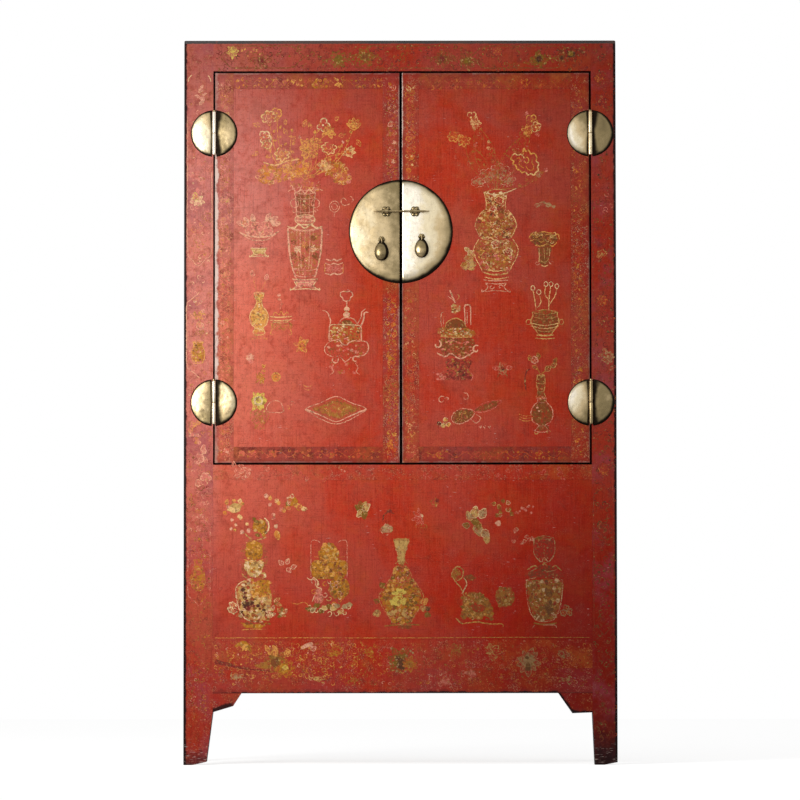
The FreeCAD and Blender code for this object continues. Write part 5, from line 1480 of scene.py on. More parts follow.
def mainVase(b):
    # a tall vase with ringed neck and six-sided body, on a carved stand
    vessel(b, 0, 12, [(9, 0), (10, 4), (12.5, 10), (15, 26), (16.6, 50)], fill="bronze", fillCover=0.40,
           bands=(3.0, 9.5), flutes=3, marks=40, markTones="straw blush cream bronze blush")
    for u, v, w in ((-11, 34, 3), (-3, 32, 2.6), (4, 42, 2.6), (11, 34, 3), (-11, 48, 2.4), (8, 52, 2.4)):
        b.wash(ragged(b, u, v, w * 1.7), "brown", 0.60)
    b.line([(-17.6, 64), (-11, 62), (-6, 66), (0, 62), (6, 66), (11, 62), (17.6, 64)], "cream", 0.9, 1.7)
    b.line([(-17, 62), (0, 60), (17, 62)], "blush", 0.8, 1.3)
    for side in (-1, 1):
        b.line([(side * 17.4, 62), (side * 16, 40), (side * 12.5, 22), (side * 10, 13)], "blush", 0.85, 1.5)
        b.line([(side * 5, 60), (side * 4.6, 40), (side * 3.6, 20)], "blush", 0.7, 1.0)
    for u in (-8, 8):
        b.wash(roundOf(u, 41, 3.6), "blush", 0.7)
        daisy(b, u, 41, 3.8, "cream", 0.8, petals=7)
    daisy(b, 0, 45, 3.2, "gold", 0.7, petals=7)
    vessel(b, 0, 67, [(8, 0), (10, 3), (8.5, 7)], "cream", 0.7, "blush", 0.45, bands=(3.5,))
    vessel(b, 0, 75, [(8.5, 0), (8.8, 10), (10.4, 23)], "blush", 0.75, "brown", 0.50, bands=(4, 18),
           flutes=3, marks=9, markTones="gold cream")
    for side in (-1, 1):
        b.line(roundOf(side * 10.4, 87, 4.0, 1.15, 9), width=0.9, closed=True)
        scroll(b, side * 11, 79, 2.0, 0, side)
    b.line([(-17, 99), (-11, 101), (-9, 97), (-4, 101), (0, 96.5), (4, 101), (9, 97), (11, 101),
            (18, 100)], width=1.2)
    for k in range(16):
        scroll(b, -14 + 1.9 * k, 103 + b.between(-2, 5), 2.4, b.between(0, 6), 1,
               b.pick("gold blush paleGold"), 0.62)
    specks(b, 12, (-12, 14), (104, 114), 3.5, "rosy orange bronze", 0.34)
    stand(b, 0, 0, 13.5, 11, "cream", 0.85, "rosy")


def bouquet(b):
    # fan-shaped fungus masses low down, blossoms on long stems above
    for u, v, w, h, tone in ((-24, 14, 24, 10, "ochre"), (-38, 9, 12, 8, "orange"),
                             (-8, 18, 13, 9, "orange"), (30, 17, 14, 9, "ochre"), (37, 8, 9, 6, "orange")):
        b.wash(ragged(b, u, v, w, h / w, 0.28, 22), tone, 0.64)
        for k in range(int(w * 1.6)):
            b.wash(ragged(b, u + b.between(-0.8, 0.8) * w, v + b.between(-0.7, 0.7) * h, 3.2),
                   b.pick("orange ochre gold rosy"), 0.46)
        for k in range(20):
            a = b.between(0, 6.3)
            spot = (u + w * 0.75 * math.cos(a), v + h * 0.75 * math.sin(a))
            scroll(b, *spot, b.near(2.4), a, b.side(), b.pick("gold paleGold orange"), 0.62)
    daisy(b, 20, 20, 7, "paleGold", 0.8, "lemon", 9)
    spray(b, (0, 6), [(-36, 69, "peony", 7.5, "paleGold"), (-28, 73, "plum", 5.5, "gold"),
                      (-41, 49, "plum", 6.5, "cream"), (-38, 42, "plum", 5, "paleGold"),
                      (-23, 32, "peony", 7.2, "paleGold"), (3, 38, "daisy", 10, "gold"),
                      (18, 61, "plum", 6.5, "cream"), (24, 55, "daisy", 6, "gold"),
                      (24, 38, "peony", 7.2, "paleGold"), (49, 59, "lotus", 9.5, "gold"),
                      (44, 34, "daisy", 5.5, "paleGold"), (-13, 56, "bud", 2, "gold"),
                      (-5, 49, "bud", 1.8, "blush"), (10, 54, "bud", 1.8, "gold"),
                      (38, 44, "bud", 1.8, "blush")], 0.60, "gold")
    for u, v, way in ((-18, 52, 120), (-12, 45, 70), (-20, 62, 80), (6, 58, 110), (-2, 60, 60),
                      (12, 44, 40), (34, 50, 20), (52, 46, -60), (-45, 61, 170), (-34, 31, 200),
                      (-47, 34, 210), (30, 66, 40)):
        leaf(b, u, v, b.near(6), way, 0.3, "gold", 0.55)
    b.line([(-42, 24), (-30, 21), (-18, 25), (-6, 27)], "paleGold", 0.8, 1.2)


def fruitBowl(b):
    for u, v, r in ((-8, 26, 5.5), (1, 27, 6.5), (9, 26, 5), (-3, 31, 4.5), (6, 32, 4)):
        b.wash(roundOf(u, v, r, 0.85), "rosy", 0.80)
        b.line(roundOf(u, v, r, 0.85), "blush", 0.55, 0.8, closed=True)
    for u, v, way in ((-16, 33, 160), (-12, 36, 130), (8, 38, 60), (13, 37, 30), (15, 33, 10),
                      (-6, 38, 100)):
        b.wash(ragged(b, u, v, 3.6), "blush", 0.95)
        leaf(b, u, v, b.near(6), way, 0.34, "blush", 0.75)
    plum(b, -14, 34, 4.5, "blush", 0.8)
    for u in (-11, -5, 1, 7, 12):
        b.wash(ragged(b, u, 24, 2.6), b.pick("blush rosy"), 0.6)
    b.line([(-20, 25), (-12, 21.5), (0, 20), (12, 21.5), (20, 26)], "blush", 0.9, 1.7)
    b.line([(-18, 23.5), (-8, 17.5), (0, 16.8), (8, 17.5), (17, 23)], "blush", 0.7)
    for height, w in ((14, 5), (10, 6)):
        b.wash([(-w, height - 2), (w, height - 2), (w, height + 1), (-w, height + 1)], "wine", 0.35)
        b.line([(-w, height), (0, height - 1), (w, height)], "blush", 0.6)
    stand(b, 0, 0, 8.6, 9, "cream", 0.72, "straw")


def coil(b):
    b.line(roundOf(-5.5, -2.5, 5, 1.1, 10), "blush", 0.62, 0.8, closed=True)
    b.line(roundOf(-5.5, -2.5, 2.8, 1.1, 8), "blush", 0.55, 0.7, closed=True)
    b.line([(7, 3), (3, 6), (1, 3), (3, -1), (7, -1), (11, 1), (13, 5), (10, 8)], "blush", 0.62, 0.85)
    b.line([(-5, -8), (-6, -13)], "blush", 0.45, 0.7)


def layeredBox(b):
    for v, w in ((2, 9), (7, 9.5), (12, 9), (16, 8)):
        b.line([(-w, v + 1), (-w * 0.4, v - 0.6), (0, v + 0.8), (w * 0.4, v - 0.6), (w, v + 1.4)], "blush",
               0.8, 1.5)
    b.wash([(-8, 4), (8, 4), (8.5, 11), (-8.5, 11)], "rosy", 0.42)
    for side in (-1, 1):
        b.line([(side * 9, 3), (side * 9.4, 12)], "gold", 0.6, 0.8)


def smallVase(b):
    profile = [(5, 0), (6, 2), (4, 6), (7.5, 10), (9.2, 17), (7.5, 23), (3.4, 28), (2.8, 35), (5.2, 41)]
    vessel(b, 0, 0, profile, "paleGold", 0.8, "gold", 0.72, bands=(6, 24, 34), marks=34,
           markTones="cream paleGold lemon straw")
    for u, v in ((-6, 58), (7, 54)):
        leaf(b, u, v, 6, 100 if u < 0 else 75, 0.35, "blush", 0.6, "rosy")
        b.line([(u * 0.25, 42), (u * 0.7, 49), (u, v)], "gold", 0.45, 0.6)
    stand(b, 0, -5, 7.5, 5, "gold", 0.5)


def casket(b):
    b.wash([(-10, 4), (10, 4), (10.5, 12), (-10.5, 12)], "bronze", 0.42)
    for v, w in ((14, 11), (17.5, 11), (12, 8)):
        b.line([(-w, v), (0, v - 0.8), (w, v + 0.4)], "paleGold", 0.74, 1.15)
    b.line([(-8, 18), (-6, 22), (-2, 19), (0, 23), (3, 19), (6, 22), (8, 18)], "gold", 0.62)
    for side in (-1, 1):
        b.line([(side * 10, 12), (side * 9, 6), (side * 10.5, 0), (side * 8, -0.5)], "gold", 0.58)
        scroll(b, side * 5, 7, 2.4, 0, side, "gold", 0.55)
    stem(b, (-1, 25), (-2, 38), leaves=2, tone="blush", cover=0.5)
    bud(b, -2, 39, 2, "blush", 0.6)


def sprig(b):
    plum(b, 0, 0, 5.5, "gold", 0.8, "orange")
    for way in (40, 100, 170, 230, 300):
        leaf(b, 3.5 * math.cos(math.radians(way)), 3.5 * math.sin(math.radians(way)), 5, way, 0.3, "gold",
             0.6)


def tray(b):
    lozenge(b, 0, 0, 30, 12.5, "blush", 0.66, "bronze")
    lozenge(b, 0, 0.5, 24, 9.5, "bronze", 0.5, "bronze", 1.0)
    scrolls(b, 16, (-14, 14), (-4.5, 4.5), 1.7, "olive gold", 0.5, turned=True)
    for side in (-1, 1):
        b.line([(side * 30, 0), (side * 22, -3.5), (side * 12, -8)], "blush", 0.85, 1.3)


def yellowFlower(b):
    daisy(b, 0, 0, 8.5, "lemon", 0.9, petals=8)
    b.wash([(-8, 0), (-5, 4.5), (0, 8.6), (5, 5), (8.6, 0.5), (5, -5), (0, -8.5), (-5, -5)], "lemon", 1.0)
    b.wash(roundOf(0, 0, 6.4), "cream", 1.0)
    b.line(roundOf(0, 0, 5.4), "lemon", 0.9, 1.2, closed=True)
    b.wash(roundOf(0, 0, 3.8), "lemon", 0.9)
    b.line(roundOf(0, 0, 3.4), "cream", 0.9, 0.9, closed=True)
    b.wash(roundOf(0, 0, 1.6, count=7), "straw", 0.9)


def paintLeftDoor(p, frameDepth, panelDepth):
    spots = leftDoorSpots

    def brush(name, tone="gold", cover=0.66, scale=1.0, turn=0.0, flip=1, depth=panelDepth):
        return Brush(p, spots[name], scale, turn, flip, tone, cover, depth)
    mainVase(brush("vase", "blush"))
    bouquet(brush("bouquet"))
    fruitBowl(brush("fruitBowl"))
    coil(brush("coil"))
    layeredBox(brush("box"))
    smallVase(brush("smallVase"))
    casket(brush("casket"))
    sprig(brush("sprig"))
    b = brush("blot")
    b.wash(ragged(b, 0, 0, 5), "blush", 0.62)
    b.wash(ragged(b, 1, -4, 3.5), "rosy", 0.6)
    leftCenser(brush("censer"))
    b = brush("twig")
    stem(b, (0, -6), (4, 14), leaves=4, tone="gold", cover=0.6, fill="ochre")
    daisy(b, -2, 0, 5, "ochre", 0.7, "orange")
    b = brush("ring")
    b.wash(roundOf(0, 0, 4.4), "orange", 0.6)
    b.line(roundOf(0, 0, 4.0), "gold", 0.95, 1.3, closed=True)
    b.wash(roundOf(0, 0, 1.4), "bronze", 0.6)
    yellowFlower(brush("yellowFlower"))
    b = brush("fadedVase", "bronze", 0.5)
    vessel(b, 0, 0, [(5, 0), (4, 3), (8, 9), (9, 15), (6, 19)], "bronze", 0.52, "bronze", 0.36, marks=10,
           markTones="ochre brown straw")
    b = brush("fan")
    b.line([(-8, -3), (-7, 3), (-2, 7), (5, 6), (8, 0), (8, -4), (0, -4.4)], "blush", 0.55, 0.85,
           closed=True)
    scroll(b, 17, 4, 3, 0, 1, "blush", 0.42)
    scroll(b, 13, 0, 2.4, 2, -1, "gold", 0.42)
    b = brush("cup")
    for v in (0, 3):
        b.line([(-5, v + 1), (0, v - 1), (5, v + 1.5)], "gold", 0.5, 0.9)
    tray(brush("tray"))
    bandTones = "ochre blush straw gold bronze"
    runningScroll(brush("hingeBand", depth=frameDepth), 379, 13, bandTones, 0.38, 2.6)
    runningScroll(brush("lockBandLow", depth=frameDepth), 164, 12, "ochre orange bronze gold", 0.46, 2.5)
    runningScroll(brush("lockBandHigh", depth=frameDepth), 98, 12, "ochre olive bronze blush", 0.46, 2.5)
    runningScroll(brush("topBand", depth=frameDepth), 148, 11, "ochre orange bronze gold", 0.50, 4.2, False)
    runningScroll(brush("bottomBand", depth=frameDepth), 148, 10, "ochre bronze orange brown", 0.42, 4.6,
                  False)


rightDoorSpots = {"vase": (496, 292), "bouquet": (496, 192), "cloud": (544, 205), "sceptre": (544, 268),
                  "coralBowl": (545, 338), "censer": (457, 384), "ornament": (502.6, 368.4),
                  "slenderVase": (542, 431), "dish": (527, 418), "curls": (453, 400), "gourd": (463, 416),
                  "marks": (483, 427), "lowMark": (431, 448.7), "lockBandLow": (410.5, 458),
                  "lockBandHigh": (410.5, 181), "hingeBand": (578.5, 459), "topBand": (422, 84),
                  "bottomBand": (422, 455),}


def mottledVase(b):
    # a waisted vase overgrown with flowers and leaves, on a stand
    foot = [(13, 0), (16, 6), (21, 16), (22, 24), (17, 33)]
    belly = [(15, 34), (20, 44), (20, 50), (16, 58), (12, 62)]
    neck = [(10, 63), (9.5, 70), (11, 77), (11.5, 80)]
    for profile, count, tonesOf, cover in ((foot, 70, "bronze brown straw rosy", 0.52),
                                           (belly, 80, "bronze straw brown paleGold dark", 0.60),
                                           (neck, 34, "brown dark straw cream", 0.62)):
        mottled(b, 0, 20, profile, tonesOf, count, cover, 2.4, ("bronze", 0.55))
        vessel(b, 0, 20, profile, "paleGold", 0.62, marks=count,
               markTones="cream paleGold brown straw gold", rim=False)
    for k in range(16):
        u, v = b.between(-17, 17), b.between(52, 76)
        b.line([(u - 5, v), (u - 2, v + 2), (u + 2, v - 1), (u + 5, v + 1)],
               b.pick("cream paleGold brown"), 0.66, 1.3)
    for u, v in ((-9, 66), (8, 62), (-3, 84), (3, 92), (0, 48), (-12, 36), (12, 40)):
        peony(b, u, v, b.near(4.2), b.pick("cream straw paleGold"), 0.72, "brown", 5)
    for k in range(18):
        leaf(b, -20 + b.between(-9, 4), 32 + b.between(-9, 9), b.near(6.5), b.between(130, 230), 0.32,
             b.pick("cream straw grey"), 0.62, b.pick("straw bronze"))
    for v in (14, 18, 22):
        b.line([(-12, v + 1), (0, v - 1), (13, v + 1)], b.pick("straw paleGold"), 0.66, 1.1)
    b.line([(-12, 100), (-4, 98), (6, 98.5), (21, 104)], "cream", 0.80, 1.1)
    b.line([(-12, 100), (0, 103), (12, 102)], "straw", 0.6, 0.8)
    stand(b, 0, 0, 13, 12, "blush", 0.62)


def fadedBouquet(b):
    for u, v, r in ((-8, 16, 10), (4, 20, 11), (-18, 10, 7), (12, 12, 8)):
        b.wash(ragged(b, u, v, r, 0.8, 0.35), "grey", 0.42)
        b.line(lobed(u, v, r, 7, 0.25, 0.8, b.between(0, 6)), "blush", 0.45, 0.8, closed=True)
    for u in (-14, -8, -3, 2, 8, 14):
        b.line([(u * 0.4, 2), (u * 0.8, 12), (u * 1.3, 22)], "grey", 0.5, 0.7)
    spray(b, (0, 4), [(-25, 75, "plum", 6, "paleGold"), (-21, 69, "daisy", 5.5, "paleGold"),
                      (-42, 56, "peony", 6.3, "gold"), (-32, 52, "peony", 6.3, "gold"),
                      (-7, 50, "bud", 2.3, "paleGold"), (-7, 44, "bud", 2.6, "paleGold"),
                      (36, 71, "plum", 6.5, "gold"), (40, 65, "plum", 5, "paleGold"),
                      (32, 61, "daisy", 5.5, "gold"), (31, 79, "bud", 2.6, "rosy"),
                      (43, 18, "bud", 3.4, "grey"), (50, 22, "bud", 3, "rosy")], 0.46, "bronze")
    # a peony beside them, its petals outlined twice
    petals = (
        ("gold", 1.3, (16, 36), (15, 33), (18, 31), (17, 28), (20, 26.5), (21, 23), (24, 22), (26, 19.5),
         (29, 20.5)),
        ("paleGold", 1.4, (30, 20), (32, 17), (35, 18.5), (38, 17), (40, 20), (42.5, 21.5), (41.5, 25),
         (43, 28), (40, 31)),
        ("gold", 1.3, (40, 31), (41, 35), (38, 39), (35, 38), (33, 42), (30, 41), (28, 44), (27, 38)),
        ("paleGold", 1.2, (16, 36), (19, 38.5), (22, 37), (25, 38), (27, 36), (29, 33)),
        ("orange", 0.9, (20, 33), (23, 34.5), (25, 32), (23, 29), (25, 26), (28, 24)),
        ("orange", 0.9, (37, 34), (36, 30), (38, 26), (36, 22), (32, 23), (30, 26)),
        ("gold", 0.9, (28, 31), (31, 29), (33, 32), (31, 35), (28, 34)))
    for tone, width, *points in petals:
        b.line(points, tone, 0.80, width, taper=0.7)
    leaves(b, 16, (-46, 44), (26, 60), 4.5, 0.3, "grey rosy bronze", 0.4, spread=0.2)


def sceptre(b):
    b.wash([(-15, 29), (-12, 35), (-3, 37), (6, 36), (13, 34), (15, 28), (8, 22), (-8, 22)], "brown", 0.66)
    b.wash([(-6, 22), (7, 22), (6, 10), (4, 3), (-3, 3), (-5, 10)], "brown", 0.66)
    for points in (((-12, 36), (-5, 35), (0, 36.5), (6, 35), (12, 36)),
                   ((-15, 30), (-12, 34), (-6, 32), (-1, 34)),
                   ((1, 33), (6, 34), (10, 32), (14, 34), (15.5, 29)),
                   ((-14, 27), (-8, 29), (-3, 26), (3, 29), (9, 26)),
                   ((-9, 23), (-3, 22), (3, 24), (9, 22), (13, 26)), ((-5, 20), (-4.5, 12), (-5, 6)),
                   ((6, 20), (5.5, 12)), ((0, 20), (0.5, 13), (0, 5)), ((-5, 9), (-1, 6), (3, 7), (5, 10)),
                   ((-3, 3), (0, 1.5), (4, 3))):
        b.line(points, b.pick("paleGold straw gold"), 0.74, 1.0)
    scrolls(b, 26, (-12, 12), (23, 35), 1.9, "paleGold bronze gold dark", 0.62, bothWays=True, spread=0.2)
    for side in (-1, 1):
        scroll(b, side * 7, 5, 2.4, 0, side, "blush", 0.5)


def coralBowl(b):
    pot(b, 0, 4, 14, 22, "straw", 0.66, "brown")
    for v in (12, 15):
        b.line([(-14, v), (0, v - 2.5), (14, v)], "paleGold", 0.7, 1.2)
    for v, w in ((0, 10), (3, 8.5)):
        b.line([(-w, v), (0, v - 0.8), (w, v)], "straw", 0.75, 1.2)
    b.wash(ragged(b, 0, 26, 11, 0.3), "olive", 0.5)
    for ends in (((-9, 28), (-10, 38), (-12, 48)), ((-8, 30), (-4, 36), (-6, 44)),
                 ((4, 27), (4, 38), (6, 52)), ((5, 34), (10, 42), (12, 50)), ((4, 38), (0, 44), (1, 52))):
        b.line(list(ends), "paleGold", 0.62, 1.0)
        b.line(roundOf(ends[2][0], ends[2][1] + 2, 2.0, 1.2, 7), "cream", 0.7, 0.8, closed=True)


def slenderVase(b):
    vessel(b, 0, 0, [(7, 0), (5, 3), (3.5, 6), (9, 10), (11, 18), (8.5, 25), (4.5, 29), (5, 33)], "blush",
           0.50, "brown", 0.72, bands=(6, 29), marks=18, markTones="blush straw brown dark")
    vessel(b, -1, 34, [(4.6, 0), (3.2, 5), (4.4, 14), (3.4, 22)], "straw", 0.55, "brown", 0.66,
           bands=(6, 14), marks=8, markTones="straw dark")
    b.wash(roundOf(2, 17, 5), "brown", 0.55)
    for u, v, way in ((-5, 62, 140), (-10, 70, 120), (4, 60, 50), (9, 64, 30), (12, 68, 60), (-3, 72, 100)):
        leaf(b, u, v, b.near(7), way, 0.34, b.pick("straw bronze gold"), 0.6, "brown")
    b.line([(-1, 56), (-5, 64), (-8, 76)], "bronze", 0.6)
    b.line([(-1, 56), (5, 62), (11, 68)], "bronze", 0.6)
    plum(b, -7, 71, 3.6, "blush", 0.6)
    for side in (-1, 1):
        scroll(b, side * 6, -1, 2.4, 0, side, "straw", 0.5)


def gourd(b):
    b.turn = math.radians(20)
    b.wash([(-12, 0), (-7, 6.5), (2, 7), (10, 3), (12, -1), (5, -5.5), (-6, -6)], "brown", 0.72)
    b.line([(-12, 0), (-7, 6.5), (2, 7), (10, 3), (12, -1), (5, -5.5), (-6, -6)], "blush", 0.55, 1.0,
           closed=True)
    scrolls(b, 9, (-8, 8), (-3, 4), 2, "straw gold dark", 0.6, turned=True)
    b.wash([(12, 1), (20, 4), (32, 4), (40, 1), (31, -3), (20, -2.5)], "brown", 0.60)
    b.line([(12, 1), (22, 4.6), (33, 4), (41, 1), (31, -3.4), (20, -3)], "rosy", 0.42, 0.8, closed=True)
    for u, v in ((-18, 2), (-22, -2), (-17, -3), (-25, 1)):
        b.wash(ragged(b, u, v, 2.8), b.pick("straw dark gold"), 0.75)
        scroll(b, u, v, 3, b.between(0, 6), 1, "cream", 0.7)
    b.line([(6, -5), (10, -11), (16, -8), (13, -3)], "blush", 0.6, 0.9)


def paintRightDoor(p, frameDepth, panelDepth):
    spots = rightDoorSpots

    def brush(name, tone="gold", cover=0.62, scale=1.0, turn=0.0, flip=1, depth=panelDepth):
        return Brush(p, spots[name], scale, turn, flip, tone, cover, depth)
    mottledVase(brush("vase"))
    fadedBouquet(brush("bouquet"))
    cloud(brush("cloud"), 0, 0, 12, "grey", 0.5, "grey")
    sceptre(brush("sceptre"))
    coralBowl(brush("coralBowl"))
    rightCenser(brush("censer"))
    b = brush("ornament")
    b.wash(ragged(b, 0, 0, 7, 0.7), "brown", 0.66)
    bloom(b, 0, 0, 6, "dark", "grey", 0.5)
    for side in (-1, 1):
        leaf(b, side * 4, 0, 6, 90 - side * 80, 0.35, "rosy", 0.55)
        b.line([(side * 3, -5), (side * 5, -9)], "brown", 0.6)
    slenderVase(brush("slenderVase"))
    b = brush("dish")
    for v in (-2, 0.5, 3):
        b.line([(-8, v + 1), (-2, v - 1), (6, v)], "gold", 0.5, 0.9)
    b.line([(-1, 28), (-2, 38), (0, 47), (4, 49)], "wine", 0.8, 1.2)
    b = brush("curls")
    scroll(b, -11, 0, 4.4, 1, 1, "blush", 0.72, 1.1)
    scroll(b, -6, 1, 2.4, 3, -1, "blush", 0.55)
    scroll(b, 12, 3, 4.6, 2, -1, "blush", 0.50)
    gourd(brush("gourd"))
    b = brush("marks")
    for u in (-4, 0, 5):
        b.line([(u, 1), (u + 1.5, -1), (u + 2.5, 1.4)], "blush", 0.6, 1.1)
    b = brush("lowMark")
    for u in (-3, 1, 4):
        b.line([(u, -1), (u + 2, 1.4)], "cream", 0.7, 1.3)
    bandTones = "gold orange ochre paleGold bronze"
    runningScroll(brush("lockBandLow", depth=frameDepth), 164, 12, bandTones, 0.34, 2.5)
    runningScroll(brush("lockBandHigh", depth=frameDepth), 98, 11, bandTones, 0.42, 2.5)
    runningScroll(brush("hingeBand", depth=frameDepth), 379, 12, "gold ochre brown orange brown", 0.34,
                  2.8)
    runningScroll(brush("topBand", depth=frameDepth), 148, 12, "ochre orange bronze brown", 0.36, 4.2,
                  False)
    runningScroll(brush("bottomBand", depth=frameDepth), 148, 10, "ochre bronze brown", 0.38, 4.6, False)


lowerPanelSpots = {
    "firstVase": (254, 630), "firstFlowers": (258, 540), "twig": (286, 568), "burner": (329, 618),
    "lily": (363, 510), "barrelShadeAndPatina": (387, 529), "secondVase": (401.5, 626), "pinkFlower": (420, 517),
    "oliveSmudge": (434, 503), "creamLily": (476, 524), "cluster": (503, 508), "berries": (524, 534),
    "beast": (476, 624), "jar": (544.5, 628), "sillMarks": (238, 473), "sillMarksMiddle": (300, 474),
    "sillMarksRight": (425, 473), "line": (212, 637.6),
}


def darkRim(b, u, v, w, h):
    # the paint round a vase has gone brown
    for k in range(34):
        angle = 2 * math.pi * (k + b.between(0, 1)) / 34
        b.wash(ragged(b, u + w * math.cos(angle), v + h * math.sin(angle), 3.4, 0.8),
               b.pick("brown bronze"), 0.34)


def firstVase(b):
    body = [(-10, 49), (-17, 44), (-18, 36), (-16, 25), (-12, 15), (-4, 9), (9, 8), (15, 13), (18, 24),
            (18.5, 38), (16, 46), (10, 50)]
    darkRim(b, 0, 30, 20, 24)
    darkRim(b, 0, 70, 12, 20)
    b.wash(body, "straw", 0.70)
    b.wash([(2, 50), (12, 51), (16, 45), (17, 33), (9, 30), (2, 36), (-2, 44)], "ochre", 0.92)
    for k in range(150):
        u, v = b.between(-15, 16), b.between(11, 50)
        own = "ochre gold ochre" if u > -2 and v > 32 else "cream straw brown cream olive grey"
        b.wash(ragged(b, u, v, b.near(2.3, 0.5), 0.8, 0.45, 7), b.pick(own), b.near(0.66, 0.25))
    for u, v, r in ((-8, 25, 6), (-11, 40, 3.4), (-3, 27, 4.2), (-9, 32, 3.4), (4, 24, 3), (-13, 18, 3),
                    (10, 20, 2.6)):
        b.wash(ragged(b, u, v, r, 0.8), "dark", 0.85)
        b.wash(ragged(b, u + 2, v - 3, r * 0.7, 0.8), "wine", 0.85)
    b.line(body[:7], "cream", 0.72, 1.1)
    for k in range(22):
        u = b.between(13, 29)
        v = b.between(13, 30 - abs(u - 22) * 0.8)
        b.wash(ragged(b, u, v, b.near(2.6), 0.8, 0.45), b.pick("cream grey straw olive"), 0.72)
        if k % 2:
            leaf(b, u, v, b.near(5), b.between(-60, 120), 0.32, b.pick("cream straw"), 0.66)
    specks(b, 10, (-10, 16), (6, 14), 2.6, "olive brown", 0.62, 0.7)
    for u, v, tone, r in ((-21, 25, "paleGold", 3.4), (-23, 20, "cream", 3.4), (-20, 19, "orange", 3)):
        b.wash(ragged(b, u, v, r), tone, 0.72)
        plum(b, u, v, r, "cream", 0.66)
    mottled(b, 0, 0, [(9, 52), (12, 54), (11, 57)], "cream straw", 20, 0.8, 2.2, ("straw", 0.8))
    mottled(b, 0, 0, [(10, 58), (11, 64), (9, 69)], "cream paleGold ochre", 34, 0.85, 2.2, ("straw", 0.9))
    mottled(b, 0, 0, [(7, 71), (9, 88)], "ochre gold bronze", 40, 0.85, 2.2, ("ochre", 0.95))
    b.line([(-10, 70), (0, 68), (10, 70)], "gold", 0.7, 1.1)
    b.line([(-13, 7), (0, 5), (13, 7)], "ochre", 0.8, 1.2)
    b.wash([(-9, 2), (9, 2), (11, 6), (-11, 6)], "ochre", 0.75)
    b.line([(-12, 0), (0, 1), (12, 0.5)], "gold", 0.62, 0.8)


def firstFlowers(b):
    b.wash(ragged(b, 2, 14, 9), "ochre", 0.86)
    for k in range(14):
        b.wash(ragged(b, 2 + b.between(-7, 7), 13 + b.between(-9, 8), 2.4),
               b.pick("gold straw ochre olive"), 0.75)
    b.line([(6, 22), (10, 18), (10.5, 11), (7, 6)], "cream", 0.85, 1.6)
    b.line([(-13, 6), (-8, 2), (0, 0), (8, 3)], "straw", 0.7, 1.4)
    b.wash(ragged(b, -24, 31, 9, 0.55), "paleGold", 0.9)
    b.wash(ragged(b, -22, 34, 7, 0.6), "straw", 0.85)
    for u, v, tone in ((-33, 27, "orange"), (-31, 38, "gold"), (-30, 33, "blush"), (-18, 39, "paleGold"),
                       (-24, 39, "gold"), (-16, 36, "gold"), (-26, 20, "blush"), (-18, 23, "paleGold"),
                       (-22, 15, "blush"), (-27, 11, "blush"), (-23, 10, "gold"), (-11, 16, "paleGold"),
                       (-16, 8, "blush"), (-9, 10, "blush"), (-3, 19, "olive")):
        bud(b, u, v, b.near(2.2, 0.3), tone, b.near(0.66))
    for u, v, tone in ((8, 42, "blush"), (12, 40, "gold"), (17, 38, "paleGold"), (11, 34, "blush"),
                       (19, 36, "gold"), (14, 26, "blush"), (17, 22, "rosy"), (25, 29, "rosy")):
        leaf(b, u, v, b.near(4.2), b.between(0, 360), 0.4, tone, 0.62, tone)
    for u, v, tone, r in ((34, 38, "ochre", 7), (40, 34, "gold", 5), (30, 36, "olive", 4),
                          (46, 31, "paleGold", 4)):
        b.wash(ragged(b, u, v, r, 0.8, 0.4), tone, 0.72)
    leaves(b, 10, (26, 46), (29, 42), 4.5, 0.4, "gold cream ochre", 0.6)
    leaf(b, 18, 9, 9, -75, 0.3, "gold", 0.8, "orange")
    leaf(b, 17, 12, 4, 60, 0.4, "cream", 0.75, "blush")


def burner(b):
    # a seated beast carries an incense burner in an upright frame
    for side in (-1, 1):
        b.line([(side * 18, 40), (side * 18, 60), (side * 17.5, 76), (side * 12, 77), (side * 9, 75)],
               "blush", 0.52, 0.6, taper=0.9)
    mottled(b, 0, 0, [(15, 40), (17, 57)], "ochre brown bronze gold", 70, 0.78, 2.4, ("ochre", 0.85))
    mottled(b, 0, 0, [(9, 58), (10, 65), (5, 74)], "ochre gold straw", 38, 0.82, 2.2, ("ochre", 0.85))
    b.wash(roundOf(10, 30, 11, 1.05, 14), "ochre", 0.80)
    for k in range(30):
        a, r = b.between(0, 6.3), b.between(0, 10)
        b.wash(ragged(b, 10 + r * math.cos(a), 30 + r * math.sin(a), 2.4),
               b.pick("ochre brown bronze olive"), 0.75)
    for v in (57, 61, 46):
        b.line([(-15, v), (0, v - 1), (16, v)], "gold", 0.62, 0.7)
    scrolls(b, 30, (-16, 14), (12, 36), 2.6, "blush cream straw orange", 0.66, turned=True, bothWays=True,
            spread=0.2)
    b.line([(-22, 40), (-18, 38), (-15, 40), (-11, 36), (-12, 31), (-8, 29), (-9, 22), (-14, 22),
            (-17, 16)], "cream", 0.74, 1.1)
    b.wash([(-12, 30), (-7, 30), (-6, 16), (-14, 14), (-16, 20)], "rosy", 0.55)
    for k in range(11):
        u = -20 + k * 4
        b.wash(ragged(b, u, 8 + b.between(-2, 5), 4, 0.8), b.pick("grey straw olive"), 0.80)
        scroll(b, u, 7 + b.between(-3, 5), 3.2, b.between(0, 6), 1, "cream", 0.74)
    b.line([(-38, 15), (-31, 14), (-25, 16), (-20, 12)], "gold", 0.55, 0.8)


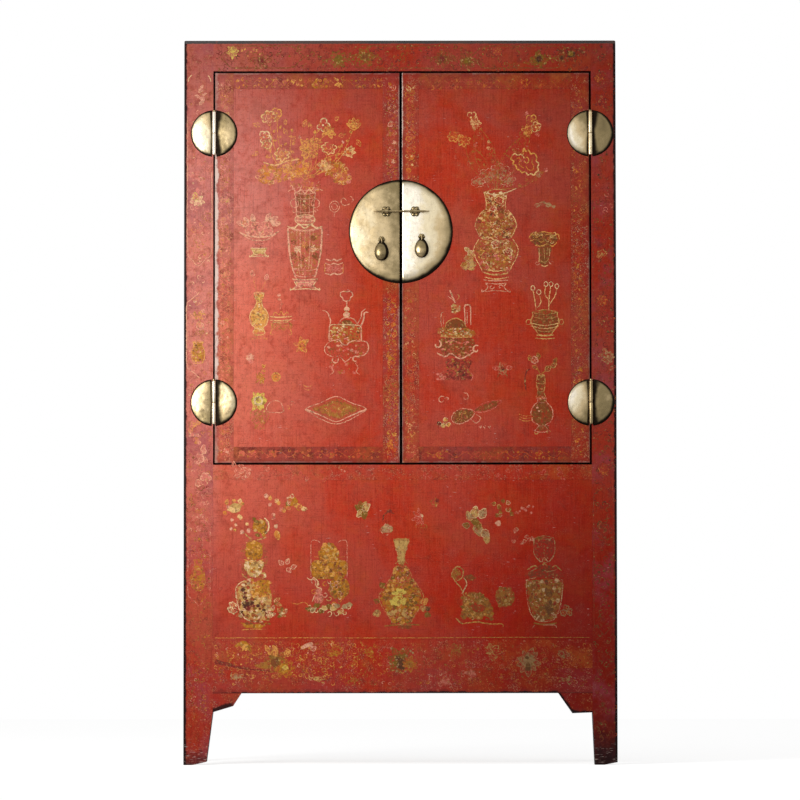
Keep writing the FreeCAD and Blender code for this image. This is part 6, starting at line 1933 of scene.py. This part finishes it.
def secondVase(b):
    body = [(9, 3), (13, 10), (20, 21), (22, 30), (18, 38), (12, 46), (9, 53), (5, 60)]
    mottled(b, 0, 0, body, "ochre gold olive brown ochre bronze", 210, 0.80, 2.4, ("ochre", 0.66))
    for k in range(22):
        b.wash(ragged(b, b.between(-10, 4), 29 + b.between(-8, 8), 2.8), "lemon", 0.92)
    specks(b, 16, (-14, 10), (7, 16), 2.4, "straw", 0.8)
    vessel(b, 0, 0, body, "straw", 0.46, bands=(10, 34, 46), marks=36, markTones="gold brown cream olive")
    mottled(b, 0, 0, [(3, 62), (4, 72), (7.5, 86)], "straw cream grey", 40, 0.80, 1.9, ("straw", 0.85))
    mottled(b, 0, 0, [(12, 3), (8, 8)], "brown olive dark", 24, 0.75, 2.0)
    b.line([(-7.5, 87), (-3, 68), (-6, 62)], "straw", 0.7)
    b.line([(7.5, 87), (3, 68), (6, 62)], "straw", 0.7)
    plum(b, 0, 47, 4, "blush", 0.8, "rosy")
    for u, v, way, tone in ((19, 17, 10, "straw"), (23, 12, -20, "olive"), (20, 22, 40, "gold"),
                            (-22, 24, 160, "olive"), (-21, 14, 200, "straw"), (-16, 38, 140, "olive"),
                            (24, 16, 30, "dark")):
        leaf(b, u, v, b.near(7), way, 0.4, tone, 0.66, tone)
    b.line([(-17, 0), (0, 1.5), (18, 1)], "bronze", 0.75, 1.4)
    b.wash(ragged(b, 4, -1, 10, 0.25), "brown", 0.6)


def creamLily(b):
    for u, v, way, size in ((-2, 6, 80, 12), (-4, 4, 120, 10), (4, 6, 60, 11), (0, 0, -70, 13),
                            (6, -6, -50, 11), (-6, -2, 170, 8), (3, 2, -100, 10), (10, -12, -80, 8)):
        leaf(b, u, v, size, way, 0.36, b.pick("straw grey cream"), 0.7, b.pick("straw grey olive"))
    b.wash(ragged(b, -1, 2, 5), "olive", 0.7)


def beast(b):
    # a crouching beast, its head turned back, with a round fan behind it
    back = [(-14, 4), (-15, 14), (-13, 25), (-8, 32), (-1, 33), (6, 30), (13, 25), (18, 15), (16, 5),
            (9, 7), (3, 3), (-5, 7)]
    b.wash(back, "bronze", 0.78)
    for k in range(120):
        u, v = b.between(-14, 17), b.between(4, 31)
        if v < 34 - 0.055 * (u + 2) ** 2:
            b.wash(ragged(b, u, v, b.near(2.3, 0.5), 0.8, 0.45, 7), b.pick("ochre gold bronze olive"),
                   b.near(0.74, 0.25))
    scrolls(b, 14, (-12, 14), (6, 28), 2.4, "paleGold straw", 0.62, bothWays=True, spread=0.2)
    b.wash(ragged(b, 2, 16, 9, 0.7), "brown", 0.5)
    b.line([(-12, 28), (-15, 36), (-20, 42), (-24, 50), (-19, 57), (-13, 54), (-14, 46), (-19, 43)],
           "straw", 0.72, 1.3)
    b.wash([(-22, 44), (-25, 50), (-20, 56), (-15, 52), (-16, 45)], "bronze", 0.6)
    b.line([(-14, 30), (-9, 40), (-12, 46)], "cream", 0.7, 1.2)
    b.wash(ragged(b, -6, 46, 8, 0.45), "brown", 0.62)
    mottled(b, 29, 18, [(6, 0), (10, 9), (6, 18)], "bronze olive brown straw", 46, 0.66, 2.0,
            ("bronze", 0.7))
    b.line([(-20, 6), (-16, 2), (-13, 0)], "straw", 0.7, 1.2)
    b.line([(-14, 0), (0, 2), (14, 0), (26, 0), (27, -3)], "gold", 0.66, 1.1)


def jar(b):
    body = [(9, 8), (14, 16), (17.5, 32), (18, 48)]
    mottled(b, 0, 0, body, "cream straw brown olive bronze brown", 170, 0.80, 2.4, ("bronze", 0.66))
    for k in range(34):
        b.wash(ragged(b, 4 + b.between(-3, 3), b.between(10, 46), 2.8), b.pick("brown dark bronze"), 0.85)
    for u, v in ((-12, 34), (-9, 30), (-6, 42), (10, 24)):
        b.wash(ragged(b, u, v, 2.2), "dark", 0.55)
    vessel(b, 0, 0, body, "cream", 0.50, marks=26, markTones="brown grey olive")
    b.wash([(-17, 50), (17, 50), (15, 57), (-15, 57)], "wine", 0.5)
    b.line([(-17, 58), (-10, 62), (-4, 59), (0, 64), (5, 59), (11, 62), (17, 57)], "straw", 0.74, 1.3)
    b.line([(-14, 56), (-5, 60), (4, 56), (14, 59)], "grey", 0.7, 1.1)
    b.wash(ragged(b, 0, 60, 12, 0.3), "dark", 0.5)
    vessel(b, 0, 66, [(5, 0), (10, 8), (10.5, 18), (9, 24)], "grey", 0.56, "wine", 0.42, marks=8,
           markTones="grey straw")
    b.line([(-8, 70), (-3, 66), (0, 70), (4, 66), (9, 71)], "cream", 0.66, 1.1)
    b.wash(ragged(b, -5, 89, 5, 0.5), "olive", 0.7)
    for u, v in ((21, 20), (25, 16), (19, 15)):
        plum(b, u, v, 3.2, "grey", 0.66)
    b.line([(-11, 5), (0, 3.4), (12, 5)], "bronze", 0.75, 1.5)
    b.line([(-12, 0), (-10, 3)], "blush", 0.7, 1.3)
    b.line([(12, 0), (10, 3), (-2, 3)], "blush", 0.6, 1.2)


def paintLowerPanel(p, depth, frameDepth):
    spots = lowerPanelSpots

    def brush(name, tone="gold", cover=0.64, **more):
        return Brush(p, spots[name], tone=tone, cover=cover, depth=more.pop("depth", depth), **more)
    firstVase(brush("firstVase"))
    firstFlowers(brush("firstFlowers"))
    b = brush("twig")
    for u, v, way in ((-3, 3, 130), (1, 0, -50), (5, 0, 20), (0, 4, 60)):
        leaf(b, u, v, 6, way, 0.36, "blush", 0.66)
    burner(brush("burner"))
    b = brush("lily")
    for way, tone in ((70, "straw"), (110, "olive"), (40, "cream"), (150, "olive"), (230, "cream"),
                      (280, "olive")):
        leaf(b, 0, 0, 9, way, 0.38, tone, 0.74, tone if tone != "cream" else "straw")
    b = brush("barrelShadeAndPatina")
    b.wash(ragged(b, 0, 0, 8, 0.7), "grey", 0.66)
    scrolls(b, 5, (-5, 5), (-4, 4), 2.6, "blush", 0.6)
    b.line([(-4, 8), (-3, 14), (2, 17), (7, 15)], "dark", 0.6, 1.2)
    b.wash(ragged(b, 2, 18, 4, 0.5), "wine", 0.6)
    secondVase(brush("secondVase"))
    b = brush("pinkFlower")
    plum(b, 0, 0, 3.4, "cream", 0.85, "blush")
    for way in (100, 140, 250, 290, 200):
        leaf(b, 0, 0, 9, way, 0.2, "rosy", 0.46)
    scrolls(b, 6, (-6, 5), (-14, -5), 3, "bronze", 0.42)
    b = brush("oliveSmudge")
    b.wash(ragged(b, 0, 0, 6, 1.0, 0.45), "bronze", 0.5)
    b.wash(ragged(b, 3, 2, 3, 1.0, 0.45), "wine", 0.6)
    creamLily(brush("creamLily"))
    b = brush("cluster")
    leaves(b, 12, (-8, 7), (-7, 7), 4.6, 0.4, "straw olive blush", 0.6, fills="olive bronze")
    bud(b, -5, -15, 3, "blush", 0.62)
    for k in range(10):
        bud(b, 13 + k * 1.9, b.between(-6, 2), b.near(1.6), "rosy", 0.55)
    b = brush("berries")
    leaves(b, 9, (-10, 8), (-9, 6), 4, 0.42, "blush", 0.5)
    beast(brush("beast"))
    jar(brush("jar"))
    b = brush("sillMarks", depth=frameDepth)
    leaves(b, 9, (-10, 12), (-6, 6), 6, 0.3, "blush", 0.5)
    b = brush("sillMarksMiddle", depth=frameDepth)
    leaves(b, 14, (-40, 60), (-4, 3), 5, 0.3, "rosy wine blush", 0.38)
    b = brush("sillMarksRight", depth=frameDepth)
    leaves(b, 22, (-20, 150), (-5, 4), 5, 0.3, "rosy wine rosy", 0.34)
    b = brush("line", depth=frameDepth)
    b.line([(3, -0.4), (95, -0.3), (190, -0.5), (285, 0), (376, -0.2)], "gold", 0.62, 0.62, taper=1.0)


apronSpots = {
    "middle": (402, 664), "leftHalf": (290, 660), "ochreLeaf": (243, 648), "darkBloom": (276, 663),
    "pinkFan": (308, 648), "ochreBlob": (335, 652), "ochreSmall": (369, 652), "creamLeft": (237, 677),
    "creamMiddle": (317, 679), "greyRing": (354, 680), "oliveBloom": (402, 662), "olive": (456, 650),
    "straw": (492, 651.6), "greyBloom": (528, 662.7), "pinkSmudge": (471, 673), "pinkLow": (446, 682),
    "greyRight": (563.6, 655), "greyLow": (565, 680),
}


def paintApron(p, depth):
    def brush(name, tone="gold", cover=0.6):
        return Brush(p, apronSpots[name], tone=tone, cover=cover, depth=depth)
    scrollField(brush("middle"), 376, 40, 760, "gold orange blush ochre bronze brown", 0.40, 2.0)
    scrollField(brush("leftHalf"), 150, 38, 340, "gold orange gold ochre", 0.46, 2.0)
    # an old crack at the left
    b = Brush(p, (244, 668), tone="wine", cover=0.85, depth=depth)
    b.wash([(-29, 8), (-18, 6), (-6, 2.5), (8, 0.5), (8, -1.5), (-8, -0.5), (-20, 2.5), (-29, 4)], "wine",
           0.60)
    b.line([(-29, 4.5), (-18, 2.8), (-4, 0), (12, -1.8), (28, -3.2), (40, -3.4)], "wine", 0.95, 1.5)
    b = brush("ochreLeaf")
    b.wash([(-10, 1), (-4, 6), (3, 7), (8, 2), (9, -5), (5, -3), (0, 1), (-5, 2)], "ochre", 0.85)
    b.wash(ragged(b, 2, 1, 5), "gold", 0.75)
    b = brush("darkBloom")
    b.wash([(-22, -3), (-10, 2), (-4, -3), (-6, -7)], "bronze", 0.7)
    bloom(b, 0, 2, 11, "olive", "bronze", 0.85)
    bloom(b, 8, -5, 9, "ochre", "ochre", 0.85)
    b.wash(ragged(b, 9, -5, 5, 0.8), "lemon", 0.6)
    b.wash(ragged(b, -1, 0, 6, 1.2), "brown", 0.9)
    leaves(b, 9, (-12, 12), (6, 12), 7, 0.24, "gold", 0.7, angles=(50, 130))
    b = brush("pinkFan")
    b.wash([(-8, -2), (-4, 4), (4, 6), (6, 0), (2, 1)], "blush", 0.7)
    leaf(b, 3, -2, 6, 30, 0.4, "blush", 0.62)
    for name, tone, r in (("ochreBlob", "ochre", 6.5), ("ochreSmall", "ochre", 5), ("olive", "bronze", 6),
                          ("straw", "straw", 7.5), ("greyRight", "grey", 5)):
        b = brush(name)
        b.wash(ragged(b, 0, 0, r, 0.85, 0.4), tone, 0.72)
        for k in range(6):
            leaf(b, 0, 0, b.near(r * 1.1), b.between(0, 360), 0.35, tone, 0.6)
    for name, tone, r in (("creamLeft", "grey", 6), ("creamMiddle", "straw", 6),
                          ("greyRing", "bronze", 5.5), ("pinkSmudge", "rosy", 8), ("pinkLow", "rosy", 7),
                          ("greyLow", "grey", 5)):
        b = brush(name)
        b.wash(ragged(b, 0, 0, r, 0.7, 0.45), tone, 0.52)
        for k in range(5):
            scroll(b, b.between(-r, r), b.between(-r, r) * 0.6, 2.6, k, 1, tone, 0.66)
    b = brush("oliveBloom")
    bloom(b, -2, 2, 12, "olive", "olive", 0.85)
    b.wash(ragged(b, 0, -2, 8, 1.1, 0.4), "dark", 0.9)
    b.wash(ragged(b, -4, 4, 4, 0.9, 0.4), "dark", 0.8)
    specks(b, 12, (-14, 12), (-10, 14), 1.6, "grey", 0.8, 0.9, 0.4, spread=0.2)
    bloom(b, 8, -2, 7, "bronze", "ochre", 0.75)
    b = brush("greyBloom")
    bloom(b, 0, 1, 12, "grey", "grey", 0.78)
    b.wash(ragged(b, 0, -5, 5, 1.2), "dark", 0.92)
    b.wash(ragged(b, -1, 5, 3, 0.8), "dark", 0.85)


topRailSpots = {"left": (262, 57), "middle": (400, 57), "right": (520, 57), "goldFlower": (233, 52),
                "wineFlower": (261, 61), "oliveFlower": (338, 60), "brownFlower": (365, 57),
                "darkLeft": (442, 59), "oliveRight": (467, 61), "wineRing": (497, 51),
                "darkRight": (539, 59), "darkPair": (562, 58), "darkEnd": (571, 54),}


def paintTopRail(p, depth):
    def brush(name, tone="gold", cover=0.6):
        return Brush(p, topRailSpots[name], tone=tone, cover=cover, depth=depth)
    scrollField(brush("middle"), 390, 26, 430, "brown wine dark wine olive wine", 0.66, 2.3)
    for name, w in (("left", 86), ("middle", 110), ("right", 100)):
        b = brush(name)
        b.turn = math.radians(90)
        cartouche(b, 22, w, 16, "brown", 0.62, 1.1)
    b = brush("goldFlower")
    daisy(b, 0, 0, 6, "lemon", 0.62, "straw", 8)
    for k in range(7):
        bud(b, 9 + 3 * k, b.between(-4, 3), b.near(1.3), "gold", 0.5)
    for name, core, edge, r in (("wineFlower", "wine", "brown", 7), ("oliveFlower", "olive", "olive", 7.5),
                                ("brownFlower", "brown", "olive", 8), ("darkLeft", "wine", "brown", 7),
                                ("oliveRight", "olive", "brown", 7.5), ("darkRight", "dark", "olive", 7.5),
                                ("darkPair", "dark", "brown", 5), ("darkEnd", "olive", "dark", 6)):
        b = brush(name)
        bloom(b, 0, 0, r * 1.1, core, edge, 0.80)
        for side in (-1, 1):
            stem(b, (side * 4, 0), (side * (r + 9), b.between(-4, 4)), leaves=3, tone=edge, cover=0.62)
    b = brush("wineRing")
    peony(b, 0, 0, 6, "wine", 0.6)


postSpots = {"sprig": (200.5, 95), "arch": (199.5, 74), "yellow": (197, 201), "scrolls": (199, 232),
             "pinkUpper": (200, 172), "upperField": (199.5, 212), "middleField": (199.5, 335),
             "potFlower": (198, 318), "potVase": (198, 363), "leafy": (195, 432), "spray": (201, 457),
             "pinkBlossom": (206, 477), "lowVase": (198, 590), "lowField": (199, 560),
             "lowSprig": (200, 510), "lowScroll": (199, 690), "leg": (198, 720), "topCorner": (200, 60),
             "rightTop": (599, 78), "rightFlower": (601, 100), "rightScroll": (604, 205),
             "rightLeaf": (602, 255), "rightArcs": (602, 300), "rightDark": (603, 322),
             "rightGrey": (608, 358), "rightField": (603, 250), "rightFieldLow": (604, 560),
             "rightLow": (604, 470), "rightLower": (605, 530), "rightBand": (604, 690),}


def paintPosts(p, depth):
    def brush(name, tone="blush", cover=0.6):
        return Brush(p, postSpots[name], tone=tone, cover=cover, depth=depth)
    b = brush("sprig")
    for k in range(9):
        leaf(b, b.between(-3, 3), 6 - 2 * k, 5, b.chance.choice((60, 120, 20, 160)), 0.24, "blush", 0.62)
    b = brush("arch")
    for side in (-1, 1):
        b.line([(side * 8, -1), (side * 10.5, -4), (side * 11.5, -8)], "cream", 0.7, 0.9)
    b = brush("upperField")
    b.line([(-12, 96), (-12, 40), (-12, -36), (-7, -48), (-1, -54), (6, -47), (12, -36), (12, 40)],
           "blush", 0.60, 0.9, taper=0.9)
    b = brush("middleField")
    cartouche(b, 25.5, 86, 14, "blush", 0.66, 0.95)
    b = brush("lowField")
    cartouche(b, 22, 92, 14, "blush", 0.34, 0.9)
    b = brush("pinkUpper")
    for k in range(8):
        leaf(b, b.between(-7, 7), 12 - 4 * k, b.near(6), b.between(0, 360), 0.3, "rosy", 0.45)
    b = brush("yellow")
    daisy(b, 0, 0, 6.5, "cream", 0.66, "straw", 9)
    plum(b, -1, 4, 4, "lemon", 0.66)
    b = brush("scrolls")
    for k in range(15):
        scroll(b, b.between(-6, 6), 14 - 3 * k, b.near(2.6), b.between(0, 6), b.side(),
               b.pick("blush bronze gold cream"), 0.52)
    b = brush("potFlower")
    leaves(b, 10, (-4, 4), (-18, 6), 5, 0.3, "gold bronze blush", 0.62, angles=(20, 160))
    daisy(b, 1, 3, 5, "gold", 0.62, petals=8)
    plum(b, 2, -8, 3.4, "blush", 0.6)
    vessel(brush("potVase"), 0, 0, [(4, 0), (6.5, 6), (6.5, 12), (4, 18), (5.5, 21)], "gold", 0.66,
           "ochre", 0.66, bands=(17,), marks=9, markTones="lemon gold brown")
    b = brush("leafy")
    leaves(b, 12, (-5, 6), (-11, 10), 4.6, 0.36, "gold blush ochre", 0.55, spread=0.2)
    b = brush("spray")
    leaves(b, 9, (-5, 5), (-8, 8), 6, 0.34, "blush", 0.62, angles=(20, 160))
    b = brush("pinkBlossom")
    plum(b, 0, 0, 5, "blush", 0.62, "rosy")
    plum(b, -7, -6, 3.6, "blush", 0.5)
    vessel(brush("lowVase", "ochre"), 0, 0, [(4, 0), (7, 8), (6, 18), (3, 24), (4.5, 30)], "ochre", 0.58,
           "ochre", 0.55, bands=(18,), marks=9, markTones="gold brown")
    b = brush("lowSprig")
    leaves(b, 16, (-6, 6), (-28, 14), 4.6, 0.32, "blush ochre rosy", 0.45)
    b = brush("lowScroll", "bronze")
    scrollField(b, 18, 60, 34, "bronze blush ochre", 0.38)
    for name, kind, tone, r in (("rightTop", "peony", "wine", 6), ("rightFlower", "daisy", "wine", 6),
                                ("rightArcs", "peony", "wine", 7), ("rightDark", "daisy", "wine", 7),
                                ("rightGrey", "daisy", "grey", 6), ("rightLow", "peony", "wine", 7),
                                ("rightLower", "daisy", "wine", 7)):
        b = brush(name)
        flowers[kind](b, 0, 0, r, tone, 0.62)
        leaves(b, 5, (-6, 6), (-14, 14), 5, 0.3, tone, 0.5)
    b = brush("rightLeaf")
    for way in (30, 80, 140, 200):
        leaf(b, 0, 0, 6, way, 0.36, "straw", 0.5)
    b = brush("rightScroll")
    scrolls(b, 10, (-7, 7), (-24, 24), 2.8, "wine rosy", 0.5)
    for name, h in (("rightField", 130), ("rightFieldLow", 150)):
        cartouche(brush(name), 20, h, 14, "wine", 0.5, 0.9)
    scrollField(brush("rightField"), 22, 420, 240, "wine dark brown wine", 0.64, 2.5)
    scrollField(brush("rightFieldLow"), 22, 360, 210, "wine dark brown", 0.66, 2.5)
    scrollField(brush("middleField"), 21, 500, 230, "blush rosy bronze cream ochre", 0.42, 2.3)
    scrollField(brush("lowField"), 21, 300, 190, "ochre bronze brown wine brown", 0.50, 2.3)


fields = {
    "doorSeed": 11, "carcassSeed": 31,
    "clearOfPosts": 1,      # mm, between the painting of the rails and the posts
    "intoBottomRail": 12,   # mm, how far the lower panel's painting goes down over the rail below it
}


def paintCabinet():
    paint = paintMaterial()
    recess = (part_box("door_left_panel")[0].y - frontFace) / mm
    print("panels lie", round(recess, 2), "mm back")

    def field(first, last, inset=1.2):
        low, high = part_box(first)[0] / mm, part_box(last)[1] / mm
        return (low.x + inset, high.x - inset, low.z + inset, high.z - inset)
    for seed, (side, draw, first, last) in enumerate((
            ("left", paintLeftDoor, "door_left_hinge_stile", "door_left_lock_stile"),
            ("right", paintRightDoor, "door_right_lock_stile", "door_right_hinge_stile"))):
        p = Painting(fields["doorSeed"] + seed, [field(first, last)])
        draw(p, 0.0, recess)
        p.build("painting" + side.title() + "Door", "door_" + side, paint)
    posts = [field("post_front_left", "post_front_left"), field("post_front_right", "post_front_right")]
    low, high = leftOpening / mm + fields["clearOfPosts"], rightOpening / mm - fields["clearOfPosts"]
    sill, rail, apron, head = (field(n, n) for n in ("front_sill_rail", "front_bottom_rail", "front_apron",
                                                     "front_top_rail"))
    panelFoot = rail[3] - fields["intoBottomRail"]
    for seed, (name, draw, depths, own) in enumerate((
            ("paintingLowerPanel", paintLowerPanel, (recess, 0.0), [(low, high, panelFoot, sill[3])]),
            ("paintingApron", paintApron, (0.0,), [(low, high, apron[2], rail[3])]),
            ("paintingTopRail", paintTopRail, (0.0,), [(low, high, head[2], head[3])]),
            ("paintingPosts", paintPosts, (0.0,), posts))):
        p = Painting(fields["carcassSeed"] + seed, own)
        draw(p, *depths)
        p.build(name, "carcass", paint)


paintCabinet()
print("painting made")

# floor, lamps and background
studio = {
    "floorSize": 16.0,
    "floorTone": 0.86,
    "floorGlow": 0.72,
    "fill": 0.30,
    "keyPower": 36.0, "keyAt": (-1.25, -2.35, 1.25), "keyAim": (-0.3, -0.25, 1.05), "keySize": 0.9,
    "topPower": 8.0, "topAt": (-0.6, -2.6, 3.4), "topAim": (0, -0.2, 0.9), "topSize": 2.2,
}


def lamp(name, at, aim, size, power):
    data = bpy.data.lights.new(name, "AREA")
    data.shape = "SQUARE"
    data.size = size
    data.energy = power
    made = bpy.data.objects.new(name, data)
    bpy.context.scene.collection.objects.link(made)
    made.location = at
    made.rotation_euler = (Vector(aim) - Vector(at)).to_track_quat("-Z", "Y").to_euler()


def makeStudio():
    lamp("key", studio["keyAt"], studio["keyAim"], studio["keySize"], studio["keyPower"])
    lamp("top", studio["topAt"], studio["topAim"], studio["topSize"], studio["topPower"])
    half = studio["floorSize"] / 2
    mesh = bpy.data.meshes.new("floor")
    mesh.from_pydata([(-half, -half, 0), (half, -half, 0), (half, half, 0), (-half, half, 0)], [],
                     [(0, 1, 2, 3)])
    floor = bpy.data.objects.new("floor", mesh)
    bpy.context.scene.collection.objects.link(floor)
    material = newMaterial("floorWhite")
    shader = node("BsdfDiffuse", {"Color": (studio["floorTone"],) * 3 + (1,)})
    light = node("LightPath")
    share = times(light.outputs["Is Camera Ray"], studio["floorGlow"])
    glow = node("Emission", {"Color": (1, 1, 1, 1), "Strength": share})
    both = node("AddShader", {0: shader.outputs[0], 1: glow.outputs[0]})
    node("OutputMaterial", {"Surface": both.outputs[0]})
    mesh.materials.append(material)
    world = bpy.data.worlds.new("studio")
    bpy.context.scene.world = world
    world.use_nodes = True
    world.node_tree.nodes.clear()
    drawnIn["tree"] = world.node_tree
    light = node("LightPath")
    shown = larger(light.outputs["Is Camera Ray"], larger(light.outputs["Is Glossy Ray"],
                                                          light.outputs["Is Transmission Ray"]))
    strength = larger(shown, studio["fill"])
    back = node("Background", {"Color": (1, 1, 1, 1), "Strength": strength})
    node("OutputWorld", {"Surface": back.outputs[0]})


makeStudio()
bpy.context.scene.view_settings.view_transform = "Standard"
